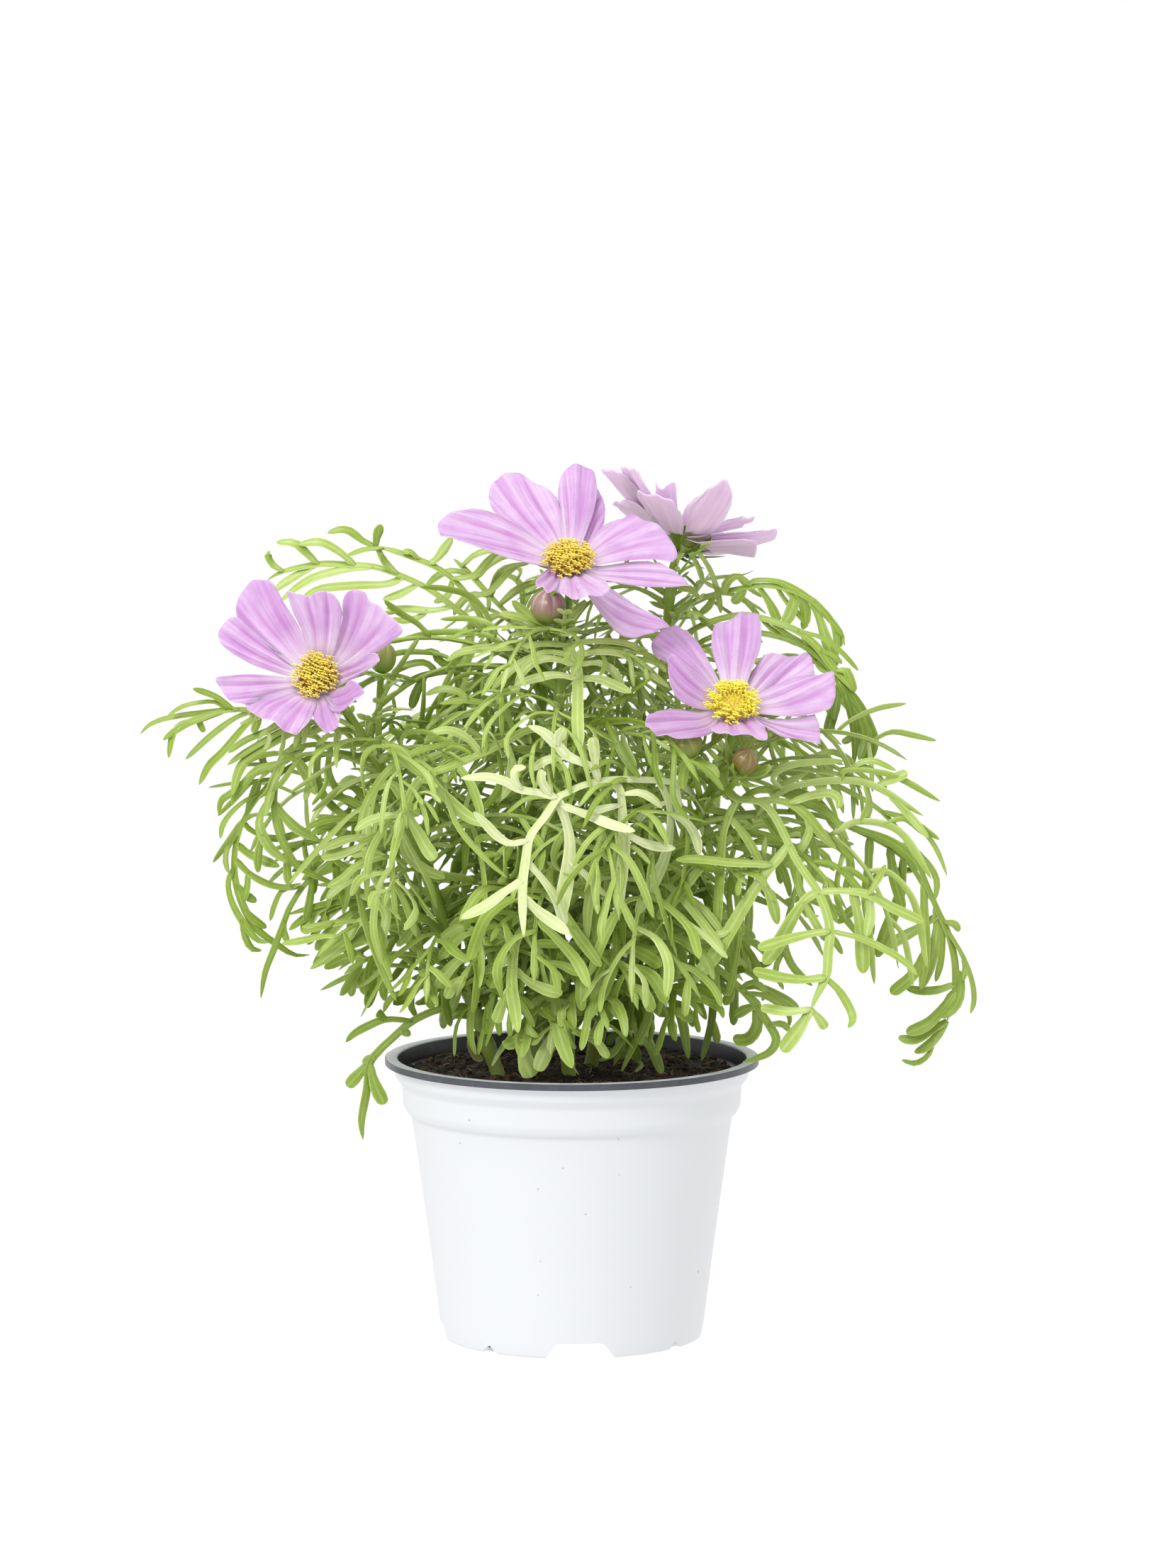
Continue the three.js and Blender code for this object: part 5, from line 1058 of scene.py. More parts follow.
LOBE_PROFILE_Q = [0, 0.07, 0.22, 0.45, 0.7, 0.86, 0.95, 1]
LOBE_PROFILE_SLIM = [0.6, 0.78, 0.75, 0.98, 0.98, 0.62, 0.28, 0.04]
LOBE_PROFILE_BLUNT = [0.6, 0.7, 0.72, 0.98, 1.08, 1.0, 0.72, 0.18]
BRANCH_PROFILE_Q = [0, 0.08, 0.2, 0.45, 0.75, 0.9, 0.94, 0.97, 0.99, 1]
BRANCH_PROFILE_SLIM = [0.5, 0.88, 0.78, 1.06, 1.08, 0.8, 0.62, 0.42, 0.22, 0.06]
BRANCH_PROFILE_BLUNT = [0.5, 0.74, 0.62, 0.9, 1.1, 1.0, 0.86, 0.64, 0.38, 0.12]
RIB_PROFILE_Q = [0, 0.04, 0.15, 0.5, 0.8, 0.92, 0.98, 1]
RIB_PROFILE = [1.5, 1.0, 0.8, 0.8, 0.95, 0.8, 0.4, 0.08]
BROAD_LOBE = 3.5

# A branch has places every few millimetres up to TIP_START, then TIP_SHARES. Only
# its first places may lie close to something, and it is left out where fewer than
# FEWEST_KEPT of its places, or less than SHORTEST_CUT of it, would be clear.
TIP_START = 0.9
TIP_SHARES = (0.94, 0.97, 0.99, 1.0)
FEWEST_PLACES = 6
MOST_PLACES = 38
FREE_ROOT_PLACES = 3
CLEARANCE = 0.7
SHORTEST_CUT = 0.45
FEWEST_KEPT = 5

# How the leaves that grow by the rule are laid out. Their lobes get narrower from
# LOW_WIDTH at the height LOW_LEAF to HIGH_WIDTH at HIGH_LEAF.
LONGEST_REACH = 30.0
LOBE_SAG = 0.9
FORKS_LEFT_OUT = 0.38
FORK_REACH = 4.0
LOW_WIDTH = 1.12
HIGH_WIDTH = 0.84
LOW_LEAF = 115
HIGH_LEAF = 190
RIB_CLEARANCE = 2.0
TUFT_CLEARANCE = 1.5
TUFT_LOBE_CLEARANCE = 0.9
ROLL_CHOICES = (-45, 0, 45)
FRONTWARD = vec(0, -0.95, 0.3)

# How the leaves that the picture places are laid out: their ribs near their depth
# early, and a lobe drifts forward or back from its root by a share of its length.
FORWARD_FIRST = 0.75
TOWARDS_VIEWER = vec(0, -0.75, 0.65)
PIXELS_PER_MM = 4.45
DRIFT_SHARES = (-0.35, 0.1)
LONGEST_DRIFT = 26


def leaf_plan(row, draw):
    """The rib and the lobes of a leaf of the rule, drawn as for the solids."""
    stem, height, angle, bend_out, bend_up, tip_out, tip_up, pairs, width, roll = row
    curve = CURVES[stem]
    base = curve(share_at(curve, height))
    outward = compass(angle)
    rib, slope = quadratic(base, base + outward * bend_out + UP * bend_up,
                           base + outward * tip_out + UP * tip_up)
    steps = np.array([rib(t) for t in np.linspace(0, 1, 60)])
    length = float(np.linalg.norm(np.diff(steps, axis=0), axis=1).sum())
    level = compass(angle + 90)
    lobes = []
    for k in range(pairs):
        f = k / (pairs - 1)
        share = LOBE_START + LOBE_RANGE * f + either_way(draw, 0.02)
        for hand in (-1, 1):
            tangent = slope(share)
            upper = unit(np.cross(tangent, level))
            turn = math.radians(roll + either_way(draw, 12))
            side = level * math.cos(turn) + upper * math.sin(turn)
            normal = unit(np.cross(tangent, side))
            lifted = -normal if normal[2] < 0 else normal
            shape = LOBE_SHARE * length * math.sin(math.pi * (0.34 + 0.5 * f))
            outer = max(0.0, float(side @ outward) * hand)
            drawn = lerp(0.85, 1.1, draw()) * (1 - 0.45 * outer)
            reach = min(LOBE_LONGEST, max(LOBE_SHORTEST, shape)) * drawn
            angle_out = LOBE_ANGLE - LOBE_ANGLE_DROP * f + either_way(draw, 7)
            a = math.radians(angle_out * (1 - 0.4 * outer))
            start = unit(tangent * math.cos(a) + side * math.sin(a) * hand + lifted * 0.1)
            curl = UP * -LOBE_DROOP + tangent * LOBE_FOLLOW
            lobes.append({"root": rib(share), "start": start, "curl": curl, "normal": normal,
                          "reach": reach, "width": width, "f": f})
    return {"rib": rib, "slope": slope, "length": length, "level": level, "roll": roll,
            "lobes": lobes, "width": width}


def lobe_line(lobe, count, sway=0.0, bend=0.0):
    """Points along a lobe."""
    q = np.linspace(0, 1, count)[:, None]
    side = unit(np.cross(lobe["start"], lobe["normal"]))
    return (lobe["root"] + lobe["start"] * lobe["reach"] * q
            + lobe["curl"] * lobe["reach"] * 0.5 * q * q
            + side * lobe["reach"] * (sway * np.sin(math.pi * q) + bend * q * q))


def add_lobe(soup, lobe, rng, count, tone, blunt=0.0, thin=1.0, brown=0.0):
    """One narrow lobe of a tuft, or a bract."""
    points = lobe_line(lobe, count, rng.uniform(-0.07, 0.07), rng.uniform(-0.12, 0.12))
    q = np.linspace(0, 1, count)
    profile = lerp(np.interp(q, LOBE_PROFILE_Q, LOBE_PROFILE_SLIM),
                   np.interp(q, LOBE_PROFILE_Q, LOBE_PROFILE_BLUNT), blunt)
    twist = rng.uniform(-30, 30)
    uppers = np.array([turned(lobe["normal"], lobe["start"], twist * t) for t in q])
    thickness = np.interp(q, [0, 0.8, 1], [0.8, 0.6, 0.15]) * thin
    strip(soup, points, uppers, lobe["width"] * 0.5 * profile, thickness, tone=tone, brown=brown)


def line_centres(points, step=2.0):
    """Places along a smooth curve through the points, closer at its tip."""
    length = float(np.linalg.norm(np.diff(np.array(points), axis=0), axis=1).sum())
    count = int(min(MOST_PLACES, max(FEWEST_PLACES, length / step)))
    return along_curve(points, (*np.linspace(0, TIP_START, count), *TIP_SHARES))


def shares_along(centres):
    """How far along a line of places each one lies, from 0 to 1."""
    steps = np.linalg.norm(np.diff(centres, axis=0), axis=1)
    return np.append(0, np.cumsum(steps)) / steps.sum()


def clear_part(centres):
    """The centres as far as they are clear of what stands in the way."""
    for i in range(FREE_ROOT_PLACES, len(centres)):
        if not room.free([centres[i]], CLEARANCE):
            return centres[:i - 1]
    return centres


def clear_branch(points, step=2.0):
    """The clear centres of a branch, or None where too little of it is left."""
    whole = line_centres(points, step)
    centres = clear_part(whole)
    if len(centres) < max(FEWEST_KEPT, SHORTEST_CUT * len(whole)):
        return None
    return centres


def add_line(soup, centres, width, profile_q, profile, upper, tone, rng):
    """A blade along its centres."""
    q = shares_along(centres)
    half = np.interp(q, profile_q, profile) * width * 0.5
    half = half * (1 + 0.04 * np.sin(q * 9 + rng.uniform(0, 6)))
    thickness = np.interp(q, [0, 0.1, 0.8, 1], [1.1, 0.9, 0.7, 0.15])
    twist = rng.uniform(-0.5, 0.5)
    swing = vec(rng.uniform(-0.4, 0.4), 0, 0)
    uppers = upper + swing + np.outer(np.sin(q * math.pi * 0.9) * twist, vec(1, 0.3, 0))
    strip(soup, centres, uppers, half, thickness, tone=np.repeat(tone - 0.1 * q, len(SECTION)))


def add_branch(soup, centres, width, upper, tone, rng):
    """A lobe or a fork: broad ones end more bluntly."""
    profile = BRANCH_PROFILE_BLUNT if width >= BROAD_LOBE else BRANCH_PROFILE_SLIM
    add_line(soup, centres, width, BRANCH_PROFILE_Q, profile, upper, tone, rng)


def add_scrap(soup, scrap):
    """A withered strand that leaves a stem and comes to lie near the soil."""
    curve = CURVES[scrap["stem"]]
    base = curve(share_at(curve, scrap["from"]))
    count = len(scrap["line"])
    points = [base] + [seen(*place, lerp(base[1], scrap["depth"], (k + 1) / count))
                       for k, place in enumerate(scrap["line"])]
    centres = line_centres(points, 1.2)
    q = np.linspace(0, 1, len(centres))
    half = np.interp(q, [0, 0.25, 0.7, 1], scrap["widths"])
    strip(soup, centres, vec(0.3, -0.8, 0.5), half, np.interp(q, [0, 1], [0.8, 0.2]),
          tone=scrap["tone"], brown=scrap["brown"])


def inner_shade(point):
    """Painted shade: leaves deep in the plant, near its middle, are a deeper green, as shade falls
    there.
    """
    return 0.07 * (1 - float(smooth(math.hypot(point[0] + 4, point[1] + 4), 12, 60)))


def add_leaf(soup, row, draw, rng, tone, strict=False):
    """A whole leaf, laid along its rib in one of the ways that leaves divide.
    A strict one is left out where its rib would meet something."""
    plan = leaf_plan(row, draw)
    rib, slope, level, length = plan["rib"], plan["slope"], plan["level"], plan["length"]
    if strict and not room.free([rib(t) for t in (0.3, 0.5, 0.7, 0.85, 1)], RIB_CLEARANCE):
        return
    width_share = lerp(LOW_WIDTH, HIGH_WIDTH, float(smooth(row[1], LOW_LEAF, HIGH_LEAF)))
    hand = rng.choice((-1, 1))
    phases = [rng.uniform(0, 6) for _ in range(4)]
    spread = rng.uniform(0.85, 1.15) * min(1.0, LONGEST_REACH / (0.4 * length))

    def frame_at(u, roll):
        tangent = unit(slope(min(1, max(0, u))))
        upper = unit(np.cross(tangent, level))
        side = level * math.cos(roll) + upper * math.sin(roll)
        return tangent, side, unit(np.cross(tangent, side))

    rolls = [math.radians(plan["roll"] + more) for more in ROLL_CHOICES]
    roll = max(rolls, key=lambda angle: abs(float(frame_at(0.6, angle)[2] @ FRONTWARD)))

    def laid(u, v):
        u = u + 0.025 * math.sin(9 * u + phases[0]) + 0.12 * v * math.sin(5 * u + phases[1])
        v = v * hand * spread * (1 + 0.22 * math.sin(7 * u * (1 if v > 0 else -1) + phases[2]))
        tangent, side, normal = frame_at(u, roll)
        place = rib(min(u, 1)) + tangent * max(0, u - 1) * length + side * v * length
        rise = 0.35 * v * math.sin(6 * u + phases[3])
        return place + normal * rise * length - UP * LOBE_SAG * v * v * length

    q = np.linspace(0, 1, 15)
    centres = np.array([rib(t) for t in q]) + np.outer(np.sin(q * 6.3) * length * 0.008, level)
    normal = frame_at(0.5, roll)[2]
    if normal[2] < 0:
        normal = -normal
    widths = np.interp(q, [0, 0.06, 0.2, 0.8, 0.92, 1], [3.0, 2.1, 1.5, 1.4, plan["width"] * 0.8, 0.2])
    thickness = np.interp(q, [0, 0.1, 0.9, 1], [1.8, 1.4, 0.8, 0.2])
    uppers = np.array([frame_at(t, roll)[2] for t in q])
    strip(soup, centres, uppers, widths * 0.5, thickness, tone=tone)
    known = [rib(t) for t in np.linspace(0, 1, 40)]
    for share, *line in rng.choice(LEAF_SHAPES):
        is_fork = line[0][1] != 0
        if is_fork and rng.random() < FORKS_LEFT_OUT:
            continue
        points = [laid(u, v) for u, v in line]
        gaps = np.linalg.norm(np.array(known) - points[0], axis=1)
        if gaps.min() > FORK_REACH:
            continue
        points[0] = known[int(np.argmin(gaps))]
        centres = clear_branch(points, 2.5)
        if centres is None:
            continue
        width = plan["width"] * share * width_share * rng.uniform(0.9, 1.1)
        # Painted shade takes tone away from lobes near the plant's middle.
        lobe_tone = tone + rng.uniform(-0.1, 0.1) - inner_shade(centres[0])
        add_branch(soup, centres, width, normal, lobe_tone, rng)
        known.extend(centres)


def add_tuft(soup, stem, height, angle, rng, tone):
    """A young side shoot: a few short fine leaves in a leaf's axil."""
    for _ in range(2):
        size = rng.uniform(11, 24)
        out = size * rng.uniform(0.5, 1.0)
        row = (stem, height + rng.uniform(0, 3), angle + rng.uniform(-50, 50),
               out * 0.4, size * 0.55, out, size * rng.uniform(0.3, 0.9),
               3, rng.uniform(1.6, 2.2), rng.uniform(-30, 30))
        plan = leaf_plan(row, seeded(rng.randrange(1 << 30)))
        rib = plan["rib"]
        if not room.free([rib(0.6), rib(1)], TUFT_CLEARANCE):
            continue
        q = np.linspace(0, 1, 8)
        centres = np.array([rib(t) for t in q])
        uppers = np.array([unit(np.cross(plan["slope"](t), plan["level"])) for t in q])
        strip(soup, centres, uppers, np.interp(q, [0, 0.8, 1], [0.8, 0.6, 0.08]),
              np.interp(q, [0, 1], [0.9, 0.2]), tone=tone)
        for lobe in plan["lobes"]:
            lobe["reach"] = size * rng.uniform(0.3, 0.45) * (1 - 0.4 * lobe["f"])
            lobe["curl"] = lobe["curl"] * 0.6
            if room.free(lobe_line(lobe, 3)[1:], TUFT_LOBE_CLEARANCE):
                add_lobe(soup, lobe, rng, 6, tone + rng.uniform(-0.05, 0.1))


def add_pictured(soup, leaf, rng):
    """A leaf placed by the picture, branch by branch."""
    curve = CURVES[leaf["stem"]]
    base = curve(share_at(curve, leaf["from"]))
    places = [np.array(shown(base))] + [np.array(p, float) for p in leaf["rib"]]
    steps = np.cumsum([0] + [float(np.linalg.norm(b - a)) for a, b in zip(places, places[1:])])
    points = [base] + [seen(*place, lerp(base[1], leaf["depth"], (step / steps[-1]) ** FORWARD_FIRST))
                       for place, step in zip(places[1:], steps[1:])]
    tone = leaf["tone"]
    centres = clear_part(line_centres(points))
    add_line(soup, centres, leaf["width"], RIB_PROFILE_Q, RIB_PROFILE, TOWARDS_VIEWER, tone, rng)
    known = list(centres)
    known_places = [shown(p) for p in known]
    for width, *line in leaf["lobes"]:
        gaps = [math.hypot(x - line[0][0], y - line[0][1]) for x, y in known_places]
        root = known[int(np.argmin(gaps))]
        length = sum(math.dist(a, b) for a, b in zip(line, line[1:])) / PIXELS_PER_MM
        drift = rng.uniform(*DRIFT_SHARES) * min(length, LONGEST_DRIFT)
        points = [root]
        for k, place in enumerate(line[1:]):
            f = (k + 1) / (len(line) - 1)
            points.append(seen(*place, root[1] + drift * f * f))
        lobe_tone = tone + rng.uniform(-0.07, 0.07)
        centres = clear_branch(points)
        if centres is None:
            continue
        add_branch(soup, centres, width, TOWARDS_VIEWER, lobe_tone, rng)
        known.extend(centres)
        known_places.extend(shown(p) for p in centres)


# Flower frames: origin at the receptacle's top, Z along the flower's axis.

def flower_frame(flower):
    rise = math.radians(flower["rise"])
    axis = compass(flower["compass"]) * math.cos(rise) + UP * math.sin(rise)
    right = unit(np.cross(UP, axis))
    upper = np.cross(axis, right)
    origin = vec(*flower["centre"]) - axis * FLOWER_SEAT
    return origin, right, upper, axis


def bud_frame(bud):
    axis = unit(vec(*bud["axis"]))
    right = unit(np.cross(vec(0, 1, 0), axis))
    return vec(*bud["centre"]), right, np.cross(axis, right), axis


def placed(axes, xyz):
    origin, right, upper, axis = axes
    xyz = np.asarray(xyz, float)
    return origin + xyz[..., 0:1] * right + xyz[..., 1:2] * upper + xyz[..., 2:3] * axis


def spun(soup, axes, profile, sides, wobble=None, **values):
    """A closed lathe about a frame's axis, from a list of radius and height."""
    profile = np.array(profile, float)
    angles = np.arange(sides) * 2 * math.pi / sides
    wave = np.ones(sides) if wobble is None else wobble(angles)
    points = np.array([[(r * w * math.cos(a), r * w * math.sin(a), z)
                        for a, w in zip(angles, wave)] for r, z in profile]).reshape(-1, 3)
    values.setdefault("along", np.repeat(np.linspace(0, 1, len(profile)), sides))
    values.setdefault("across", np.tile(angles, len(profile)))
    soup.add(placed(axes, points), ring_faces(len(profile), sides), **values)


# Petals.

PETAL_COLUMNS = 33
PETAL_ROWS = 30
PETAL_THICKNESS = 0.35
PETAL_LAYER = 1.6
PETAL_LENGTH = 38.0
PETAL_FOOT = 5.0
PETAL_SEAT = HUB_HEIGHT - 0.4
PLEAT_RATE = math.pi * 1.5
STEEP_LIFT = 24


def petal_waves(c, v, grown, phase, shift, pleat, ripple, ruffle, frill):
    """How a petal rises and falls: its pleats and ripples, and its ruffled tip."""
    rise = pleat * (np.abs(np.cos(c * PLEAT_RATE + shift)) - 0.6) * (1 - np.abs(c) ** 4)
    rise = (rise + ripple * np.sin(c * 19 + phase) * (1 - 0.4 * v)) * grown
    tip = ruffle * v ** 3 * np.sin(c * 3.7 + phase) + frill * v ** 4 * np.sin(c * 11 + phase * 2)
    return rise + tip


def petal_thickness(c, v):
    """A petal thins out towards its two sides."""
    return PETAL_THICKNESS * np.minimum(1, 0.3 + 3 * (1 - np.abs(c))) * np.ones_like(v)


def petal_drop(radius):
    """How much of its layer a petal has gone down at a distance from the axis."""
    return smooth(radius, HUB_RADIUS - 1, HUB_RADIUS + 6)


def outlined_petal(axes, petal, rng):
    """One petal filled in between its outline's sides, on its plane."""
    turn, lift, _, order, first, tip, second = petal
    origin, right, upper, axis = axes
    a, climb = math.radians(turn), math.radians(lift)
    outward = right * math.cos(a) + upper * math.sin(a)
    around = upper * math.cos(a) - right * math.sin(a)
    ahead = outward * math.cos(climb) + axis * math.sin(climb)
    normal = np.cross(ahead, around)
    foot = origin + outward * PETAL_FOOT + axis * PETAL_SEAT
    columns = np.linspace(-1, 1, PETAL_COLUMNS)
    rows = np.linspace(0, 1, PETAL_ROWS)
    near = along_curve(first, rows)
    far = along_curve(second[::-1], rows)
    edge = along_curve([second[0]] + tip[::-1] + [first[-1]], (columns + 1) / 2)
    share = ((columns + 1) / 2)[None, :, None]
    flat = lerp(far[:, None, :], near[:, None, :], share)
    straight = lerp(far[-1], near[-1], share[0])
    flat = flat + (edge - straight)[None, :, :] * (rows ** 2.2)[:, None, None]
    eye = vec(*VIEW_FROM)
    points = []
    for place in flat.reshape(-1, 2):
        ray = seen(place[0], place[1], 0) - eye
        points.append(eye + ray * float(normal @ (foot - eye)) / float(normal @ ray))
    points = np.array(points).reshape(PETAL_ROWS, PETAL_COLUMNS, 3)
    away = points - origin
    radius = np.hypot(away @ right, away @ upper)
    c = columns[None, :]
    v = rows[:, None]
    phase = rng.uniform(0, 6)
    shift = rng.uniform(-0.3, 0.3)
    waves = petal_waves(c, v, np.minimum(1, v * 3), phase, shift, 0.75, 0.14, 0.6, 0.25)
    seat = (PETAL_SEAT - away @ axis) * (1 - smooth(radius, 3.5, 9))
    lowered = order * PETAL_LAYER * petal_drop(radius)
    top = points + axis * (seat - lowered)[..., None] + normal * (waves + 0.5 * c * c * v)[..., None]
    thick = petal_thickness(c, v)
    low = top - normal * thick[..., None]
    folds = c + shift / PLEAT_RATE
    return top, low, np.broadcast_to(folds, thick.shape), np.broadcast_to(v, thick.shape)


def spread_petal(axes, flower, petal, layer, rng):
    """One petal that the picture hides: its width and the curl of its sides."""
    turn, lift, length, broad, fold_left, fold_right = petal
    a = math.radians(turn)
    climb = math.radians(lift)
    flat = flower["disc"] + (9 if lift > STEEP_LIFT else 6)
    c = np.linspace(-1, 1, PETAL_COLUMNS)[None, :]
    v = np.linspace(0, 1, PETAL_ROWS)[:, None]
    notches = sum(depth * np.exp(-((c - at) / 0.08) ** 2)
                  for at, depth in ((-0.36 + rng.uniform(-0.1, 0.1), rng.uniform(0.01, 0.04)),
                                    (0.34 + rng.uniform(-0.1, 0.1), rng.uniform(0.01, 0.04))))
    ragged = 0.008 * np.sin(c * 17 + rng.uniform(0, 6)) + 0.005 * np.sin(c * 41 + rng.uniform(0, 6))
    tip = 1 - 0.2 * np.abs(c) ** 2.3 - notches + ragged
    s = 0.05 + v * (tip - 0.05)
    r = 2 * s * (1 - s) * flat + s * s * length * math.cos(climb)
    z = 2 * s * (1 - s) * 0.6 + s * s * length * math.sin(climb)
    half = (1.2 + 8.9 * np.sin(math.pi * 0.6 * s) ** 1.8) * (length / PETAL_LENGTH) * broad
    half = half * (1 - 0.22 * smooth(v, 0.75, 1.0) ** 1.5)
    phase = rng.uniform(0, 6)
    shift = rng.uniform(-0.3, 0.3)
    waves = petal_waves(c, v, np.minimum(1, s * 3), phase, shift, 0.8, 0.17, 0.9, 0.35)
    curl = np.where(c < 0, fold_left, fold_right) * smooth(v, 0.1, 0.6)
    raised = 0.8 * c ** 2 * v + curl * np.abs(c) ** 1.6 * half * 0.9
    w = half * c * (1 - 0.35 * curl * np.abs(c))
    height = PETAL_SEAT + z + waves + raised - layer * petal_drop(r)
    x = r * math.cos(a) - w * math.sin(a)
    y = r * math.sin(a) + w * math.cos(a)
    top = placed(axes, np.stack([x, y, height], axis=-1))
    low = placed(axes, np.stack([x, y, height - petal_thickness(c, v)], axis=-1))
    folds = c + shift / PLEAT_RATE
    return top, low, np.broadcast_to(folds, s.shape), np.broadcast_to(v, s.shape)


def petal_faces(rows, columns):
    """Quads of the upper grid, of the lower one and round their border."""
    count = rows * columns
    faces = []

    def border(a, b):
        faces.append((a, b, count + b, count + a))

    for i in range(rows - 1):
        for j in range(columns - 1):
            p = i * columns + j
            faces.append((p, p + columns, p + columns + 1, p + 1))
            faces.append((count + p, count + p + 1, count + p + columns + 1, count + p + columns))
    for j in range(columns - 1):
        last = (rows - 1) * columns + j
        border(j, j + 1)
        border(last + 1, last)
    for i in range(rows - 1):
        left, right = i * columns, i * columns + columns - 1
        border(left + columns, left)
        border(right, right + columns)
    return faces


def add_petal(soup, axes, flower, petal, layer, rng):
    # How dark the petal's two halves are painted, as shade.
    painted_shade_left, painted_shade_right = flower.get("shaded_halves", {}).get(petal[0], (0, 0))
    if len(petal) == OUTLINED_PETAL:
        top, low, c, v = outlined_petal(axes, petal, rng)
    else:
        top, low, c, v = spread_petal(axes, flower, petal, layer, rng)
    points = np.concatenate([top.reshape(-1, 3), low.reshape(-1, 3)])
    across = np.tile(c.ravel(), 2)
    dusk = np.interp(across, [-0.1, 0.1], [painted_shade_left, painted_shade_right])
    soup.add(points, petal_faces(*c.shape), along=np.tile(v.ravel(), 2), across=across,
             under=np.repeat([0.0, 1.0], c.size), tone=rng.uniform(0, 1), dusk=dusk)


# Florets of the disc.

FLORET_COUNT = 118
FLORET_SIDES = 5
DISC_SHARE = 0.78
GOLDEN_ANGLE = math.radians(137.508)


def floret(openness):
    """One floret about Z, its foot at the origin: a tube, its teeth and two curls."""
    soup = Soup("deep")
    sides = FLORET_SIDES
    # Each ring: radius, height and painted shade, darkest at the foot, where the florets shade each
    # other.
    rings = [(0.3, 0.0, 1.0), (0.34, 1.6, 0.75), (0.5, 2.5, 0.3), (0.42, 2.8, 0.15)]
    points = [(r * math.cos(2 * math.pi * k / sides), r * math.sin(2 * math.pi * k / sides), z)
              for r, z, _ in rings for k in range(sides)]
    shades = np.repeat([deep for _, _, deep in rings], sides)
    soup.add(points, ring_faces(len(rings), sides), deep=shades)
    for k in range(sides):
        a = 2 * math.pi * (k + 0.5) / sides
        out = np.array([math.cos(a), math.sin(a), 0])
        side = np.array([-math.sin(a), math.cos(a), 0])
        root = out * 0.4 + UP * 2.65
        tip = out * (0.4 + (0.35 + 0.5 * openness)) + UP * (2.9 - 0.3 * openness)
        soup.add([root + side * 0.2, root + UP * 0.2, root - side * 0.2, tip],
                 [(0, 1, 3), (1, 2, 3), (2, 0, 3), (2, 1, 0)], deep=[0.1, 0, 0.1, 0.0])
    for hand in (-1, 1):
        line = [(hand * 0.05, 0, 2.6), (hand * 0.15, 0, 3.4),
                (hand * (0.25 + 0.35 * openness), 0.1, 3.9),
                (hand * (0.35 + 0.7 * openness), 0.15, 3.9),
                (hand * (0.35 + 0.9 * openness), 0.1, 3.4)]
        tube(soup, line, [0.2, 0.22, 0.25, 0.24, 0.14], sides,
             deep=np.repeat([0.5, 0.3, 0.05, 0.0, 0.0], sides))
    return soup.all_points(), soup.faces, np.concatenate(soup.values["deep"])


def add_florets(soup, axes, flower, rng):
    """The dome of a disc, covered with florets that open from its rim inward."""
    radius = flower["disc"] * DISC_SHARE
    lemon = flower["slot"] == "disc_lemon"
    dome = [(0.2, 0.2), (radius * 0.92, 0.4), (radius, 1.1), (radius * 0.85, 1.9),
            (radius * 0.5, 2.5), (0.2, 2.7)]
    base = [(r, HUB_HEIGHT + GAP + z) for r, z in dome]
    # The dome between the florets is painted as fully shaded.
    spun(soup, axes, base, 24, tone=0.0, deep=1.0)
    for i in range(FLORET_COUNT):
        f = math.sqrt((i + 0.5) / FLORET_COUNT)
        a = i * GOLDEN_ANGLE
        open_share = smooth(f, 0.35, 0.7) if lemon else smooth(f, 0.0, 0.35)
        points, faces, shades = floret(float(open_share))
        out = vec(math.cos(a), math.sin(a), 0)
        tilt = 0.95 * f ** 2 + rng.uniform(-0.12, 0.12)
        lean = turned(out, UP, rng.uniform(-40, 40))
        axis = unit(UP * math.cos(tilt) + lean * math.sin(tilt))
        size = rng.uniform(0.62, 0.9) * (lerp(0.6, 1.2, open_share) if lemon else 1.0)
        side = unit(np.cross(axis, vec(0.3, 1, 0.2)))
        other = np.cross(axis, side)
        foot = out * (radius * f) + UP * (HUB_HEIGHT + GAP + 0.4 + 1.8 * math.sqrt(max(0.0, 1 - f * f)))
        local = foot + size * (points[:, 0:1] * side + points[:, 1:2] * other + points[:, 2:3] * axis)
        soup.add(placed(axes, local), faces, tone=rng.uniform(0, 1), deep=shades)


# Buds, and the green cups and bracts under flowers and buds.

BUD_ROWS = 17
BLOOM_CUP = {"radius": 4.3, "depth": 3.6, "foot": 1.1}
BLOOM_BRACTS = [
    {"count": 8, "radius": 2.6, "height": -1.7, "reach": 11, "width": 3.2, "climb": -0.25,
     "curl": -0.1, "tone": 0.25},
]
BACK_CUP = {"radius": 5.4, "depth": 4.6, "foot": 1.2, "tone": 0.6, "brown": 0.2}
BACK_BRACTS = [
    {"count": 8, "radius": 4.2, "height": -2.4, "reach": 7.5, "width": 5.4, "climb": 0.5,
     "curl": 0.4, "tone": 0.6, "blunt": 1.0, "brown": 0.45},
    {"count": 7, "radius": 3.0, "height": -4.2, "reach": 13, "width": 3.6, "climb": 0.35,
     "curl": 0.3, "tone": 0.02, "uneven": 0.3},
]
BUD_CUP = {"radius": 2.6, "depth": 1.6, "foot": 0.9}
BUD_BRACTS = {"radius": 1.6, "height": -0.7, "width": 3.8, "climb": -0.05, "tone": 0.38, "uneven": 0.5}
STALK_RADIUS = 1.0
STALK_PLACES = 14


def add_bud(soup, axes, bud):
    """An egg of closed scales."""
    radius, half = bud["size"]
    rows = []
    for k in range(BUD_ROWS):
        a = math.pi * (k / (BUD_ROWS - 1) - 0.5) * 0.98
        rows.append((max(0.12, radius * math.cos(a) ** 0.9), half * math.sin(a)))

    def ridges(angles):
        return 1 - 0.05 * np.abs(np.sin(angles * 4)) ** 0.5

    spun(soup, axes, rows, 48, ridges, tone=bud["rose"])


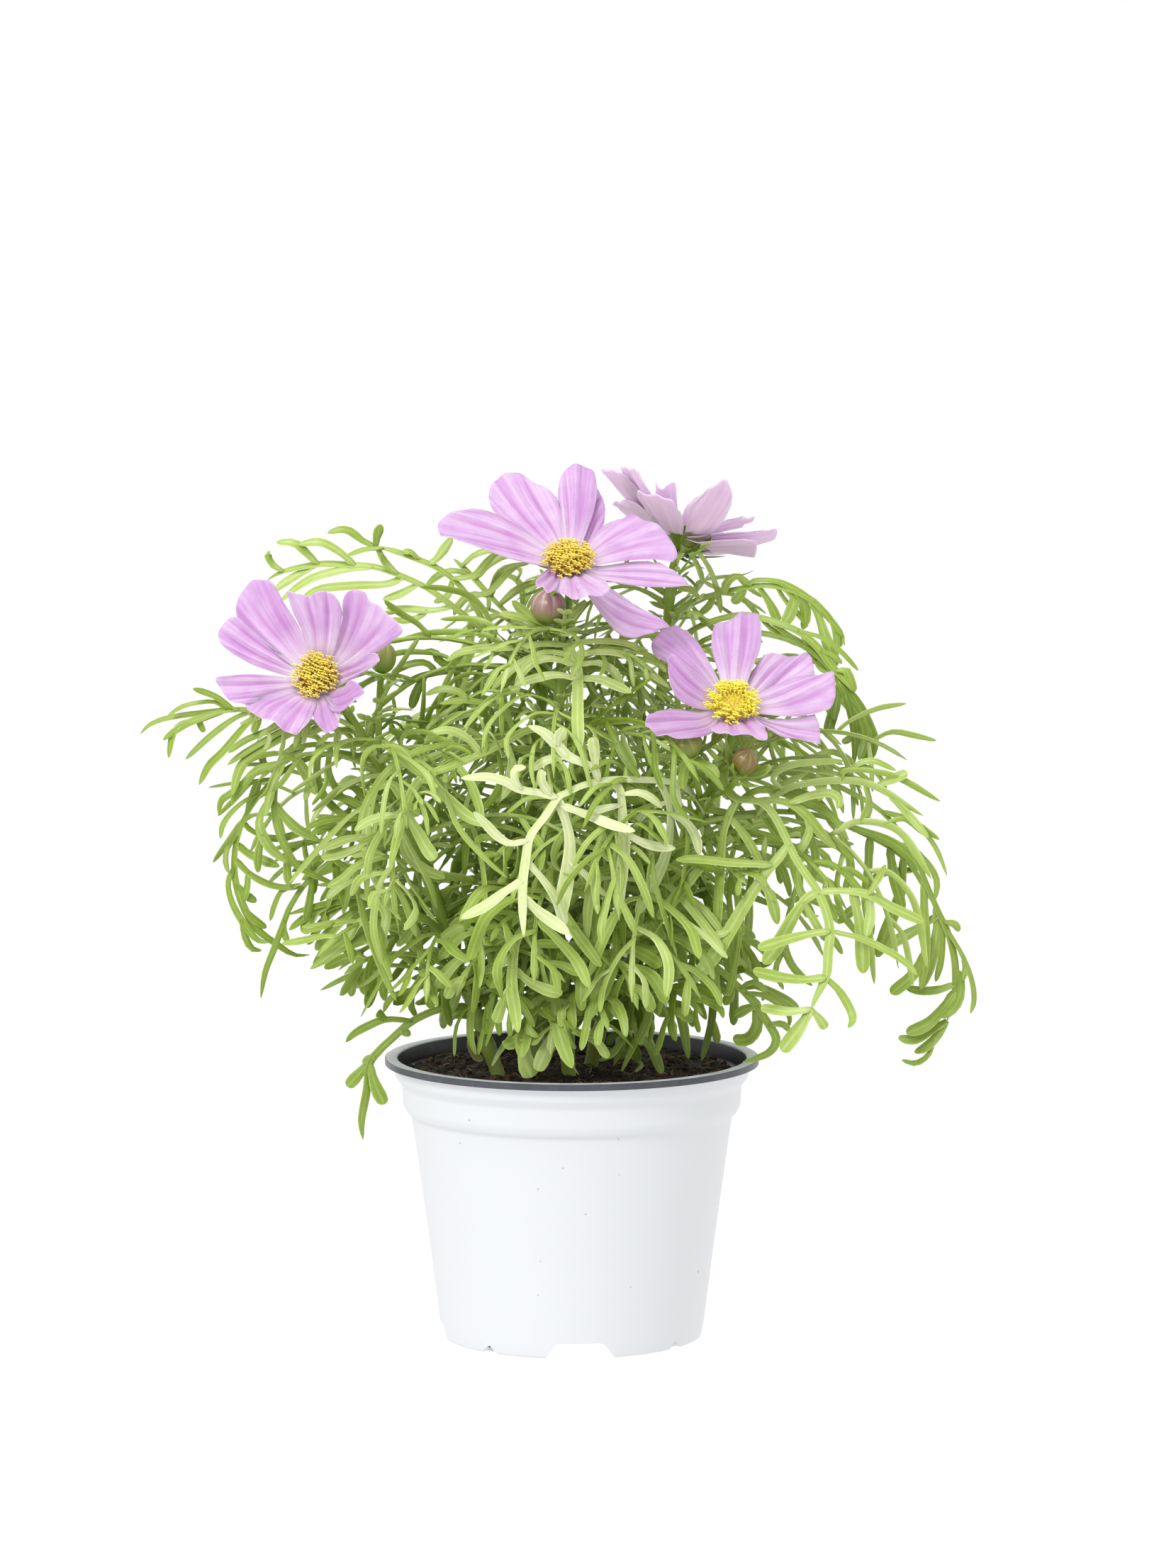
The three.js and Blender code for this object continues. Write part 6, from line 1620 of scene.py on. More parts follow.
def add_cup(soup, axes, radius, depth, foot, tone=0.3, brown=0.0):
    profile = [(0.2, -depth - 1.0), (foot, -depth - 0.8), (foot * 1.3, -depth),
               (radius * 0.8, -depth * 0.7), (radius, -depth * 0.25), (radius * 0.94, -0.05),
               (0.2, 0.0)]
    spun(soup, axes, profile, 20, tone=tone, brown=brown)


def add_bracts(soup, axes, rng, count, radius, height, reach, width, climb, curl, tone,
               uneven=0.0, blunt=0.0, brown=0.0):
    origin, right, upper, axis = axes
    for k in range(count):
        a = 2 * math.pi * (k + 0.3) / count
        outward = right * math.cos(a) + upper * math.sin(a)
        rise = climb + rng.uniform(-1, 1) * uneven
        lobe = {"root": origin + outward * radius + axis * height,
                "start": unit(outward + axis * rise), "curl": axis * curl, "normal": axis,
                "reach": reach * (1 + rng.uniform(-0.4, 0.4) * uneven), "width": width}
        add_lobe(soup, lobe, rng, 8, tone, blunt, 0.8, brown)


# Materials.

class Look:
    """A material while it is built, and short ways to add its nodes."""

    def __init__(self, name):
        self.material = bpy.data.materials.new(name)
        self.material.use_nodes = True
        self.tree = self.material.node_tree
        self.shader = self.tree.nodes["Principled BSDF"]

    def new(self, kind, **settings):
        node = self.tree.nodes.new(kind)
        for key, value in settings.items():
            setattr(node, key, value)
        return node

    def feed(self, socket, given):
        """Gives a socket a number, a colour or the output of another node."""
        if isinstance(given, tuple):
            socket.default_value = (*given, 1)
        elif isinstance(given, (int, float)):
            socket.default_value = given
        else:
            self.tree.links.new(given, socket)

    def value(self, name):
        """The values that a piece's vertices carry under a name."""
        return self.new("ShaderNodeAttribute", attribute_name=name).outputs["Fac"]

    def position(self):
        return self.new("ShaderNodeNewGeometry").outputs["Position"]

    def noise(self, vector, scale, detail=3.0, rough=0.55):
        node = self.new("ShaderNodeTexNoise")
        node.inputs["Scale"].default_value = scale
        node.inputs["Detail"].default_value = detail
        node.inputs["Roughness"].default_value = rough
        self.feed(node.inputs["Vector"], vector)
        return node.outputs["Fac"]

    def maths(self, operation, *given, clamp=False):
        node = self.new("ShaderNodeMath", operation=operation, use_clamp=clamp)
        for socket, part in zip(node.inputs, given):
            self.feed(socket, part)
        return node.outputs[0]

    def times(self, a, b):
        return self.maths("MULTIPLY", a, b)

    def plus(self, a, b, clamp=False):
        return self.maths("ADD", a, b, clamp=clamp)

    def minus(self, a, b, clamp=False):
        return self.maths("SUBTRACT", a, b, clamp=clamp)

    def power(self, a, b):
        return self.maths("POWER", a, b)

    def ridges(self, across, rate):
        """Arches side by side, with a sharp valley between them."""
        return self.maths("ABSOLUTE", self.maths("SINE", self.times(across, rate)))

    def ramp(self, factor, stops):
        node = self.new("ShaderNodeValToRGB")
        elements = node.color_ramp.elements
        while len(elements) < len(stops):
            elements.new(0.5)
        for element, (place, colour) in zip(elements, stops):
            element.position = place
            element.color = (*colour, 1)
        self.feed(node.inputs["Fac"], factor)
        return node.outputs["Color"]

    def greys(self, factor, stops):
        return self.ramp(factor, [(place, (grey, grey, grey)) for place, grey in stops])

    def mix(self, factor, a, b):
        node = self.new("ShaderNodeMix", data_type="RGBA")
        for socket, given in zip((node.inputs[0], node.inputs[6], node.inputs[7]), (factor, a, b)):
            self.feed(socket, given)
        return node.outputs[2]

    def combine(self, x, y, z):
        node = self.new("ShaderNodeCombineXYZ")
        for socket, given in zip(node.inputs, (x, y, z)):
            self.feed(socket, given)
        return node.outputs[0]

    def bump(self, height, strength, distance):
        node = self.new("ShaderNodeBump")
        node.inputs["Strength"].default_value = strength
        node.inputs["Distance"].default_value = distance
        self.feed(node.inputs["Height"], height)
        return node.outputs["Normal"]

    def finished(self, colour, settings, relief=None):
        """The material with its colour, its plain settings and its relief."""
        self.feed(self.shader.inputs["Base Color"], colour)
        for name, value in settings.items():
            self.shader.inputs[name].default_value = value
        if relief is not None:
            self.feed(self.shader.inputs["Normal"], relief)
        return self.material


def leaf_material():
    look = Look("leaf_green")
    edge = look.value("edge")
    tone = look.value("tone")
    place = look.position()
    mottle = look.noise(place, 260)
    fine = look.noise(place, 600, 2)
    vein_at = look.combine(look.times(edge, 9.0), look.times(look.value("along"), 2.5),
                           look.times(tone, 60.0))
    veins = look.noise(vein_at, 1.0, 3)
    varied = look.plus(look.times(look.minus(mottle, 0.5), 0.2),
                       look.times(look.minus(veins, 0.5), 0.34))
    # Paler rims and a paler centre line: partly the lobe's own pale margin and midrib, partly a painted
    # highlight.
    centre = look.minus(1.0, look.times(edge, 3.5), clamp=True)
    pale = look.plus(look.times(look.power(edge, 6.0), 0.24), look.times(centre, 0.2))
    shade = look.plus(look.plus(tone, varied), look.minus(pale, 0.03), clamp=True)
    colour = look.ramp(shade, [(0.0, (0.1, 0.16, 0.01)), (0.25, (0.2, 0.3, 0.024)),
                               (0.5, (0.315, 0.435, 0.075)), (0.72, (0.45, 0.555, 0.18)),
                               (0.88, (0.57, 0.64, 0.32)), (1.0, (0.65, 0.7, 0.43))])
    colour = look.mix(look.value("brown"), colour, (0.16, 0.115, 0.04))
    return look.finished(colour, {"Roughness": 0.42, "Specular IOR Level": 0.45},
                         look.bump(look.plus(fine, veins), 0.12, 0.0002))


def petal_material():
    look = Look("petal_lilac")
    along = look.value("along")
    across = look.value("across")
    tone = look.value("tone")
    streak_at = look.combine(look.times(across, 7.0), look.times(along, 0.9), look.times(tone, 7.0))
    streaks = look.noise(streak_at, 1.0, 3)
    fine = look.noise(look.combine(look.times(across, 42.0), look.times(along, 2.2), tone), 1.0, 2)
    blotch = look.noise(look.position(), 150, 3)
    mixed = look.plus(look.times(streaks, 0.85), look.times(fine, 0.22))
    mixed = look.minus(look.plus(mixed, look.times(blotch, 0.38)), 0.255)
    colour = look.ramp(mixed, [(0.2, (0.34, 0.14, 0.37)), (0.42, (0.48, 0.275, 0.53)),
                               (0.6, (0.56, 0.39, 0.6)), (0.85, (0.68, 0.55, 0.7))])
    # Painted shade along the pleats: dark lines in their valleys, strongest midway along the petal.
    painted_fold_shade = look.power(look.ridges(across, PLEAT_RATE), 14.0)
    part = look.greys(along, [(0.0, 0.2), (0.25, 1), (0.7, 0.8), (0.95, 0.1)])
    painted_fold_shade = look.times(look.times(painted_fold_shade, part), look.plus(streaks, 0.2))
    colour = look.mix(painted_fold_shade, colour, (0.38, 0.11, 0.36))
    # Painted shade: petal halves darkened where shade falls on them in the plant.
    colour = look.mix(look.value("dusk"), colour, (0.36, 0.15, 0.4))
    base = look.greys(along, [(0.0, 1), (0.16, 0.8), (0.45, 0)])
    colour = look.mix(look.times(base, 0.5), colour, (0.76, 0.64, 0.75))
    colour = look.mix(look.times(look.value("under"), 0.75), colour, (0.87, 0.61, 0.84))
    return look.finished(colour, {"Roughness": 0.55, "Sheen Weight": 0.15, "Subsurface Weight": 0.5,
                                  "Subsurface Radius": (1.0, 0.7, 1.0), "Subsurface Scale": 0.0025},
                         look.bump(fine, 0.25, 0.0003))


def floret_material(name, stops):
    look = Look(name)
    grain = look.noise(look.position(), 900, 2)
    # Painted shade: the lower down among the florets, the darker the colour.
    mixed = look.plus(look.value("deep"), look.times(look.minus(grain, 0.5), 0.5))
    mixed = look.plus(mixed, look.times(look.value("tone"), 0.16), clamp=True)
    return look.finished(look.ramp(mixed, stops), {"Roughness": 0.6, "Subsurface Weight": 0.1,
                                                   "Subsurface Scale": 0.001})


def bud_material(name, dark, light, pale, green):
    look = Look(name)
    along = look.value("along")
    across = look.value("across")
    lines = look.noise(look.combine(look.times(across, 9.0), along, 0.0), 1.0, 3)
    colour = look.mix(lines, dark, light)
    high = look.greys(along, [(0.45, 0), (0.8, 1)])
    ray = look.plus(look.times(high, 0.5), 0.08)
    colour = look.mix(look.times(look.power(look.ridges(across, 4.0), 9.0), ray), colour, pale)
    unripe = look.times(look.minus(1.0, look.value("tone")), 0.7)
    colour = look.mix(unripe, colour, green)
    colour = look.mix(look.greys(along, [(0.2, 1), (0.52, 0)]), colour, green)
    return look.finished(colour, {"Roughness": 0.32, "Coat Weight": 0.15},
                         look.bump(lines, 0.3, 0.0004))


def soil_material():
    look = Look("potting_soil")
    place = look.position()
    coarse = look.noise(place, 420, 6, 0.7)
    fine = look.noise(place, 2200, 3, 0.7)
    tone = look.value("tone")
    colour = look.ramp(coarse, [(0.3, (0.006, 0.004, 0.003)), (0.5, (0.022, 0.013, 0.008)),
                                (0.66, (0.05, 0.027, 0.016)), (0.8, (0.09, 0.05, 0.028))])
    tint = look.ramp(tone, [(0.0, (0.004, 0.003, 0.002)), (0.55, (0.03, 0.016, 0.01)),
                            (0.8, (0.1, 0.035, 0.018)), (0.93, (0.2, 0.12, 0.045)),
                            (1.0, (0.42, 0.33, 0.17))])
    return look.finished(look.mix(tone, colour, tint), {"Roughness": 0.85},
                         look.bump(look.plus(coarse, fine), 0.8, 0.0008))


def white_plastic():
    """The pot's outside: cloudy white with dark specks and rubbed places."""
    look = Look("pot_white")
    place = look.position()
    cloud = look.noise(place, 22, 4)
    speck = look.noise(place, 330, 1)
    scuff = look.noise(place, 70, 8, 0.75)
    colour = look.mix(look.times(cloud, 0.25), (0.72, 0.735, 0.755), (0.67, 0.685, 0.705))
    dark = look.greys(speck, [(0.0, 0), (0.785, 0), (0.795, 1)])
    colour = look.mix(look.times(dark, 0.5), colour, (0.32, 0.3, 0.27))
    rub = look.greys(scuff, [(0.62, 0), (0.7, 1)])
    colour = look.mix(look.times(rub, 0.12), colour, (0.6, 0.61, 0.62))
    return look.finished(colour, {"Roughness": 0.36},
                         look.bump(look.plus(cloud, look.noise(place, 1800, 2)), 0.05, 0.0003))


def mottled_plastic(name, scale, detail, stops, roughness, strength, finer=None):
    """A plastic whose relief follows its colour, or a finer noise where one is given."""
    look = Look(name)
    place = look.position()
    mottling = look.noise(place, scale, detail, 0.7)
    relief = look.noise(place, *finer) if finer else mottling
    return look.finished(look.ramp(mottling, stops), {"Roughness": roughness},
                         look.bump(relief, strength, 0.0003))


leaf_green = leaf_material()
petal_lilac = petal_material()
disc_looks = {
    "disc_gold": floret_material("floret_gold", [
        (0.0, (0.95, 0.8, 0.15)), (0.4, (0.92, 0.72, 0.09)), (0.75, (0.62, 0.38, 0.04)),
        (1.0, (0.27, 0.14, 0.02))]),
    "disc_lemon": floret_material("floret_lemon", [
        (0.0, (0.97, 0.9, 0.13)), (0.4, (0.95, 0.83, 0.08)), (0.75, (0.92, 0.76, 0.07)),
        (1.0, (0.62, 0.46, 0.06))]),
}
bud_looks = {
    "bud_rose": bud_material("bud_rose", (0.2, 0.085, 0.09), (0.42, 0.26, 0.22), (0.72, 0.6, 0.58),
                             (0.27, 0.34, 0.07)),
    "bud_dark": bud_material("bud_dark", (0.14, 0.07, 0.02), (0.27, 0.18, 0.05), (0.38, 0.36, 0.12),
                             (0.2, 0.27, 0.04)),
    "bud_green": bud_material("bud_green", (0.14, 0.16, 0.02), (0.31, 0.33, 0.06), (0.5, 0.46, 0.17),
                              (0.17, 0.26, 0.03)),
}
soil_dark = soil_material()

WHITE, BLACK, FLANGE_REFLECTION, SLATE = range(4)
pot_looks = [
    white_plastic(),
    mottled_plastic("pot_black", 160, 6, [(0.35, (0.014, 0.016, 0.022)), (0.6, (0.03, 0.034, 0.042)),
                                       (0.8, (0.08, 0.075, 0.07))], 0.3, 0.12, (700, 3)),
    # The rim's flat top: a light grey that is a painted reflection, standing in for the gloss of dark
    # plastic.
    mottled_plastic("pot_flange_reflection", 260, 5, [(0.3, (0.4, 0.42, 0.45)), (0.6, (0.53, 0.55, 0.58)),
                                        (0.8, (0.62, 0.64, 0.66))], 0.4, 0.05),
    mottled_plastic("pot_slate", 240, 5, [(0.3, (0.045, 0.048, 0.06)), (0.6, (0.065, 0.07, 0.085)),
                                       (0.8, (0.12, 0.125, 0.14))], 0.35, 0.08),
]


# The pot: a smooth shell with its channels and drains cut. The rings on its wall
# lie closer near the foot, where the notches end.

POT_SIDES = 144
DRAIN_SIDES = 32
WALL_RINGS = (5.6, 6.4, 7.6, 9.5, 12.5, 17, 23, 36, 48, 58)
OUTER_ROUNDING = 0.9
INNER_ROUNDING = 0.8
LIP = [(RIM_RADIUS, RIM_HEIGHT - 0.2), (RIM_RADIUS - 0.3, RIM_HEIGHT)]
FLANGE_TOP = (57.5, RIM_HEIGHT)

# Bars under the floor make the channels: how far out, and from what height, their
# roofs and the cuts for channels and notches go, and how far a bar spreads below.
ROOF_REACH = 50.0
ROOF_FROM = 0.7
NARROW_START = 39.0
CUT_REACH = 60.0
CUT_FROM = -2.0
CUT_TOP = 9
BAR_SPLAY = 1.5

# Edges of the pot that are sharper than this many degrees stay sharp.
POT_EDGE = 38


def rounded(profile, radius, steps=4):
    """The profile with its inner corners rounded."""
    out = [profile[0]]
    for before, here, after in zip(profile, profile[1:], profile[2:]):
        a, b, c = (np.array(p, float) for p in (before, here, after))
        cut = min(radius, np.linalg.norm(a - b) * 0.4, np.linalg.norm(c - b) * 0.4)
        p, q = b + unit(a - b) * cut, b + unit(c - b) * cut
        for k in range(steps + 1):
            t = k / steps
            out.append(tuple(p * (1 - t) ** 2 + b * 2 * t * (1 - t) + q * t * t))
    out.append(profile[-1])
    return out


def solid_object(name, bm):
    """An object made of a closed mesh, its faces turned outward."""
    bmesh.ops.recalc_face_normals(bm, faces=bm.faces)
    mesh = bpy.data.meshes.new(name)
    bm.to_mesh(mesh)
    bm.free()
    return linked(name, mesh)


def lathe_object(name, profile, sides):
    """A closed lathe about Z whose profile starts and ends on the axis."""
    bm = bmesh.new()
    rings = []
    for r, z in profile:
        if r < 1e-6:
            rings.append([bm.verts.new((0, 0, z * MM))])
        else:
            rings.append([bm.verts.new((r * MM * math.cos(2 * math.pi * k / sides),
                                        r * MM * math.sin(2 * math.pi * k / sides), z * MM))
                          for k in range(sides)])
    for low, high in zip(rings, rings[1:]):
        for k in range(sides):
            m = (k + 1) % sides
            if len(low) == 1:
                bm.faces.new((low[0], high[m], high[k]))
            elif len(high) == 1:
                bm.faces.new((low[k], low[m], high[0]))
            else:
                bm.faces.new((low[k], low[m], high[m], high[k]))
    return solid_object(name, bm)


def plug_object(name, radius, sides):
    """A plain cylinder through the pot's floor."""
    return lathe_object(name, [(0, -1), (radius, -1), (radius, CUT_TOP), (0, CUT_TOP)], sides)


def bar_object(angle, size, start, end, low, corner):
    """A bar running outward under the floor, its section a rounded trapezoid."""
    bottom, top, height = size
    out = compass(angle)
    side = vec(-out[1], out[0], 0)
    splay = bottom / 2 + BAR_SPLAY
    half = rounded([(splay, 0), (bottom / 2, 0), (top / 2, height), (0, height)], corner, 5)
    half = [(splay, low)] + half[:-1]
    section = half + [(-s, z) for s, z in reversed(half)]
    bm = bmesh.new()
    near, far = ([bm.verts.new(Vector((out * d + side * s + UP * z) * MM)) for s, z in section]
                 for d in (start, end))
    n = len(section)
    for k in range(n):
        m = (k + 1) % n
        bm.faces.new((near[k], near[m], far[m], far[k]))
    bm.faces.new(near[::-1])
    bm.faces.new(far)
    return solid_object("bar", bm)


def carve(obj, other, operation):
    """Joins another object to one, or cuts one with it, and uses it up."""
    cut = obj.modifiers.new("cut", "BOOLEAN")
    cut.operation = operation
    cut.solver = "EXACT"
    cut.object = other
    graph = bpy.context.evaluated_depsgraph_get()
    made = bpy.data.meshes.new_from_object(obj.evaluated_get(graph))
    obj.modifiers.clear()
    old = obj.data
    obj.data = made
    bpy.data.meshes.remove(old)
    spent = other.data
    bpy.data.objects.remove(other)
    bpy.data.meshes.remove(spent)


def with_rings(profile, heights):
    """The profile with points added on its sloping walls at some heights."""
    out = [profile[0]]
    for (r0, z0), (r1, z1) in zip(profile, profile[1:]):
        if abs(z1 - z0) > 3:
            between = [z for z in heights if min(z0, z1) + 0.5 < z < max(z0, z1) - 0.5]
            for z in sorted(between, reverse=bool(z1 < z0)):
                out.append((lerp(r0, r1, (z - z0) / (z1 - z0)), z))
        out.append((r1, z1))
    return out


def pot_look(centre):
    """The plastic that shows at a face of the pot."""
    x, y, z = centre
    r = math.hypot(x, y)
    outer = float(np.interp(z, [height for _, height in POT_OUTSIDE[1:]],
                            [radius for radius, _ in POT_OUTSIDE[1:]]))
    if z > FLANGE_UNDERSIDE + 0.2 and r > RIM_RADIUS - 0.5:
        return SLATE
    # The rim's flat top gets the light grey of its painted reflection.
    if z > RIM_HEIGHT - 0.25 and r > RIM_INNER_RADIUS:
        return FLANGE_REFLECTION
    if z > WIDE_NOTCH[2] + 0.2 and r < outer - 0.45:
        return BLACK
    return WHITE


def build_pot():
    outside = rounded(POT_OUTSIDE[:-1], OUTER_ROUNDING) + LIP
    inside = rounded([FLANGE_TOP] + POT_INSIDE, INNER_ROUNDING)
    pot = lathe_object("pot_shell", with_rings(outside + inside, WALL_RINGS), POT_SIDES)
    angles = [NOTCH_TURN + 90 * k - 90 for k in range(4)]
    bottom, top, height = WIDE_NOTCH
    roof = (bottom + 2 * CHANNEL_ROOF, top + 2 * CHANNEL_ROOF, height + CHANNEL_ROOF)
    for angle in angles:
        bar = bar_object(angle, roof, CHANNEL_START - CHANNEL_ROOF, ROOF_REACH, ROOF_FROM, 0.6)
        carve(bar, plug_object("within", ROOF_RADIUS, POT_SIDES), "INTERSECT")
        carve(pot, bar, "UNION")
    for angle in angles:
        wide = bar_object(angle, WIDE_NOTCH, CHANNEL_START, CUT_REACH, CUT_FROM, 1.6)
        carve(pot, wide, "DIFFERENCE")
        narrow = bar_object(angle + NARROW_OFFSET, NARROW_NOTCH, NARROW_START, CUT_REACH, CUT_FROM, 0.6)
        carve(pot, narrow, "DIFFERENCE")
        hole = plug_object("drain", DRAIN_RADIUS, DRAIN_SIDES)
        hole.data.transform(Matrix.Translation(Vector(compass(angle) * DRAIN_DISTANCE * MM)))
        carve(pot, hole, "DIFFERENCE")
    mesh = pot.data
    mesh.materials.clear()
    for look in pot_looks:
        mesh.materials.append(look)
    for face in mesh.polygons:
        face.material_index = pot_look(face.center / MM)
    mesh.shade_smooth()
    mesh.set_sharp_from_angle(angle=math.radians(POT_EDGE))
    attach(pot, "root")
    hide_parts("pot")


build_pot()


# Soil: the solid keeps its shape, under a crumbly top layer that comes down to the
# height LAYER_EDGE at the pot's wall.

soil_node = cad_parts["soil"]
soil_node.data.materials.clear()
soil_node.data.materials.append(soil_dark)

LAYER_RINGS = 62
LAYER_SPOKES = 190
LAYER_RADIUS = 54.4
LAYER_FADE = 51.5
LAYER_EDGE = 83.4
LAYER_FOOT = 83.6
CRUMBS = 1500
CRUMB_SIZES = (0.35, 0.5, 0.5, 0.7, 1.0, 1.5)
CRUMB_TONES = (0.1, 0.2, 0.3, 0.45, 0.6, 0.75, 0.85)
CRUMB_SPREAD = 53.2
FIBRES = 520
FIBRE_TONES = (0.82, 0.9, 0.96, 1.0)
FIBRE_SPREAD = 52.5
FIBRE_LIMIT = 53.5
LONG_FIBRE = 4

# Where the stems leave the soil: a share of their curves, and the places.
STEM_FOOT = 0.12
STEM_FEET = [curve(STEM_FOOT)[:2] for curve in CURVES.values()]


def crumbly(x, y):
    """The height of the crumbly top."""
    place = Vector((x, y, 0.0))
    coarse = noise.fractal(place * 0.16, 0.9, 2.1, 5)
    lumps = abs(noise.noise(place * 0.42)) * 1.3
    return soil_height(x, y) + 0.35 + 0.55 * coarse + 0.7 * lumps


def add_soil_top(soup):
    """The crumbly top as a thin closed layer."""
    sides = LAYER_SPOKES
    points = []
    for r in np.linspace(0.4, LAYER_RADIUS, LAYER_RINGS):
        fade = 1 - smooth(r, LAYER_FADE, LAYER_RADIUS)
        for k in range(sides):
            a = 2 * math.pi * k / sides
            x, y = r * math.cos(a), r * math.sin(a)
            points.append((x, y, lerp(LAYER_EDGE, crumbly(x, y), fade)))
    top = np.array(points)
    low = top.copy()
    low[:, 2] = np.minimum(low[:, 2], LAYER_FOOT) - 1.0
    count = len(top)
    faces = []
    for r in range(LAYER_RINGS - 1):
        for k in range(sides):
            a, b = r * sides + k, r * sides + (k + 1) % sides
            faces.append((a, a + sides, b + sides, b))
            faces.append((count + a, count + b, count + b + sides, count + a + sides))
    faces.append(tuple(range(sides)))
    faces.append(tuple(range(count, count + sides))[::-1])
    edge = (LAYER_RINGS - 1) * sides
    for k in range(sides):
        a, b = edge + k, edge + (k + 1) % sides
        faces.append((a, count + a, count + b, b))
    soup.add(np.concatenate([top, low]), faces, tone=0.0)


def crumb_shape():
    bm = bmesh.new()
    bmesh.ops.create_icosphere(bm, subdivisions=1, radius=1)
    points = np.array([v.co[:] for v in bm.verts])
    faces = [tuple(v.index for v in face.verts) for face in bm.faces]
    bm.free()
    return points, faces


def place_on_soil(rng, spread):
    """A place drawn evenly from a disc."""
    a = rng.uniform(0, 2 * math.pi)
    r = spread * math.sqrt(rng.random())
    return r * math.cos(a), r * math.sin(a)


def clear_of_stems(x, y, distance):
    return all(math.hypot(x - foot_x, y - foot_y) > distance for foot_x, foot_y in STEM_FEET)


def add_crumbs(soup, rng):
    ball, faces = crumb_shape()
    for _ in range(CRUMBS):
        x, y = place_on_soil(rng, CRUMB_SPREAD)
        size = rng.choice(CRUMB_SIZES) * rng.uniform(0.7, 1.2)
        if not clear_of_stems(x, y, 3 + size):
            continue
        squash = vec(rng.uniform(0.7, 1.3), rng.uniform(0.7, 1.3), rng.uniform(0.5, 0.9))
        lumps = 1 + 0.22 * np.array([rng.uniform(-1, 1) for _ in ball])
        points = ball * lumps[:, None] * squash * size
        points = points + vec(x, y, crumbly(x, y) + size * 0.1)
        soup.add(points, faces, tone=rng.choice(CRUMB_TONES))


def add_fibres(soup, rng):
    for _ in range(FIBRES):
        x, y = place_on_soil(rng, FIBRE_SPREAD)
        if not clear_of_stems(x, y, 4):
            continue
        turn = rng.uniform(0, 2 * math.pi)
        reach = rng.uniform(1.5, 5.5)
        bend = rng.uniform(-1.4, 1.4)
        line = []
        for t in np.linspace(0, 1, 6):
            fx = x + reach * t * math.cos(turn + bend * t)
            fy = y + reach * t * math.sin(turn + bend * t)
            if math.hypot(fx, fy) > FIBRE_LIMIT:
                break
            arch = 0.7 * math.sin(math.pi * t) if reach > LONG_FIBRE else 0
            lift = rng.uniform(0.1, 0.5) + arch
            line.append(vec(fx, fy, crumbly(fx, fy) + lift))
        if len(line) > 3:
            radius = rng.uniform(0.07, 0.15)
            tube(soup, line, [radius] * len(line), 4, tone=rng.choice(FIBRE_TONES))


soil_soup = Soup("tone")
soil_rng = random.Random(5)
add_soil_top(soil_soup)
add_crumbs(soil_soup, soil_rng)
add_fibres(soil_soup, soil_rng)
soil_soup.piece("soil_crumbs", soil_dark, "soil")


# Flowers and buds. The leaves keep clear of them and of the pot's wall.

HUB = [(0.2, GAP), (HUB_RADIUS - 0.8, GAP), (HUB_RADIUS, 0.9), (HUB_RADIUS - 0.3, HUB_HEIGHT),
       (0.2, HUB_HEIGHT)]
POT_AXES = (vec(0, 0, 0), vec(1, 0, 0), vec(0, 1, 0), UP)
POT_WALL = [(42, 0), (54.5, 81), (60.4, 88), (60.4, 90.6), (55, 90.6)]

for index, flower in enumerate(FLOWERS):
    rng = random.Random(100 + index)
    axes = flower_frame(flower)
    name = f"flower_{index + 1}"
    petals = Soup("along", "across", "under", "tone", "dusk")
    for k, petal in enumerate(flower["petals"]):
        add_petal(petals, axes, flower, petal, (k % 2) * PETAL_LAYER, rng)
    spun(petals, axes, HUB, 24, across=0.0, along=0.2, tone=0.4)
    petals.piece(f"{name}_petals_fine", petal_lilac, "petals", [f"{name}_petals"])
    room.add(petals.all_points(), petals.faces)
    room.blooms.append(axes)
    florets = Soup("tone", "deep")
    add_florets(florets, axes, flower, rng)
    florets.piece(f"{name}_florets", disc_looks[flower["slot"]], flower["slot"], [f"{name}_disc"])

for bud in BUDS:
    soup = Soup("tone", "along", "across")
    add_bud(soup, bud_frame(bud), bud)
    look = bud_looks[bud.get("look", bud["slot"])]
    soup.piece(f"{bud['name']}_scales", look, bud["slot"], [bud["name"]])
    room.add(soup.all_points(), soup.faces)

wall = Soup()
spun(wall, POT_AXES, POT_WALL, 48)
room.add(wall.all_points(), [face for face in wall.faces if len(face) == 4])


# Foliage: one piece for each leafy stem.

STEM_PLACES = 90
STEM_SIDES = 16
STEM_FOOT_RADIUS = 2.3
STEM_TOP_RADIUS = 1.25
WOODY_STEMS = ("right", "back")

# Leaves whose tone is given; the other tones follow from where they grow, with painted light and shade:
# paler high up and towards the front.
ROW_TONES = {10: 0.6, 12: 0.62, 29: 0.28}

# The leaves between the main ones: the lowest one's height, how far below a stem's
# end they stop, and the turn from one to the next.
EXTRA_START = 108.0
EXTRA_END = 16
TURN_BETWEEN = 137.5


def stem_tube(soup, name):
    """A stem: thicker where it leaves the soil and where leaves leave it."""
    curve = CURVES[name]
    shares = np.linspace(0, 1, STEM_PLACES)
    centres = np.array([curve(t) for t in shares])
    radii = lerp(STEM_FOOT_RADIUS, STEM_TOP_RADIUS, shares ** 0.8)
    radii = radii + 0.5 * np.exp(-((shares - STEM_FOOT) / 0.02) ** 2)
    for row in LEAVES:
        if row[0] == name:
            radii = radii + 0.35 * np.exp(-((shares - share_at(curve, row[1])) / 0.012) ** 2)
    woody = 0.5 if name in WOODY_STEMS else 0.12
    brown = woody * (1 - smooth(shares, 0.05, 0.25))
    tone = lerp(0.5, 0.34, smooth(shares, 0.1, 0.4))
    tube(soup, centres, radii, STEM_SIDES, 0.035, tone=np.repeat(tone, STEM_SIDES),
         brown=np.repeat(brown, STEM_SIDES), edge=0.5)


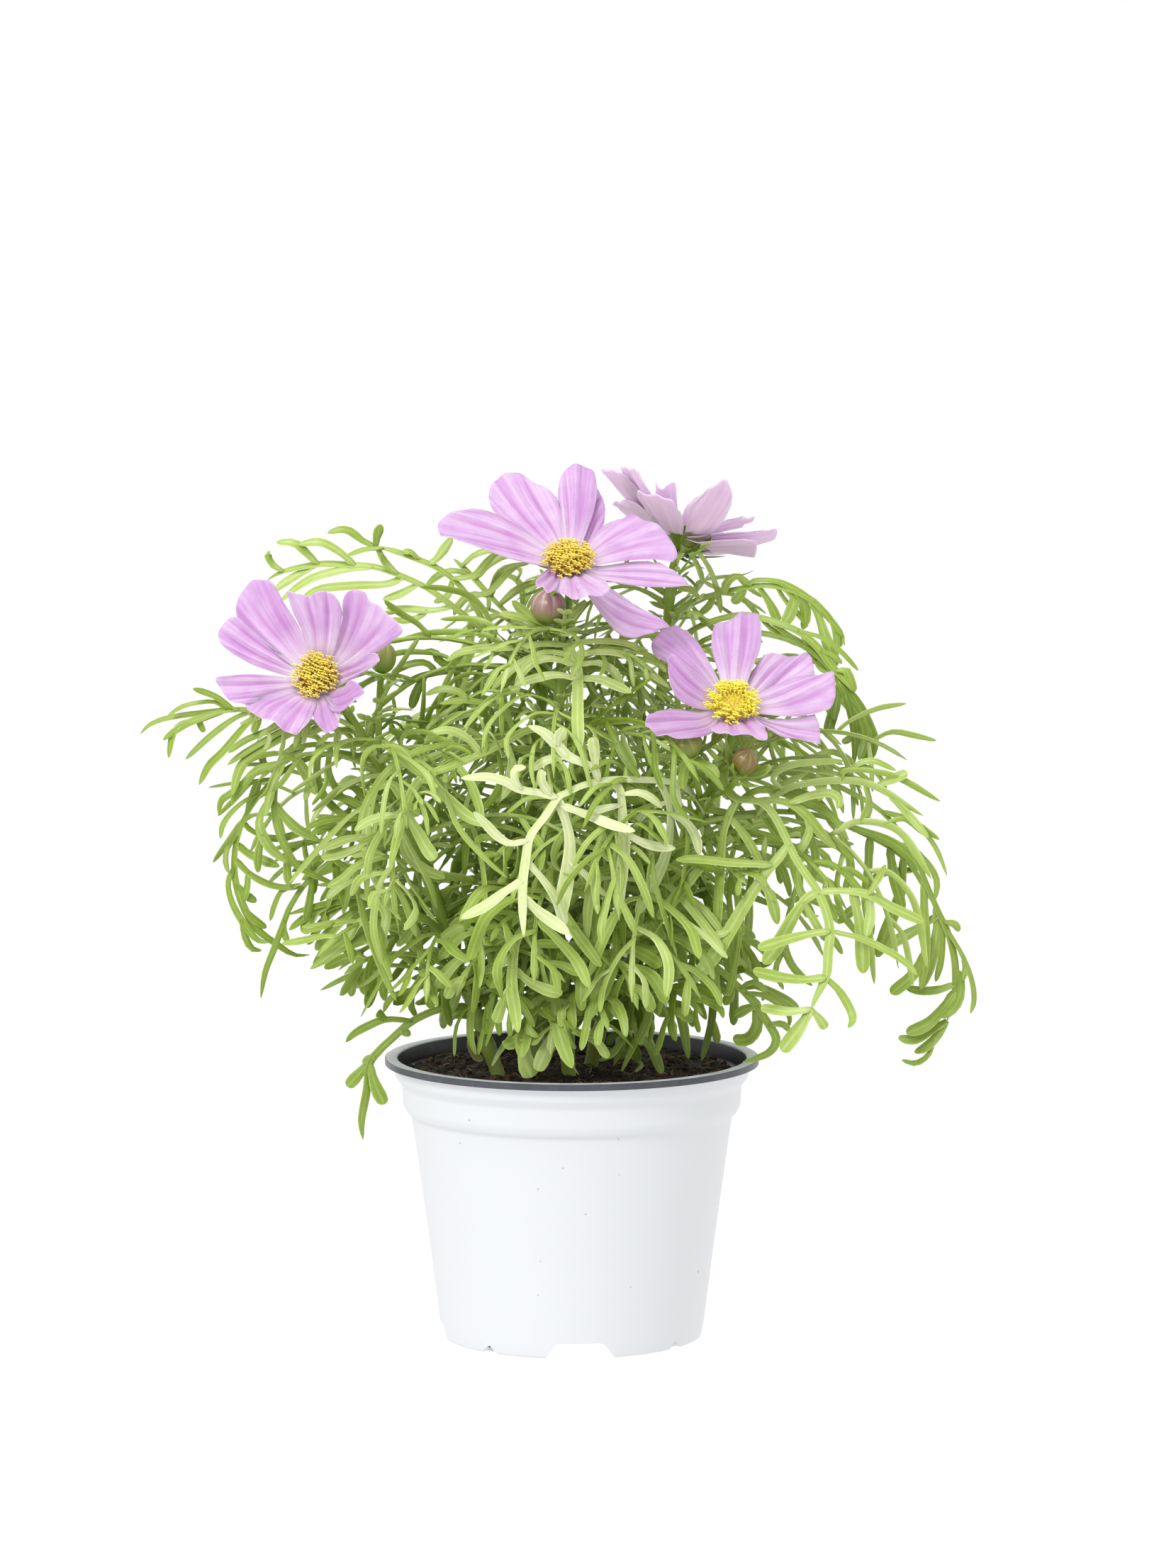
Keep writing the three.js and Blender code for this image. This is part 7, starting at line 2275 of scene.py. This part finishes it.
def leaf_tone(row, rng):
    """Painted light and shade: leaves high up and those facing the front are paler, as if lit, low ones
    deeper, as if shaded; all vary a little at random.
    """
    front_lit = max(0.0, -math.sin(math.radians(row[2])))
    high = smooth(row[1], 90, 200)
    return 0.43 + 0.09 * float(high) + 0.08 * front_lit + rng.uniform(-0.08, 0.1)


def extra_rows(name, rng):
    """More leaves between the main ones, from the soil to the top."""
    rows = []
    angle = rng.uniform(0, 360)
    height = EXTRA_START
    while height < CURVES[name](1)[2] - EXTRA_END:
        high = float(smooth(height, 90, 220))
        angle += TURN_BETWEEN + rng.uniform(-20, 20)
        size = rng.uniform(36, 62) * lerp(0.75, 1.05, math.sin(math.pi * high))
        rows.append((name, height, angle, size * 0.6, size * rng.uniform(0.25, 0.5), size,
                     size * rng.uniform(lerp(-0.1, -0.45, high), 0.14), rng.choice((3, 4, 4)),
                     lerp(3.0, 2.0, high) * rng.uniform(0.85, 1.1), rng.uniform(-40, 40)))
        height += rng.uniform(4.0, 5.8)
    return rows


def add_flower_green(soup, flower, rng):
    """The cup and the bracts under a flower."""
    axes = flower_frame(flower)
    seen_from_behind = flower["stem"] == "back"
    add_cup(soup, axes, **(BACK_CUP if seen_from_behind else BLOOM_CUP))
    for bracts in BACK_BRACTS if seen_from_behind else BLOOM_BRACTS:
        add_bracts(soup, axes, rng, **bracts)


def add_bud_green(soup, bud, rng):
    """The cup and the bracts under a bud, and its stalk where it has one."""
    origin, right, upper, axis = bud_frame(bud)
    radius, half = bud["size"]
    axes = (origin - axis * (half + GAP), right, upper, axis)
    add_cup(soup, axes, **BUD_CUP)
    add_bracts(soup, axes, rng, bud["bracts"], reach=bud.get("reach", radius * 2.3),
               curl=bud.get("curl", 0.1), **BUD_BRACTS)
    if "from" in bud:
        curve = CURVES[bud["stem"]]
        at, _ = quadratic(curve(share_at(curve, bud["from"])), placed(axes, vec(0, 0, -8)),
                          placed(axes, vec(0, 0, -1.6)))
        line = [at(t) for t in np.linspace(0, 1, STALK_PLACES)]
        tube(soup, line, [STALK_RADIUS] * STALK_PLACES, 8, 0.04, tone=0.3, edge=0.5)


for number, name in enumerate(STEMS):
    soup = Soup("tone", "along", "edge", "brown")
    rng = random.Random(700 + number)
    stem_tube(soup, name)
    for index, row in enumerate(LEAVES):
        if row[0] != name:
            continue
        add_tuft(soup, name, row[1], row[2], rng, leaf_tone(row, rng) + 0.05)
        if index in PICTURED_ROWS:
            continue
        tone = ROW_TONES.get(index, leaf_tone(row, rng))
        add_leaf(soup, row, seeded(LEAF_SEED + index), rng, tone)
    for leaf in PICTURED:
        if leaf["stem"] == name:
            add_pictured(soup, leaf, rng)
    for scrap in SCRAPS:
        if scrap["stem"] == name:
            add_scrap(soup, scrap)
    for row in extra_rows(name, rng):
        draw = seeded(rng.randrange(1 << 30))
        add_leaf(soup, row, draw, rng, leaf_tone(row, rng) - 0.04, strict=True)
    for flower in FLOWERS:
        if flower["stem"] == name:
            add_flower_green(soup, flower, rng)
    for bud in BUDS:
        if bud["stem"] == name:
            add_bud_green(soup, bud, rng)
    soup.piece(f"foliage_{name}", leaf_green, "foliage", [f"leafy_stem_{name}"], BLADE_RIM)


# Stage, light and camera, in metres.

STAGE_HALF = 6
LENS = 124.15
SENSOR = 36


def lamp(name, place, target, size, power):
    data = bpy.data.lights.new(name, "AREA")
    data.shape = "DISK"
    data.size = size
    data.energy = power
    obj = linked(name, data)
    obj.location = place
    obj.rotation_euler = (Vector(target) - Vector(place)).to_track_quat("-Z", "Y").to_euler()


floor_corners = [(-STAGE_HALF, -STAGE_HALF, 0), (STAGE_HALF, -STAGE_HALF, 0),
                 (STAGE_HALF, STAGE_HALF, 0), (-STAGE_HALF, STAGE_HALF, 0)]
floor_mesh = bpy.data.meshes.new("floor")
floor_mesh.from_pydata(floor_corners, [], [(0, 1, 2, 3)])
floor_mesh.materials.append(Look("floor_white").finished(
    (0.02, 0.02, 0.02), {"Roughness": 1.0, "Specular IOR Level": 0.0,
                         "Emission Color": (1, 1, 1, 1), "Emission Strength": 1.0}))
linked("floor", floor_mesh)

world = bpy.data.worlds.new("studio")
world.use_nodes = True
sky = world.node_tree.nodes["Background"]
sky.inputs["Color"].default_value = (1, 1, 1, 1)
sky.inputs["Strength"].default_value = 1.0
bpy.context.scene.world = world
lamp("key", (-0.75, -1.1, 0.95), (0, 0, 0.13), 0.5, 9)
lamp("top", (-0.3, -0.45, 1.9), (0, 0, 0.16), 0.6, 12)
bpy.context.scene.view_settings.view_transform = "Standard"

camera_data = bpy.data.cameras.new("camera")
camera_data.lens = LENS
camera_data.sensor_width = SENSOR
camera = linked("camera", camera_data)
camera.location = [place * MM for place in VIEW_FROM]
camera.rotation_euler = (math.pi / 2 - VIEW_PITCH, 0, 0)
bpy.context.scene.camera = camera
